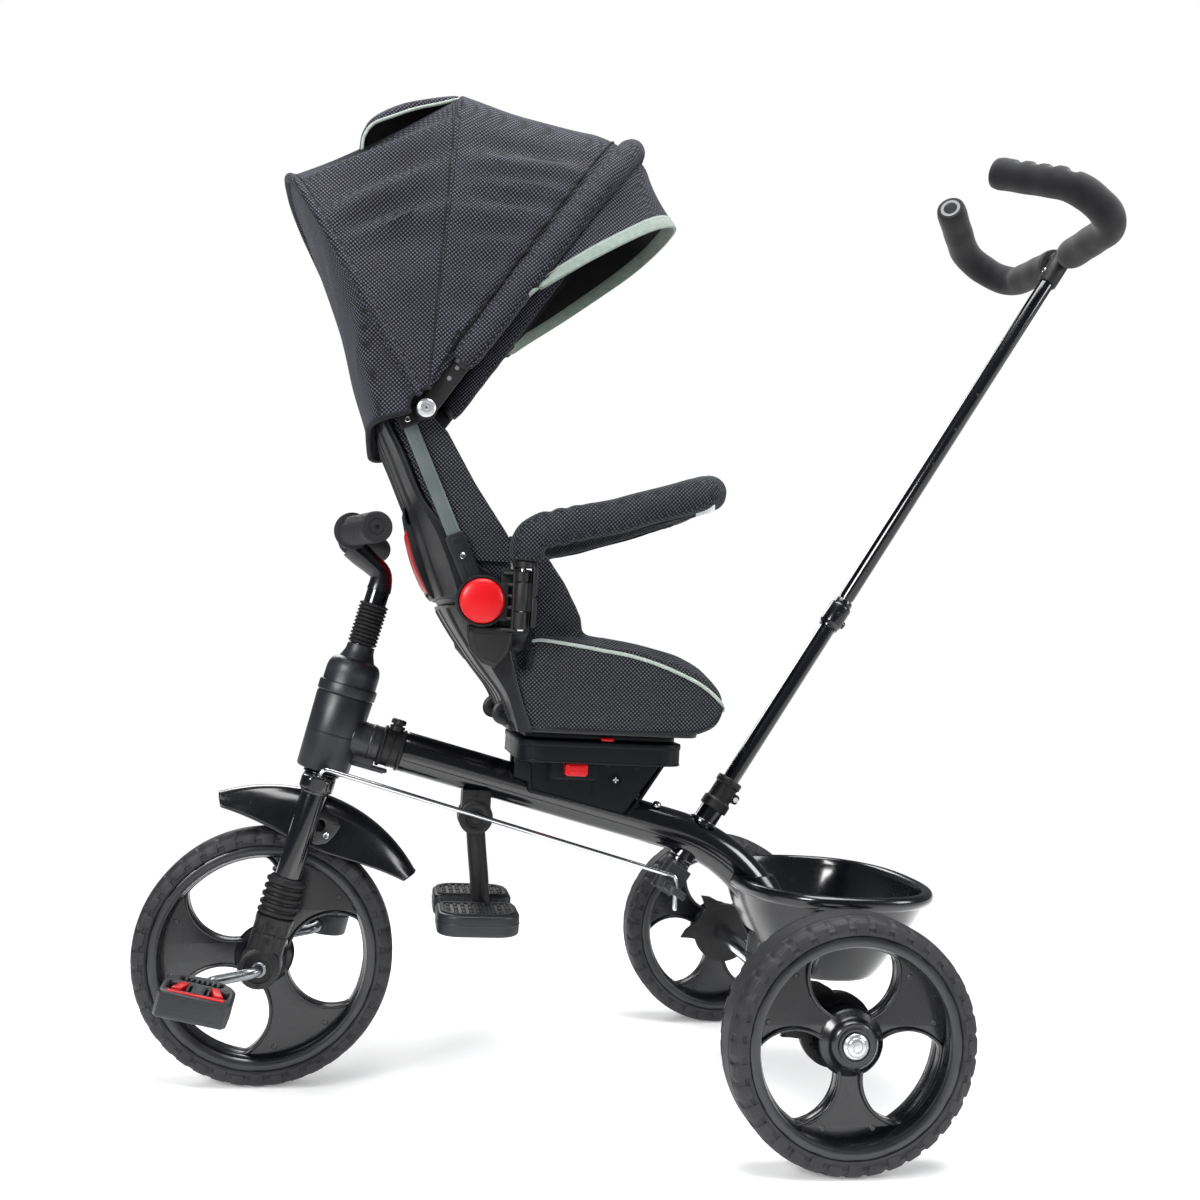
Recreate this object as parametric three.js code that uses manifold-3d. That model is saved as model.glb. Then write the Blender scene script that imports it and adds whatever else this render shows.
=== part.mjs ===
// Children's tricycle with a swivelling seat, a folding canopy and a parent's steering handle.
// Millimetres, +Z up, +X to the tricycle's rear, -Y to the rider's left. The wheels stand on Z = 0.
import * as THREE from 'three';
import { mergeVertices } from 'three/addons/utils/BufferGeometryUtils.js';
import Module from 'manifold-3d';

const wasm = await Module();
wasm.setup();

// ---- Driving dimensions ----
const SEAT_GAP = 0.3; // between pieces that sit on each other
const RUN_GAP = 0.5; // between pieces that turn or slide on each other
const wheelSides = 32;
const frontRadius = 122;
const frontTyreWidth = 45;
const rearRadius = 109;
const rearTyreWidth = 50;
const tyreWall = 16.5;
const wheelbase = 506;
const rearTrack = 464; // between the middles of the rear tyres
const headAngle = 14; // the steering axis leans back by this many degrees
const frameHeight = 222.7; // of the main tube's straight part, along the steering axis from the front axle
const tubeWidth = 34;
const tubeHeight = 40;
const tubeWall = 2.5;
const neckEnd = 120; // reach of the head tube's neck into the main tube
const tubeStart = 69.3;
const tubeEndBehind = 8.46; // of the main tube's lower end, behind the rear axle
const tubeEndRise = 26.64; // of that end, above the rear axle
const bendAngle = 61;
const forkLegRadius = 12;
const forkLegSpread = 45;
const crownHeight = 168;
const crownThickness = 13;
const steererRadius = 11;
const steererTop = 366;
const barHeight = 411; // of the handlebar, along the steering axis
const barReach = -43.6; // of the handlebar in front of the steering axis
const barRadius = 9;
const gripRadius = 14;
const gripEnd = 150;
const crankLength = 46;
const crankRadius = 5;
const crankAngle = 192; // of the left crank, from straight back, seen from the left
const axleRadius = 6;
const seatAxisX = 306;
const trayLength = 158;
const trayWidth = 168;
const trayRise = 47.78; // of the tray's underside, above the main tube's middle line
const trayBottom = 323; // heights from here up to the canopy's are as drawn, before the seat's lift
const trayTop = 344;
const turntableRadius = 68;
const panTop = 359;
const cushionHalf = 116;
const shellHalf = 116;
const shellWall = 3.5;
const padWall = 22;
const reclineX = 181;
const reclineZ = 469;
const reclineSwing = 15; // the backrest comes up by this many degrees
const hubRadius = 19;
const hubInner = 119; // inner face of the recline hub, from the middle
const hubWidth = 7;
const housingWidth = 8.5;
const housingRadius = 23.5;
const capRadius = 21.5;
const canopyX = 122; // the canopy's pivot
const canopyZ = 638;
const canopyHalf = 148;
const canopyWall = 3;
const hoopAngle = 56.4;
const middleAngle = 86.5;
const hoopPadRadius = 11;
const hoopReach = 353;
const strutWidth = 13;
const barrelX = 216;
const barrelY = 140;
const barrelRadius = 7;
const barrelBottom = 445;
const barrelTop = 503;
const bumperReach = 397; // X of the bar across the front
const bumperPadRadius = 16.5;
const bumperBarRadius = 8;
const poleLean = 30.8;
const poleBefore = 88; // from where the pole's axis crosses the main tube to the rear axle
const poleDrop = 1.47; // of that crossing, under the tube's middle line
const poleLowerRadius = 8.5;
const poleUpperRadius = 6.6;
const poleLowerTop = 272;
const poleTop = 738;
const handleHalf = 119;
const handleReach = 118;
const handleFoamRadius = 14;
const footrestX = 195;
const footrestDrop = 42.4; // of the footrest's pivot, under the tube's middle line
const rodRadius = 2.3;
const rodSide = 48;
const basketBefore = 48; // of the rim's front end, before the rear axle
const basketBehind = 146; // of its rear end, behind the rear axle
const basketRimRise = 102; // of the rim, above the rear axle
const basketDepth = 87;
const basketWall = 3;

const poleX = wheelbase - poleBefore;
const basketRim = rearRadius + basketRimRise;
const basketBottom = basketRim - basketDepth;

// ---- Geometry helpers ----
const point = (x, y, z) => new THREE.Vector3(x, y, z);
const turn = THREE.MathUtils.degToRad;

// Triangles with three different corners, wound so that the faces point out.
function welded(geometry) {
  const bare = geometry.clone();
  for (const name of Object.keys(bare.attributes)) {
    if (name !== 'position') bare.deleteAttribute(name);
  }
  const merged = mergeVertices(bare, 1e-4);
  const corners = merged.index.array;
  const place = merged.attributes.position;
  const kept = [];
  const [a, b, c] = [point(0, 0, 0), point(0, 0, 0), point(0, 0, 0)];
  let volume = 0;
  for (let i = 0; i < corners.length; i += 3) {
    const [p, q, r] = [corners[i], corners[i + 1], corners[i + 2]];
    if (p === q || q === r || r === p) continue;
    kept.push(p, q, r);
    a.fromBufferAttribute(place, p);
    b.fromBufferAttribute(place, q);
    c.fromBufferAttribute(place, r);
    volume += a.dot(b.cross(c));
  }
  if (volume < 0) {
    for (let i = 0; i < kept.length; i += 3) [kept[i], kept[i + 1]] = [kept[i + 1], kept[i]];
  }
  merged.setIndex(kept);
  return merged;
}

function toSolid(geometry) {
  const closed = welded(geometry);
  return new wasm.Manifold(new wasm.Mesh({
    numProp: 3,
    vertProperties: new Float32Array(closed.attributes.position.array),
    triVerts: new Uint32Array(closed.index.array),
  }));
}

function fromSolid(solid) {
  const mesh = solid.getMesh();
  const geometry = new THREE.BufferGeometry();
  geometry.setAttribute('position', new THREE.BufferAttribute(mesh.vertProperties, 3));
  geometry.setIndex(new THREE.BufferAttribute(mesh.triVerts, 1));
  return geometry;
}

function join(...geometries) {
  return fromSolid(geometries.map(toSolid).reduce((whole, next) => whole.add(next)));
}

function cut(body, ...tools) {
  return fromSolid(tools.map(toSolid).reduce((whole, tool) => whole.subtract(tool), toSolid(body)));
}

function common(body, other) {
  return fromSolid(toSolid(body).intersect(toSolid(other)));
}

const moved = (geometry, x, y, z) => geometry.clone().translate(x, y, z);
const mirror = new THREE.Matrix4().makeScale(1, -1, 1);
const mirrored = (geometry) => welded(geometry.clone().applyMatrix4(mirror));
const bothSides = (geometry) => join(geometry, mirrored(geometry));

// A block between two corners.
function block(x0, x1, y0, y1, z0, z1) {
  return new THREE.BoxGeometry(x1 - x0, y1 - y0, z1 - z0).translate((x0 + x1) / 2, (y0 + y1) / 2,
    (z0 + z1) / 2);
}

// A round bar between two points.
function rod(from, to, radius, sides = 12) {
  const along = to.clone().sub(from);
  const bar = new THREE.CylinderGeometry(radius, radius, along.length(), sides);
  bar.applyQuaternion(new THREE.Quaternion().setFromUnitVectors(point(0, 1, 0), along.normalize()));
  return bar.translate((from.x + to.x) / 2, (from.y + to.y) / 2, (from.z + to.z) / 2);
}

// A turned piece: [radius, height] pairs, turned about the Y axis, with a flat side at the bottom.
function turnedY(profile, sides = 16) {
  const points = profile.map(([radius, height]) => new THREE.Vector2(radius, height));
  return welded(new THREE.LatheGeometry(points, sides, Math.PI / sides));
}

const turnedZ = (profile, sides = 16) => turnedY(profile, sides).rotateX(Math.PI / 2);

// A ring's profile, closed on itself.
const ringProfile = (inner, outer, low, high) => [[inner, low], [outer, low], [outer, high], [inner, high],
  [inner, low]];

// An outline in the XZ plane, given thickness from y0 to y1.
function plateXZ(outline, y0, y1) {
  const shape = new THREE.Shape(outline.map(([x, z]) => new THREE.Vector2(x, z)));
  const plate = new THREE.ExtrudeGeometry(shape, { depth: y1 - y0, bevelEnabled: false, curveSegments: 8 });
  return plate.rotateX(Math.PI / 2).translate(0, y1, 0);
}

// An outline in the XY plane, given thickness from z0 to z1.
function plateXY(outline, z0, z1) {
  const shape = new THREE.Shape(outline.map(([x, y]) => new THREE.Vector2(x, y)));
  return new THREE.ExtrudeGeometry(shape, { depth: z1 - z0, bevelEnabled: false }).translate(0, 0, z0);
}

function arc(x, y, radius, start, end, steps) {
  const points = [];
  for (let i = 0; i <= steps; i += 1) {
    const angle = turn(start + ((end - start) * i) / steps);
    points.push([x + radius * Math.cos(angle), y + radius * Math.sin(angle)]);
  }
  return points;
}

function roundedBox(x0, x1, y0, y1, radius, steps = 4) {
  return [
    ...arc(x1 - radius, y1 - radius, radius, 0, 90, steps),
    ...arc(x0 + radius, y1 - radius, radius, 90, 180, steps),
    ...arc(x0 + radius, y0 + radius, radius, 180, 270, steps),
    ...arc(x1 - radius, y0 + radius, radius, 270, 360, steps),
  ];
}

// Points with each inner corner replaced by an arc.
function roundCorners(points, radius, steps = 4) {
  const out = [points[0]];
  for (let i = 1; i < points.length - 1; i += 1) {
    const arriving = points[i].clone().sub(points[i - 1]);
    const leaving = points[i + 1].clone().sub(points[i]);
    const room = Math.min(arriving.length(), leaving.length()) * 0.49;
    arriving.normalize();
    leaving.normalize();
    const bend = arriving.angleTo(leaving);
    const bendR = Math.min(radius, room / Math.tan(bend / 2));
    const axis = arriving.clone().cross(leaving).normalize();
    const start = points[i].clone().addScaledVector(arriving, -bendR * Math.tan(bend / 2));
    const centre = start.clone().addScaledVector(axis.clone().cross(arriving), bendR);
    for (let k = 0; k <= steps; k += 1) {
      out.push(start.clone().sub(centre).applyAxisAngle(axis, (bend * k) / steps).add(centre));
    }
  }
  out.push(points[points.length - 1]);
  return out;
}

// A path whose steps fall on its own knots, so that a straight costs one step.
class KnotPath extends THREE.Curve {
  constructor(knots) {
    super();
    this.knots = knots;
  }

  getPoint(t) {
    const place = t * (this.knots.length - 1);
    const i = Math.min(Math.floor(place + 1e-9), this.knots.length - 2);
    return this.knots[i].clone().lerp(this.knots[i + 1], place - i);
  }

  getPointAt(t) {
    return this.getPoint(t);
  }

  getTangentAt(t) {
    const last = this.knots.length - 1;
    const i = Math.round(t * last);
    const before = this.knots[i].clone().sub(this.knots[Math.max(i - 1, 0)]).normalize();
    const after = this.knots[Math.min(i + 1, last)].clone().sub(this.knots[i]).normalize();
    return before.add(after).normalize();
  }
}

const oval = (a, b, sides) => arc(0, 0, 1, 0, 360 - 360 / sides, sides - 1).map(([x, y]) => [x * a, y * b]);
const circle = (radius, sides) => oval(radius, radius, sides);

// A section carried along knots, with an optional bore.
function swept(knots, section, bore) {
  const shape = new THREE.Shape(section.map(([x, y]) => new THREE.Vector2(x, y)));
  if (bore) shape.holes.push(new THREE.Path(bore.map(([x, y]) => new THREE.Vector2(x, y))));
  return new THREE.ExtrudeGeometry(shape, {
    steps: knots.length - 1, extrudePath: new KnotPath(knots), bevelEnabled: false,
  });
}

// A closed body through rings of equal count, with flat ends.
function loft(rings) {
  const count = rings[0].length;
  const positions = rings.flat().flatMap((p) => [p.x, p.y, p.z]);
  const corners = [];
  for (let r = 0; r < rings.length - 1; r += 1) {
    for (let i = 0; i < count; i += 1) {
      const [a, b] = [r * count + i, r * count + ((i + 1) % count)];
      corners.push(a, b, b + count, a, b + count, a + count);
    }
  }
  for (const end of [0, rings.length - 1]) {
    const ring = rings[end];
    const normal = point(0, 0, 0);
    ring.forEach((p, i) => {
      const next = ring[(i + 1) % count].clone().sub(ring[0]);
      normal.add(p.clone().sub(ring[0]).cross(next));
    });
    normal.normalize();
    const across = Math.abs(normal.x) < 0.9 ? point(1, 0, 0) : point(0, 1, 0);
    const u = across.cross(normal).normalize();
    const v = normal.clone().cross(u);
    const flat = ring.map((p) => new THREE.Vector2(p.dot(u), p.dot(v)));
    for (const [a, b, c] of THREE.ShapeUtils.triangulateShape(flat, [])) {
      const side = (flat[b].x - flat[a].x) * (flat[c].y - flat[a].y) - (flat[c].x - flat[a].x)
        * (flat[b].y - flat[a].y);
      const outward = end === 0 ? side < 0 : side > 0;
      const base = end * count;
      corners.push(...(outward ? [base + a, base + b, base + c] : [base + a, base + c, base + b]));
    }
  }
  const geometry = new THREE.BufferGeometry();
  geometry.setAttribute('position', new THREE.Float32BufferAttribute(positions, 3));
  geometry.setIndex(corners);
  return welded(geometry);
}

// ---- Materials ----
const finish = (color, roughness, metalness) => new THREE.MeshStandardMaterial({ color, roughness,
  metalness });
const glossBlack = finish(0x0d0e12, 0.22, 0.1);
const mattBlack = finish(0x17181b, 0.6, 0);
const tyreGrey = finish(0x26272b, 0.85, 0);
const rubber = finish(0x2a2b2d, 0.8, 0);
const chrome = finish(0xd0d2d4, 0.15, 1);
const aluminium = finish(0x8b9590, 0.4, 0.8);
const red = finish(0xd8141f, 0.4, 0);
const fabric = finish(0x35363c, 0.95, 0);
const foam = finish(0x33343a, 0.95, 0);
const greyPlastic = finish(0x6e7174, 0.6, 0);

// ---- Scene graph ----
const tricycle = new THREE.Group();
const headGroup = new THREE.Group(); // Z runs up the steering axis from the front axle
headGroup.position.set(0, 0, frontRadius);
headGroup.rotation.y = turn(headAngle);

// A point given in the tilted head group, in the tricycle's own frame.
function fromHead(x, y, z) {
  return point(x, y, z).applyAxisAngle(point(0, 1, 0), turn(headAngle)).add(point(0, 0, frontRadius));
}

// The main tube runs down at the head's angle and then bends by bendAngle. Where the bend starts and how
// wide it is follow from the two ends.
const tubeHead = fromHead(tubeStart, 0, frameHeight);
const tubeSlope = turn(headAngle);
const tubeLast = turn(headAngle + bendAngle);
const bendLong = Math.sin(tubeLast) - Math.sin(tubeSlope);
const bendDeep = Math.cos(tubeSlope) - Math.cos(tubeLast);
const straightZ = (x) => tubeHead.z - (x - tubeHead.x) * Math.tan(tubeSlope);
const tubeEndX = wheelbase + tubeEndBehind;
const bendRadius = (straightZ(tubeEndX) - rearRadius - tubeEndRise)
  / (bendDeep - bendLong * Math.tan(tubeSlope));
const bendStart = tubeEndX - bendRadius * bendLong;

// The height of the main tube's middle.
function tubeZ(x) {
  if (x <= bendStart) return straightZ(x);
  const sine = Math.sin(tubeSlope) + (x - bendStart) / bendRadius;
  return straightZ(bendStart) - bendRadius * (Math.cos(tubeSlope) - Math.sqrt(1 - sine ** 2));
}

const poleZ = tubeZ(poleX) - poleDrop;
const footrestZ = tubeZ(footrestX) - footrestDrop;
const seatLift = tubeZ(seatAxisX) + trayRise - trayBottom;
const seatGroup = new THREE.Group(); // the seat and all on it, lifted with the main tube
seatGroup.position.z = seatLift;
const poleGroup = new THREE.Group(); // Z runs up the pole
poleGroup.position.set(poleX, 0, poleZ);
poleGroup.rotation.y = turn(poleLean);
tricycle.add(headGroup, poleGroup, seatGroup);

function place(name, geometry, material, parent = tricycle) {
  const mesh = new THREE.Mesh(welded(geometry), material);
  mesh.geometry.computeVertexNormals();
  mesh.name = name;
  parent.add(mesh);
  return mesh;
}

// The same piece on both sides, given as it is on the right.
function placePair(name, geometry, material, parent = tricycle) {
  place(`${name}_right`, geometry, material, parent);
  place(`${name}_left`, mirrored(geometry), material, parent);
}

function fromPole(x, y, z) {
  return point(x, y, z).applyAxisAngle(point(0, 1, 0), turn(poleLean)).add(point(poleX, 0, poleZ));
}

// ---- Wheels ----
const flatSides = 1 / Math.cos(Math.PI / wheelSides); // puts a flat side, not a corner, at the full radius

function tyre(radius, width) {
  const inner = radius - tyreWall;
  const half = width / 2;
  const outline = [
    [inner, -half + 4], [inner + 4, -half], [radius - 8, -half], [radius, -half + 10],
    [radius, half - 10], [radius - 8, half], [inner + 4, half], [inner, half - 4], [inner, -half + 4],
  ];
  return turnedY(outline.map(([r, y]) => [r * flatSides, y]), wheelSides);
}

// The barrel under the tyre, a disc with three round windows, and the hub with its bore.
function wheelCentre({ radius, width, hubRadius: hub, hubIn, hubOut, bore, windowRadius, windowAt,
  turnedBy }) {
  const outer = radius - tyreWall - SEAT_GAP;
  const inner = outer - 8;
  const half = width / 2 - 3;
  const barrel = turnedY(ringProfile(inner * flatSides, outer * flatSides, -half, half), wheelSides);
  const disc = turnedY([[0, -6], [inner + 4, -6], [inner + 4, 6], [0, 6]], wheelSides);
  const windows = [0, 120, 240].map((step) => {
    const angle = turn(turnedBy + step);
    const at = point(windowAt * Math.cos(angle), 0, windowAt * Math.sin(angle));
    return rod(at.clone().setY(-10), at.clone().setY(10), windowRadius, 18);
  });
  const core = rod(point(0, hubIn, 0), point(0, hubOut, 0), hub, 20);
  const hole = rod(point(0, hubIn - 1, 0), point(0, hubOut + 1, 0), bore, 16);
  return cut(join(cut(disc, ...windows), barrel, core), hole);
}

const frontWheel = new THREE.Group();
frontWheel.position.set(0, 0, frontRadius);
tricycle.add(frontWheel);
place('front_tyre', tyre(frontRadius, frontTyreWidth), tyreGrey, frontWheel);
place('front_wheel', wheelCentre({
  radius: frontRadius, width: frontTyreWidth, hubRadius: 19, hubIn: -27, hubOut: 27,
  bore: crankRadius + SEAT_GAP, windowRadius: 44, windowAt: 66, turnedBy: 117,
}), glossBlack, frontWheel);

// The cranked axle: pedal spindle, arm, axle, arm and pedal spindle in one bent bar.
const crankAway = [Math.cos(turn(crankAngle)) * crankLength, Math.sin(turn(crankAngle)) * crankLength];
const armSide = 74;
const spindleEnd = 150;
place('crank', swept(roundCorners([
  point(crankAway[0], -spindleEnd, crankAway[1]), point(crankAway[0], -armSide, crankAway[1]),
  point(0, -armSide, 0), point(0, armSide, 0),
  point(-crankAway[0], armSide, -crankAway[1]), point(-crankAway[0], spindleEnd, -crankAway[1]),
], 9, 2), circle(crankRadius, 12)), chrome, frontWheel);

// A pedal is D-shaped from above: straight outside, round towards the wheel.
function pedal(side) {
  const outline = [[-32, -36], [32, -36], [34, -4], ...arc(0, 2, 34, 8, 172, 8), [-34, -4]];
  const body = plateXY(outline.map(([x, y]) => [x, y * -side]), -12, 12);
  const bore = rod(point(0, side * -40, 0), point(0, side * 24, 0), crankRadius + RUN_GAP, 16);
  return cut(body, bore);
}
const pedalSide = 131;
const pedalTilt = 12;
for (const [name, side] of [['left', -1], ['right', 1]]) {
  const group = new THREE.Group();
  group.position.set(-side * crankAway[0], side * pedalSide, frontRadius - side * crankAway[1]);
  group.rotation.y = turn(pedalTilt);
  tricycle.add(group);
  place(`pedal_${name}`, pedal(side), mattBlack, group);
}

const wheelInnerHub = 24;
for (const [name, side] of [['left', -1], ['right', 1]]) {
  const group = new THREE.Group();
  group.position.set(wheelbase, (side * rearTrack) / 2, rearRadius);
  tricycle.add(group);
  place(`rear_tyre_${name}`, tyre(rearRadius, rearTyreWidth), tyreGrey, group);
  const [hubIn, hubOut] = side < 0 ? [-15.5, wheelInnerHub] : [-wheelInnerHub, 15.5];
  const centre = wheelCentre({
    radius: rearRadius, width: rearTyreWidth, hubRadius: 20, hubIn, hubOut,
    bore: axleRadius + RUN_GAP, windowRadius: 39, windowAt: 58, turnedBy: 90,
  });
  const ringStart = side * -wheelInnerHub;
  const ring = rod(point(0, ringStart, 0), point(0, ringStart - side * 6, 0), 26, 16);
  const bore = rod(point(0, -60, 0), point(0, 60, 0), axleRadius + RUN_GAP, 16);
  place(`rear_wheel_${name}`, cut(join(centre, ring), bore), glossBlack, group);
}

// ---- Rear axle, yoke and brakes ----
const brakeOuter = rearTrack / 2 - wheelInnerHub - 6 - RUN_GAP;
const brakeWidth = 9;
const axleStep = brakeOuter - brakeWidth - RUN_GAP;
const axleEnd = rearTrack / 2 + 15.5;
const axleTubeRadius = 10;
const capStart = axleEnd + RUN_GAP;
const axleHalf = [[axleTubeRadius, axleStep], [axleRadius, axleStep], [axleRadius, capStart], [11, capStart],
  [11, capStart + 2.5], [8, capStart + 5], [0, capStart + 6]];
const axleOutline = [...axleHalf.map(([r, y]) => [r, -y]).reverse(), ...axleHalf];
const rearAxle = new THREE.Group();
rearAxle.position.set(wheelbase, 0, rearRadius);
tricycle.add(rearAxle);
place('rear_axle', turnedY(axleOutline, 16), chrome, rearAxle);

// A brake lever: a disc on the axle with two pointed hooks.
function brakeLever(side) {
  const hook = (angle) => {
    const a = turn(angle);
    const at = (r, offset) => [r * Math.cos(a + offset), r * Math.sin(a + offset)];
    return plateXZ([at(28, -0.45), at(50, 0.1), at(28, 0.3)], -brakeWidth / 2, brakeWidth / 2);
  };
  const disc = rod(point(0, -brakeWidth / 2, 0), point(0, brakeWidth / 2, 0), 34, 24);
  const bore = rod(point(0, -9, 0), point(0, 9, 0), axleRadius + RUN_GAP, 14);
  return moved(cut(join(disc, hook(117), hook(182)), bore), wheelbase, side * (brakeOuter - brakeWidth / 2),
    rearRadius);
}
place('brake_lever_left', brakeLever(-1), mattBlack);
place('brake_lever_right', brakeLever(1), mattBlack);

// ---- Main tube with the pole's welded socket ----
function mainTubeKnots(from, extra = 0) {
  const knots = [fromHead(from, 0, frameHeight)];
  const start = point(bendStart, 0, straightZ(bendStart));
  const centre = start.clone().add(point(-Math.sin(tubeSlope), 0,
    -Math.cos(tubeSlope)).multiplyScalar(bendRadius));
  const steps = 7;
  for (let k = 0; k <= steps; k += 1) {
    const a = tubeSlope + (turn(bendAngle) * k) / steps;
    knots.push(centre.clone().add(point(Math.sin(a), 0, Math.cos(a)).multiplyScalar(bendRadius)));
  }
  const end = knots[knots.length - 1].clone();
  if (extra) knots.push(end.add(point(Math.cos(tubeLast), 0, -Math.sin(tubeLast)).multiplyScalar(extra)));
  return knots;
}
const tubeSides = 12;
const tubeSection = (grow) => oval(tubeWidth / 2 + grow, tubeHeight / 2 + grow, tubeSides);
const tubeOuter = (grow, extra = 0) => swept(mainTubeKnots(tubeStart - grow, extra), tubeSection(grow));
const mainTube = swept(mainTubeKnots(tubeStart), tubeSection(0), tubeSection(-tubeWall));
const socketRadius = 12;
const socketLow = -27;
const socketHigh = 44;
const socketWall = rod(fromPole(0, 0, socketLow), fromPole(0, 0, socketHigh), socketRadius, 20);
const socketBore = rod(fromPole(0, 0, socketLow - 5), fromPole(0, 0, socketHigh + 5),
  poleLowerRadius + RUN_GAP, 20);
place('main_tube', cut(join(mainTube, socketWall), socketBore), glossBlack);

// ---- Head tube, its covers and the clamp collar ----
const headTubeRadius = steererRadius + 5;
const headBottom = crownHeight + crownThickness + 2.4;
const capBottom = 259.7;
const steererBore = steererRadius + RUN_GAP;
const neckRadius = (tubeWidth / 2 - tubeWall) * Math.cos(Math.PI / tubeSides) - SEAT_GAP; // inside its flats
const neckAlong = (from, to, radius) => rod(point(from, 0, frameHeight), point(to, 0, frameHeight), radius,
  14);
const boreUp = (radius, low, high) => rod(point(0, 0, low), point(0, 0, high), radius, 14);
place('head_tube', cut(join(boreUp(headTubeRadius, headBottom + 1, 296), neckAlong(0, neckEnd, neckRadius)),
  boreUp(steererBore, headBottom - 9, 310)), mattBlack, headGroup);

const socketReach = 45.7;
const collarEnd = tubeStart - SEAT_GAP;
const headShell = turnedZ([[0, headBottom], [25, headBottom], [25.6, headBottom + 2],
  [27.5, capBottom - SEAT_GAP],
  [0, capBottom - SEAT_GAP]], 18);
const tongue = block(20, 60, -8, 8, frameHeight - 25, frameHeight - 21.5);
const tongueWeb = block(20, socketReach - SEAT_GAP, -8, 8, frameHeight - 22, frameHeight - 12);
place('head_cover', cut(join(headShell, neckAlong(20, socketReach - SEAT_GAP, 17.5), tongue, tongueWeb),
  boreUp(headTubeRadius + SEAT_GAP, headBottom - 5, 300),
  neckAlong(0, neckEnd, neckRadius + SEAT_GAP)), mattBlack, headGroup);

const capProfile = [[0, capBottom], [28.5, capBottom], [28.8, capBottom + 10], [27, capBottom + 11],
  [26.5, capBottom + 22], [22, capBottom + 33], [headTubeRadius, capBottom + 38],
  [steererRadius + 2.5, capBottom + 43],
  [steererRadius + 2.2, capBottom + 51],
  [0, capBottom + 51]];
place('head_cap', cut(turnedZ(capProfile, 18), boreUp(headTubeRadius + SEAT_GAP, capBottom - 5,
  296 + SEAT_GAP),
  boreUp(steererBore, 290, 330)), mattBlack, headGroup);

const collarBody = neckAlong(socketReach, collarEnd, 19);
const collarRings = [socketReach, collarEnd - 4].map((x) => neckAlong(x, x + 4, 20.5));
const collarMiddle = (socketReach + collarEnd) / 2;
const collarKnob = rod(point(collarMiddle, 0, frameHeight), point(collarMiddle, 0, frameHeight + 29), 7, 8);
place('clamp_collar', cut(join(collarBody, ...collarRings, collarKnob),
  neckAlong(0, neckEnd, neckRadius + SEAT_GAP)), mattBlack, headGroup);

// ---- Fork ----
const legs = bothSides(rod(point(0, forkLegSpread, 48), point(0, forkLegSpread, crownHeight + 4),
  forkLegRadius, 16));
const crownOutline = roundedBox(-16, 16, -forkLegSpread - 14, forkLegSpread + 14, 12, 3);
const rodHole = rod(point(0, -rodSide, crownHeight - 9), point(0, -rodSide, crownHeight + 30),
  rodRadius + RUN_GAP, 12);
const legTop = crownHeight + crownThickness;
const steerer = rod(point(0, 0, crownHeight + 2), point(0, 0, steererTop), steererRadius, 14);
place('fork', cut(join(legs, plateXY(crownOutline, crownHeight, legTop), steerer), rodHole), glossBlack,
  headGroup);

const bootBottom = 48;
const bootTop = 84;
const bootRibs = 4;
function ribbed(inner, valley, peak, low, high, ribs) {
  const pitch = (high - low) / ribs;
  const outline = [[inner, low]];
  for (let i = 0; i < ribs; i += 1) {
    outline.push([valley, low + pitch * i], [peak, low + pitch * (i + 0.5)]);
  }
  outline.push([valley, high], [inner, high], [inner, low]);
  return outline;
}
const boot = turnedZ(ribbed(forkLegRadius + 0.7, 16, 18.5, bootBottom - 1, bootTop, bootRibs), 12);
const bossRadius = 19.5;
const casing = cut(
  join(rod(point(0, forkLegSpread, 4), point(0, forkLegSpread, bootBottom - SEAT_GAP), 17, 14),
    rod(point(0, 30, 0), point(0, 62, 0), bossRadius, 18), moved(boot, 0, forkLegSpread, 0)),
  rod(point(0, 20, 0), point(0, 80, 0), crankRadius + RUN_GAP, 16));
placePair('fork_end', casing, rubber, headGroup);

const bellowsBottom = capBottom + 51 + RUN_GAP;
place('bellows', turnedZ(ribbed(steererRadius + 0.6, steererRadius + 1.4, steererRadius + 3.4,
  bellowsBottom, 353, 7), 12), rubber, headGroup);

const clampRadius = 13;
const armTop = barHeight - clampRadius * 0.8;
const quill = swept(roundCorners([
  point(0, 0, steererTop + SEAT_GAP), point(0, 0, steererTop + 6), point(-2, 0, steererTop + 18),
  point(barReach + 6, 0, armTop),
], 14, 3), oval(steererRadius, steererRadius + 1, 12));
const barClamp = rod(point(barReach, -20, barHeight), point(barReach, 20, barHeight), clampRadius, 20);
const barBore = rod(point(barReach, -30, barHeight), point(barReach, 30, barHeight), barRadius + SEAT_GAP,
  20);
place('gooseneck', cut(join(quill, barClamp), barBore), glossBlack, headGroup);

// The bar is straight in its clamp and its ends are swept back towards the rider.
const sweepStart = 34;
const barEnd = gripEnd - 4;
const sweptBack = 28;
const sweptUp = 3.5;
const alongGrip = (y) => {
  const share = (y - sweepStart) / (gripEnd - sweepStart);
  return point(barReach + sweptBack * share, y, barHeight + sweptUp * share);
};
const barSide = [point(barReach, 0, barHeight), point(barReach, sweepStart, barHeight), alongGrip(barEnd)];
const barKnots = [...barSide.slice(1).reverse().map((p) => p.clone().setY(-p.y)), ...barSide.slice(1)];
place('handlebar', swept(roundCorners(barKnots, 40, 2), circle(barRadius, 12)), glossBlack, headGroup);

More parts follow.
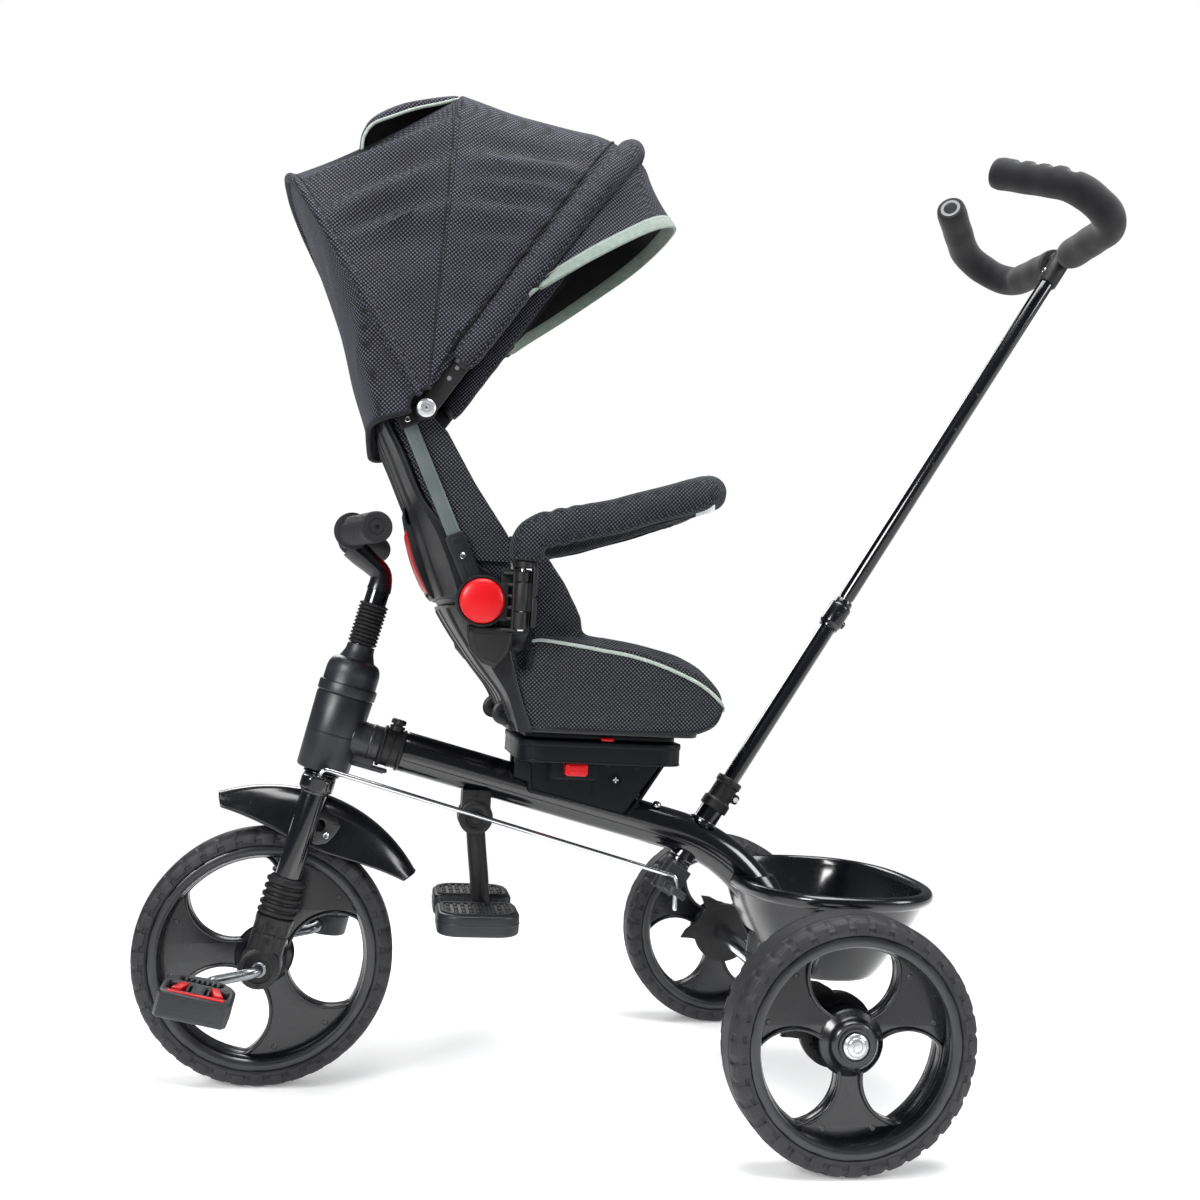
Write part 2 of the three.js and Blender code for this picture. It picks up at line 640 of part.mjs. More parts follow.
function gripOn(y0, y1) {
  const [from, to] = [alongGrip(y0), alongGrip(y1)];
  const length = from.distanceTo(to);
  const bore = barRadius + 0.6;
  const end = length - 3;
  const outline = [[bore, 0], [17.5, 0], [17.5, 4], [gripRadius, 6], [gripRadius, length - 2],
    [gripRadius - 2, length],
    [0, length], [0, end], [bore, end], [bore, 0]];
  const grip = turnedY(outline, 14);
  grip.applyQuaternion(new THREE.Quaternion().setFromUnitVectors(point(0, 1, 0), to.sub(from).normalize()));
  return grip.translate(from.x, from.y, from.z);
}
placePair('handlebar_grip', gripOn(50, gripEnd), rubber, headGroup);

// The fender: an arched section carried round the front wheel, with a gusset down to each fork leg.
const fenderRadius = 163;
const fenderHalf = 30;
function fenderSection(angle, share) {
  const half = fenderHalf * (0.35 + 0.65 * Math.sin(Math.PI * (0.12 + 0.76 * share)));
  const drop = 20 * Math.sin(Math.PI * (0.08 + 0.84 * share));
  const steps = 6;
  const ring = [];
  for (const wall of [0, 2.5]) {
    const row = [];
    for (let i = 0; i <= steps; i += 1) {
      const across = -1 + (2 * i) / steps;
      const radius = fenderRadius - wall - drop * across ** 2;
      row.push(point(radius * Math.cos(angle), (half - wall) * across, radius * Math.sin(angle)));
    }
    ring.push(...(wall ? row.reverse() : row));
  }
  return ring;
}
const fenderFront = 108;
const fenderRear = 31;
const fenderRings = [];
for (let k = 0; k <= 10; k += 1) {
  fenderRings.push(fenderSection(turn(fenderFront + ((fenderRear - fenderFront) * k) / 10), k / 10));
}
const fenderShell = loft(fenderRings).translate(0, 0, frontRadius);
const gussetOutline = [[0, 150], [12, 152], [34, 140], [26, 122], [0, 112]];
const fenderGusset = plateXZ(gussetOutline, -29.5, -26.5).rotateY(turn(headAngle)).translate(0, 0,
  frontRadius);
const gussetBoss = rod(fromHead(4, -28, 130), fromHead(4, -forkLegSpread + 4, 130), 7, 10);
const legClear = rod(fromHead(0, -forkLegSpread, 40), fromHead(0, -forkLegSpread, 180),
  forkLegRadius + SEAT_GAP, 16);
const crownClear = plateXY(roundedBox(-17, 17, -60, 60, 12, 3), crownHeight - 1, crownHeight + 60)
  .rotateY(turn(headAngle)).translate(0, 0, frontRadius);
place('fender', cut(join(fenderShell, bothSides(join(fenderGusset, gussetBoss))), legClear,
  mirrored(legClear), crownClear),
  glossBlack);

// ---- Steering linkage ----
const leverReach = rodSide + 6;
const rodFront = fromHead(0, -rodSide, crownHeight + 4);
const rodTop = fromHead(0, -rodSide, crownHeight + crownThickness + 9);
const leverAt = -52; // of the lever's eye along the pole, under the main tube
const rodEye = fromPole(0, -rodSide, leverAt);
const rodKnots = [rodFront, rodTop, rodEye.clone().add(point(0, 0, 14)),
  rodEye.clone().add(point(0, 0, -17))];
place('steering_rod', swept(roundCorners(rodKnots, 6, 3), circle(rodRadius, 8)), chrome);

const eyeClearance = 4.5;
const leverHub = rod(point(0, 0, leverAt - 9), point(0, 0, socketLow - RUN_GAP), socketRadius, 18);
const leverArm = plateXY(roundedBox(-10, 10, -leverReach - 6, 4, 6, 3), leverAt - 4, leverAt + 3);
const leverCheek = block(-16, 7, -rodSide + 10, -rodSide + 16, leverAt - 6, leverAt + 22);
const leverEye = rod(point(0, -rodSide, leverAt - 30), point(0, -rodSide, leverAt + 30),
  rodRadius + eyeClearance, 12);
const leverEyeWorld = rod(rodEye.clone().add(point(0, 0, -30)), rodEye.clone().add(point(0, 0, 12)),
  rodRadius + eyeClearance, 12);
const leverPin = rod(point(0, 0, leverAt - 10), point(0, 0, 5), poleLowerRadius + SEAT_GAP, 18);
const intoPole = (geometry) => geometry.clone().translate(-poleX, 0, -poleZ).rotateY(-turn(poleLean));
place('steer_lever', cut(join(leverHub, leverArm, leverCheek), leverEye, intoPole(leverEyeWorld), leverPin),
  greyPlastic, poleGroup);

// ---- Parent's pole and handle ----
const poleFoot = leverAt - 9;
const collarLow = 258;
const lowerTube = turnedZ(ringProfile(poleUpperRadius + RUN_GAP, poleLowerRadius, poleFoot, poleLowerTop),
  18);
const poleCollar = turnedZ(ringProfile(poleUpperRadius + RUN_GAP, 11.5, collarLow, collarLow + 34), 18);
const collarScrew = rod(point(8, 0, collarLow + 17), point(17, 0, collarLow + 17), 4, 8);
place('pole_lower', join(lowerTube, poleCollar, collarScrew), glossBlack, poleGroup);

const upperFoot = 100;
place('pole_upper', rod(point(0, 0, upperFoot), point(0, 0, poleTop - 12), poleUpperRadius, 18), glossBlack,
  poleGroup);

const clampLow = socketHigh + SEAT_GAP;
const clampBody = turnedZ(ringProfile(poleLowerRadius + RUN_GAP, 13.5, clampLow, clampLow + 27), 18);
const clampSkirt = turnedZ(ringProfile(socketRadius + SEAT_GAP, 14.5, clampLow - 8, clampLow + 2), 18);
const clampLug = block(11, 24, -5, 5, clampLow + 6, clampLow + 20);
place('pole_clamp', join(clampBody, clampSkirt, clampLug), mattBlack, poleGroup);

// The handle is a C in the plane square to the pole, open to the front.
const handleRing = roundCorners([
  point(-handleReach, -62, poleTop), point(-62, -handleHalf - 8, poleTop), point(-4, -handleHalf, poleTop),
  point(0, -30, poleTop), point(0, 30, poleTop), point(-4, handleHalf, poleTop),
  point(-62, handleHalf + 8, poleTop),
  point(-handleReach, 62, poleTop),
], 42, 2);
const handleBarRadius = 8;
const handleHub = turnedZ([[0, poleTop - 34], [10.5, poleTop - 34], [10.5, poleTop + 4], [0, poleTop + 4]],
  16);
const hubBore = rod(point(0, 0, poleTop - 40), point(0, 0, poleTop - 12 + SEAT_GAP),
  poleUpperRadius + SEAT_GAP, 18);
place('handle_bar', cut(join(swept(handleRing, circle(handleBarRadius, 8)), handleHub), hubBore),
  glossBlack, poleGroup);
const gripKnots = handleRing.slice(0, handleRing.findIndex((p) => p.y > -29));
const foamStart = gripKnots[gripKnots.length - 1].clone().setY(-14);
const foamEnd = gripKnots[0].clone().addScaledVector(gripKnots[0].clone().sub(gripKnots[1]).normalize(), 6);
const foamTube = swept([foamEnd, ...gripKnots, foamStart], circle(handleFoamRadius, 10),
  circle(handleBarRadius + 1, 8));
place('handle_grip_left', foamTube, foam, poleGroup);
place('handle_grip_right', mirrored(foamTube), foam, poleGroup);

// ---- Seat base: a tray on a saddle that hugs the main tube ----
const traySide = trayWidth / 2;
const trayEnds = [seatAxisX - trayLength / 2, seatAxisX + trayLength / 2];
const tray = plateXY(roundedBox(trayEnds[0], trayEnds[1], -traySide, traySide, 22), trayBottom, trayTop);
const saddleFront = trayEnds[0] + 14;
const saddleRear = trayEnds[1] - 6;
const saddle = plateXZ([
  [saddleFront, trayBottom + 5], [saddleFront + 3, tubeZ(saddleFront + 3) - seatLift - 3],
  [saddleRear - 40, tubeZ(saddleRear - 40) - seatLift + 2], [saddleRear, trayBottom + 1],
  [saddleRear, trayBottom + 5],
], -27, 27);
const pocketFloor = trayBottom + 8;
const pocket = rod(point(seatAxisX, 0, pocketFloor), point(seatAxisX, 0, trayTop + 5),
  turntableRadius + RUN_GAP, 40);
const spigot = rod(point(seatAxisX, 0, pocketFloor - 4), point(seatAxisX, 0, trayTop - 3), 9, 20);
const baseClear = moved(tubeOuter(SEAT_GAP), 0, 0, -seatLift);
place('seat_base', cut(join(cut(join(tray, saddle), pocket), spigot), baseClear), mattBlack, seatGroup);

const plateTop = trayTop + 7;
const disc = rod(point(seatAxisX, 0, pocketFloor + RUN_GAP), point(seatAxisX, 0, trayTop + 3),
  turntableRadius, 40);
const topPlate = plateXY(roundedBox(trayEnds[0] + 6, trayEnds[1] - 6, -78, 78, 16), trayTop + RUN_GAP,
  plateTop);
const tabX = [304, 317];
const tabSlot = block(tabX[0] - RUN_GAP, tabX[1] + RUN_GAP, -90, -58, trayTop, plateTop - 3);
const spigotBore = rod(point(seatAxisX, 0, pocketFloor - 5), point(seatAxisX, 0, trayTop - 3 + RUN_GAP),
  9 + RUN_GAP, 20);
place('turntable', cut(join(disc, topPlate), spigotBore, tabSlot), mattBlack, seatGroup);
place('release_tab', block(tabX[0], tabX[1], -85, -64, trayTop + RUN_GAP, plateTop - 3 - SEAT_GAP), red,
  seatGroup);

const buttonX = 283;
const buttonHalf = 11;
place('swivel_button', plateXZ(roundedBox(buttonX - buttonHalf, buttonX + buttonHalf, trayBottom - 13,
  trayBottom - SEAT_GAP, 3, 3), -80, -62), red, seatGroup);

// ---- Seat shell: a pan under the cushion and a tub behind it ----
// The shell's rear face along the middle, from the pan up to the top of the backrest.
const shellLine = [[352, 220], [362, 216], [385, 206], [412, 181], [443, 158], [466, 143], [503, 127],
  [530, 118],
  [556, 110], [592, 94], [632, 76]];
const flangeLine = [[352, 235], [385, 222], [412, 214], [443, 206], [469, 203], [492, 198], [503, 170],
  [530, 150],
  [565, 119], [600, 102], [632, 84]];
const cornerLine = [[352, 222], [385, 211], [412, 192], [443, 174], [469, 163], [503, 150], [530, 138],
  [565, 115],
  [600, 99], [632, 81]];

function readLine(line, z) {
  const upper = Math.max(1, line.findIndex(([at]) => at >= z));
  const i = line[line.length - 1][0] < z ? line.length - 1 : upper;
  const [z0, x0] = line[i - 1];
  const [z1, x1] = line[i];
  return x0 + ((x1 - x0) * (z - z0)) / (z1 - z0);
}

const bowShares = [-1, -0.85, -0.5, 0, 0.5, 0.85, 1];
function shellRow(z, inset) {
  const [middle, corner] = [readLine(shellLine, z), readLine(cornerLine, z)];
  return bowShares.map((share) => {
    const x = middle + (corner - middle) * Math.abs(share) ** 2.6;
    return point(x + inset, share * (shellHalf - inset), z);
  });
}

// A channel in plan: the bowed back and a flange down each side.
function shellRing(z) {
  const flange = Math.max(readLine(flangeLine, z), readLine(cornerLine, z) + 6);
  const outer = [point(flange, -shellHalf, z), ...shellRow(z, 0), point(flange, shellHalf, z)];
  const inner = [point(flange, -shellHalf + shellWall, z), ...shellRow(z, shellWall),
    point(flange, shellHalf - shellWall, z)];
  return [...outer, ...inner.reverse()];
}

const tubLevels = [352, 362, 385, 412, 443, 465];
const shellLevels = [471, 486, 503, 530, 556, 592, 632];
const tub = loft(tubLevels.map(shellRing));
const panFront = 396;
const pan = plateXY(roundedBox(215, panFront, -102, 102, 20), plateTop + SEAT_GAP, panTop);
const panClear = plateXY(roundedBox(trayEnds[0] - 4, panFront + 20, -130, 130, 4), 300, plateTop + SEAT_GAP);
const bossRound = 10; // of the boss that carries each recline hub
const bossClear = rod(point(reclineX, shellHalf - 8, reclineZ), point(reclineX, shellHalf + 8, reclineZ),
  bossRound + RUN_GAP, 20);
place('seat_shell', cut(join(tub, pan), panClear, bossClear, mirrored(bossClear)), mattBlack, seatGroup);

const hubBoss = rod(point(reclineX, shellHalf - 1.5, reclineZ), point(reclineX, hubInner + 1, reclineZ),
  bossRound, 20);
const leverHalf = 30;
const housingFace = (z) => readLine(shellLine, z) - 2 - 3 * Math.sin((Math.PI * (z - 466)) / 98);
const housing = loft([471, 486, 503, 530, 548, 558].map((z) => {
  const inner = readLine(shellLine, z) + 0.8;
  const outer = housingFace(z);
  return [point(outer, -leverHalf - 9, z), point(outer, leverHalf + 9, z), point(inner, leverHalf + 12, z),
    point(inner, -leverHalf - 12, z)];
}));
const leverPocket = block(60, 190, -leverHalf - RUN_GAP, leverHalf + RUN_GAP, 474, 540);
const shellFront = loft(shellLevels.map((z) => [
  ...shellRow(z, shellWall / 2), point(readLine(cornerLine, z) + 120, shellHalf - 2, z),
  point(readLine(cornerLine, z) + 120, -shellHalf + 2, z)]));
const housingShell = cut(housing, common(leverPocket, housing.clone().translate(-4, 0, 0)));
// ---- Recline hubs, struts and the fixed side arms ----
const hubOuter = hubInner + hubWidth;
const strutTopAt = [104, 633]; // X and Z of the strut's upper end, beside the canopy's pivot
const strutLean = Math.atan2(reclineX - strutTopAt[0], strutTopAt[1] - reclineZ);
const upStrut = (distance, across = 0) => [
  reclineX - Math.sin(strutLean) * distance + Math.cos(strutLean) * across,
  reclineZ + Math.cos(strutLean) * distance + Math.sin(strutLean) * across];
const quad = (from, to, half) => [upStrut(from, -half), upStrut(from, half), upStrut(to, half),
  upStrut(to, -half)];
const socketEnd = 66;
const hubDisc = rod(point(reclineX, hubInner, reclineZ), point(reclineX, hubOuter, reclineZ), hubRadius, 20);
const hubArm = plateXZ(quad(8, socketEnd, strutWidth / 2 + 2.5), hubInner, hubOuter);
const strutSlot = plateXZ(quad(34, socketEnd + 5, strutWidth / 2 + SEAT_GAP), hubInner + 1.5 - SEAT_GAP,
  hubOuter - 1 + SEAT_GAP);
const hub = cut(join(hubBoss, hubDisc, hubArm), strutSlot);
const upright = turn(reclineSwing + 2);
const swingClear = plateXZ([[reclineX - 6, 466], [reclineX + 60, 466],
  [reclineX + 60, 472 + 60 * Math.tan(upright)], [reclineX, 472]], -shellHalf - 2, shellHalf + 2);
const backHull = cut(join(loft(shellLevels.map(shellRing)), cut(housingShell, shellFront)), swingClear);
place('back_shell', join(backHull, hub, mirrored(hub)), mattBlack, seatGroup);

const strutReach = Math.hypot(strutTopAt[0] - reclineX, strutTopAt[1] - reclineZ);
const strutBar = plateXZ(quad(34 + SEAT_GAP, strutReach - 11, strutWidth / 2), hubInner + 1.5, hubOuter - 1);
const strutTop = join(
  plateXZ(quad(strutReach - 11.5, strutReach + 6, strutWidth / 2 + 2), hubInner + 1, hubOuter),
  plateXZ([upStrut(strutReach - 8, 2), [canopyX, canopyZ - 8], [canopyX, canopyZ + 8],
  upStrut(strutReach + 6, 2)],
    hubInner + 1, hubOuter),
  rod(point(canopyX, hubInner + 1, canopyZ), point(canopyX, hubOuter, canopyZ), 8, 16));
const rivetRadius = 3;
const stackStart = hubOuter + SEAT_GAP;
const wireRadius = 2; // of the middle hoop
const eyeWidth = 2 * wireRadius;
const fittingStart = stackStart + eyeWidth + SEAT_GAP;
const rivetHead = fittingStart + 6 + SEAT_GAP;
const rivet = turnedY([[0, hubOuter - 1], [rivetRadius, hubOuter - 1], [rivetRadius, rivetHead],
  [8.5, rivetHead],
  [8.5, rivetHead + 2], [7, rivetHead + 3], [0, rivetHead + 3]], 16).translate(canopyX, 0, canopyZ);
const pivotHole = rod(point(canopyX, 90, canopyZ), point(canopyX, 170, canopyZ), rivetRadius + SEAT_GAP, 12);
placePair('strut', join(strutBar, strutTop, rivet), aluminium, seatGroup);

const housingInner = hubOuter + RUN_GAP;
const housingOuter = housingInner + housingWidth;
const armInner = shellHalf + SEAT_GAP;
const armOutline = [[reclineX - 12, 447], [reclineX - 8, 425], [reclineX + 3, 412], [reclineX + 16, 408],
  [reclineX + 28, 424], [reclineX + 30, 447]];
const armBlock = plateXZ(armOutline, armInner, housingOuter);
const webX = reclineX + hubRadius + 3;
const web = block(webX, barrelX - barrelRadius + 1, armInner, housingOuter, 440, barrelTop - 6);
const lug = block(webX + 1, barrelX, housingOuter - 2, barrelY, barrelBottom, barrelTop - 6);
const ring = rod(point(reclineX, housingInner, reclineZ), point(reclineX, housingOuter, reclineZ),
  housingRadius, 20);
const bridge = block(reclineX, webX + 2, housingInner, housingOuter, reclineZ - 18, reclineZ + 18);
const capPocket = rod(point(reclineX, housingOuter - 5, reclineZ),
  point(reclineX, housingOuter + 9, reclineZ),
  capRadius + RUN_GAP, 20);
const hubClear = rod(point(reclineX, armInner - 1, reclineZ), point(reclineX, housingInner, reclineZ),
  hubRadius + RUN_GAP, 20);
const barrelPart = (low, high) => rod(point(barrelX, barrelY, low), point(barrelX, barrelY, high),
  barrelRadius, 12);
const knuckleLow = 461;
const knuckleHigh = 487;
const knuckleClear = block(barrelX - barrelRadius - 1, barrelX + 12, housingOuter - 3, barrelY + 12,
  knuckleLow - RUN_GAP, knuckleHigh + RUN_GAP);
const pinRadius = 2.5;
const pinHole = rod(point(barrelX, barrelY, 430), point(barrelX, barrelY, 520), pinRadius + SEAT_GAP, 12);
const sideArm = cut(join(armBlock, web, lug, ring, bridge, barrelPart(barrelBottom, barrelTop - 6)),
  capPocket, hubClear, knuckleClear, pinHole);
placePair('side_arm', sideArm, mattBlack, seatGroup);

const capSeat = housingOuter - 5 + 4.5;
const redCap = turnedY([[0, capSeat], [capRadius, capSeat], [capRadius, capSeat + 4],
  [capRadius * 0.8, capSeat + 6.5],
  [0, capSeat + 8.6]], 20).translate(reclineX, 0, reclineZ);
placePair('side_cap', redCap, red, seatGroup);

// ---- Cushion and pads ----
// The cushion's outline from the side, sewn under the nose and up to the crown.
const cushionOutline = [[226, 353], [300, 352], [394, 354], [415, 364], [426, 380], [421, 397], [401, 413],
  [371, 425],
  [330, 434], [280, 440], [238, 442], [226, 438]];
const cushionMiddle = [320, 398];
const cushionRings = [-1, -0.97, -0.85, -0.5, 0, 0.5, 0.85, 0.97, 1].map((share) => {
  const nose = 1 - 0.05 * Math.abs(share) ** 4;
  const squeeze = Math.abs(share) > 0.9 ? 0.95 : 1;
  const grow = squeeze + 0.035 * (1 - share ** 2);
  return cushionOutline.map(([x, z]) => point(
    Math.max(226, cushionMiddle[0] + (x - cushionMiddle[0]) * grow * (x > 320 ? nose : 1)),
    share * cushionHalf,
    Math.max(352, cushionMiddle[1] + (z - cushionMiddle[1]) * grow)));
});
const panRoom = plateXY(roundedBox(210, panFront + SEAT_GAP, -102.5, 102.5, 20), 340, panTop + SEAT_GAP);
const bolsterOutline = [[228, 434], [276, 430], [281, 452], [262, 486], [240, 517], [228, 521]];
const bolster = plateXZ(bolsterOutline, 82, 100);
const tubClear = loft([352, 385, 412, 443, 466].map((z) => [
  point(100, -shellHalf - 2, z), point(readLine(flangeLine, z) + 1, -shellHalf - 2, z),
  point(readLine(flangeLine, z) + 1, shellHalf + 2, z), point(100, shellHalf + 2, z)]));
const lining = loft([panTop + SEAT_GAP, 385, 412, 438].map((z) => {
  const inset = shellWall + SEAT_GAP * 2;
  const front = readLine(flangeLine, z) + 4;
  return [...shellRow(z, inset), point(front, shellHalf - inset, z),
    point(front, inset - shellHalf, z)].reverse();
}));
place('seat_cushion', join(cut(loft(cushionRings), panRoom, tubClear), lining, bolster, mirrored(bolster)),
  fabric, seatGroup);

const padRings = (levels) => levels.map((z) => {
  const back = shellWall + SEAT_GAP * 2;
  const wing = Math.min(222, readLine([[340, 222], [500, 214], [531, 204], [576, 172], [622, 144],
    [648, 116]], z));
  const half = shellHalf - back;
  const outer = shellRow(z, back);
  const inner = shellRow(z, back).map((p, i) => point(
    Math.min(p.x + padWall - 8 * Math.abs(bowShares[i]), wing - 2), p.y * ((half - 13) / half), z));
  return [point(wing, -half, z), ...outer, point(wing, half, z), point(wing, half - 13, z),
    ...inner.reverse(), point(wing, -half + 13, z)].reverse();
});
place('back_pad', loft(padRings([486, 503, 530, 556, 592, 632, 640])), fabric, seatGroup);

const leverRings = [477, 490, 503, 517, 530, 538].map((z) => {
  const face = housingFace(z);
  const back = readLine(shellLine, z) - 3.2 - RUN_GAP;
  return [point(face - 2, -leverHalf, z), point(face - 2, leverHalf, z), point(back, leverHalf, z),
    point(back, -leverHalf, z)];
});
place('recline_lever', loft(leverRings), red, seatGroup);

// ---- Canopy ----
// An arch in a plane through the canopy's pivots: distance from the pivot up to its crown, and half-width.
function arch({ angle, reach, half, shift = 0, start = 16, steps = 12, power = 2.9 }) {
  const a = turn(angle);
  const points = [];
  for (let i = 0; i <= steps; i += 1) {
    const lean = -1 + (2 * i) / steps;
    const edge = Math.asin(Math.min(1, (start / reach) ** (power / 2)));
    const swing = edge + (Math.PI / 2 - edge) * (1 - Math.abs(lean) ** 1.25);
    const rho = reach * Math.sin(swing) ** (2 / power);
    const y = Math.sign(lean) * half * Math.max(0, Math.cos(swing)) ** (2 / power);
    points.push(point(
      canopyX + rho * Math.cos(a) - shift * Math.sin(a),
      y,
      canopyZ + rho * Math.sin(a) + shift * Math.cos(a)));
  }
  return points;
}
const canopyRing = (spec) => [
  ...arch(spec), ...arch({ ...spec, reach: spec.reach - canopyWall,
  half: spec.half - canopyWall }).reverse()];

// The roof runs straight from the rear corner to the middle hoop and on to the front hoop.
const middleReach = 326;
const rearCorner = [122, 268];
const middleAt = [middleAngle, middleReach];
const frontAt = [hoopAngle, hoopReach];
const polar = ([angle, reach]) => [reach * Math.cos(turn(angle)), reach * Math.sin(turn(angle))];
function between(from, to, share) {
  const [p, q] = [polar(from), polar(to)];
  const [x, z] = [p[0] + (q[0] - p[0]) * share, p[1] + (q[1] - p[1]) * share];
  return [(Math.atan2(z, x) * 180) / Math.PI, Math.hypot(x, z)];
}
const rearFace = [[198, 55, 6], [190, 54, 6], [170, 61, 5], [148, 86, 4], [133, 128, 3.4], [125.5, 190, 3]];
const rearRoof = [0, 0.35, 0.7].map((share) => between(rearCorner, middleAt, share));
const rearRings = [...rearFace, ...rearRoof].map(([angle, reach, power]) => canopyRing({
  angle, reach, power: power ?? 2.9, half: canopyHalf - 4,
}));
rearRings.push(canopyRing({ angle: middleAngle, reach: middleReach, half: canopyHalf, shift: SEAT_GAP }));
// The vent hood is a raised flap over the roof, open at its two sides.
const hoodHalf = 70;
const hoodCrown = [[106, 276], [104.9, 289], [102.4, 302], [97.6, 312], [93, 319], [88.5, 324], [87.2, 325]];
const hoodRings = hoodCrown.map(([angle, reach]) => {
  const row = (radius) => [-1, -0.6, 0, 0.6, 1].map((share) => {
    const lower = (1 - Math.abs((share * hoodHalf) / canopyHalf) ** 2.9) ** (1 / 2.9);
    return fromCanopy(radius * lower, share * hoodHalf, angle);
  });
  return [...row(reach), ...row(reach - canopyWall).reverse()];
});
const hood = loft(hoodRings);
place('canopy_rear', join(loft(rearRings), hood), fabric, seatGroup);

const padClear = hoopPadRadius + 1.2; // from the front hoop's middle to the fabric behind it
const frontRings = [0.15, 0.4, 0.7].map((share) => {
  const [angle, reach] = between(middleAt, frontAt, share);
  return canopyRing({ angle, reach, half: canopyHalf, shift: padClear * share ** 1.4 });
});
frontRings.unshift(canopyRing({ angle: middleAngle, reach: middleReach, half: canopyHalf,
  shift: -SEAT_GAP }));
frontRings.push(canopyRing({ angle: hoopAngle, reach: hoopReach, half: canopyHalf, shift: padClear }));
place('canopy_front', loft(frontRings), fabric, seatGroup);

const wireEye = cut(rod(point(canopyX, stackStart, canopyZ), point(canopyX, stackStart + eyeWidth, canopyZ),
  7, 14), pivotHole);
const wireGap = 0.8; // under the fabric it carries
const wireSpec = { angle: middleAngle, reach: middleReach - canopyWall - wireRadius - wireGap };
const wireArch = arch({ ...wireSpec, half: canopyHalf - canopyWall - wireRadius - 5, start: 178,
  steps: 10 });
const wireFoot = (side, distance) => fromCanopy(distance, side * (stackStart + wireRadius), middleAngle);
function fromCanopy(distance, y, angle) {
  return point(canopyX + distance * Math.cos(turn(angle)), y, canopyZ + distance * Math.sin(turn(angle)));
}
const wireInner = canopyHalf - 2 * hoopPadRadius - wireRadius - 3; // so that it folds inside the padded hoop
const wireRise = (side, distance) => fromCanopy(distance, side * wireInner, middleAngle);
const wire = swept([
  wireFoot(-1, 5), wireFoot(-1, 22), wireRise(-1, 40), wireRise(-1, 150), ...wireArch,
  wireRise(1, 150), wireRise(1, 40), wireFoot(1, 22), wireFoot(1, 5),
], circle(wireRadius, 5));
const eyeHoles = [pivotHole, mirrored(pivotHole)];
place('middle_hoop', cut(join(wireEye, mirrored(wireEye), wire), ...eyeHoles), aluminium, seatGroup);

const hoopHalf = canopyHalf - hoopPadRadius;
const hoopArch = arch({ angle: hoopAngle, reach: hoopReach - hoopPadRadius + 4, half: hoopHalf, start: 54,
  steps: 14 });
const hoopPad = swept(hoopArch, circle(hoopPadRadius, 8));
const fitting = (side) => {
  const along = [8, 58].map((d) => [-9, 9].map((w) => [
    canopyX + d * Math.cos(turn(hoopAngle)) - w * Math.sin(turn(hoopAngle)),
    canopyZ + d * Math.sin(turn(hoopAngle)) + w * Math.cos(turn(hoopAngle))]));
  const arm = plateXZ([along[0][0], along[0][1], along[1][1], along[1][0]], fittingStart, fittingStart + 6);
  const eye = rod(point(canopyX, fittingStart, canopyZ), point(canopyX, fittingStart + 6, canopyZ), 10, 16);
  const bridge = rod(fromCanopy(55, fittingStart, hoopAngle), fromCanopy(55, hoopHalf, hoopAngle), 5, 8);
  const whole = cut(join(arm, eye, bridge), pivotHole);
  return side > 0 ? whole : mirrored(whole);
};
place('front_hoop', join(hoopPad, fitting(1), fitting(-1)), fabric, seatGroup);

// The visor: a curved sheet from the front hoop to a lower, forward edge.
const visorFoot = point(196, 0, 740);
const visorTip = point(364, 0, 857);
const visorHalf = canopyHalf - 2.5;
const visorWall = 2.5;
function visorEdge(inset) {
  const along = visorTip.clone().sub(visorFoot);
  const length = along.length() - inset;
  along.normalize();
  const steps = 12;
  const edge = [];
  for (let i = 0; i <= steps; i += 1) {
    const swing = (Math.PI * i) / steps;
    const q = length * Math.sin(swing) ** (2 / 2.4);
    const y = -Math.sign(Math.cos(swing)) * (visorHalf - inset) * Math.abs(Math.cos(swing)) ** (2 / 2.4);
    edge.push(visorFoot.clone().addScaledVector(along, q).setY(y));
  }
  return edge;
}
const visorClear = hoopPadRadius + 0.9;
const visorStart = Math.hypot(visorFoot.x - canopyX, visorFoot.z - canopyZ) - 4;
const visorArch = (inset) => arch({
  angle: hoopAngle, reach: hoopReach - 2 - inset, half: visorHalf - inset, shift: -visorClear,
    start: visorStart, steps: 12,
});
const visorRings = [0, 0.5, 1].map((share) => {
  const row = (inset) => {
    const edge = visorEdge(inset);
    return visorArch(inset).map((p, i) => p.lerp(edge[i], share));
  };
  return [...row(0), ...row(visorWall).reverse()];
});
place('visor', loft(visorRings), fabric, seatGroup);

// ---- Bumper bar: a padded U that swings out about the left barrel ----
const postBase = barrelTop + 3;
const postKnots = [point(barrelX + 2, -barrelY, postBase - 2), point(barrelX + 4, -barrelY, 532),
  point(300, -barrelY + 4, 553), point(bumperReach, -barrelY + 16, 586),
  point(bumperReach, barrelY - 16, 586), point(300, barrelY - 4, 553), point(barrelX + 4, barrelY, 532),
  point(barrelX + 2, barrelY, postBase - 2)];
const bumperKnots = roundCorners(postKnots, 50, 2);
const sleeveKnots = [...bumperKnots];
const sleeveStart = (foot, next) => foot.clone().lerp(next, 4 / (next.z - foot.z));
const lastKnot = bumperKnots.length - 1;
sleeveKnots[0] = sleeveStart(bumperKnots[0], bumperKnots[1]);
sleeveKnots[lastKnot] = sleeveStart(bumperKnots[lastKnot], bumperKnots[lastKnot - 1]);
place('bumper_sleeve', swept(sleeveKnots, circle(bumperPadRadius, 10), circle(bumperBarRadius + 1, 8)),
  fabric, seatGroup);

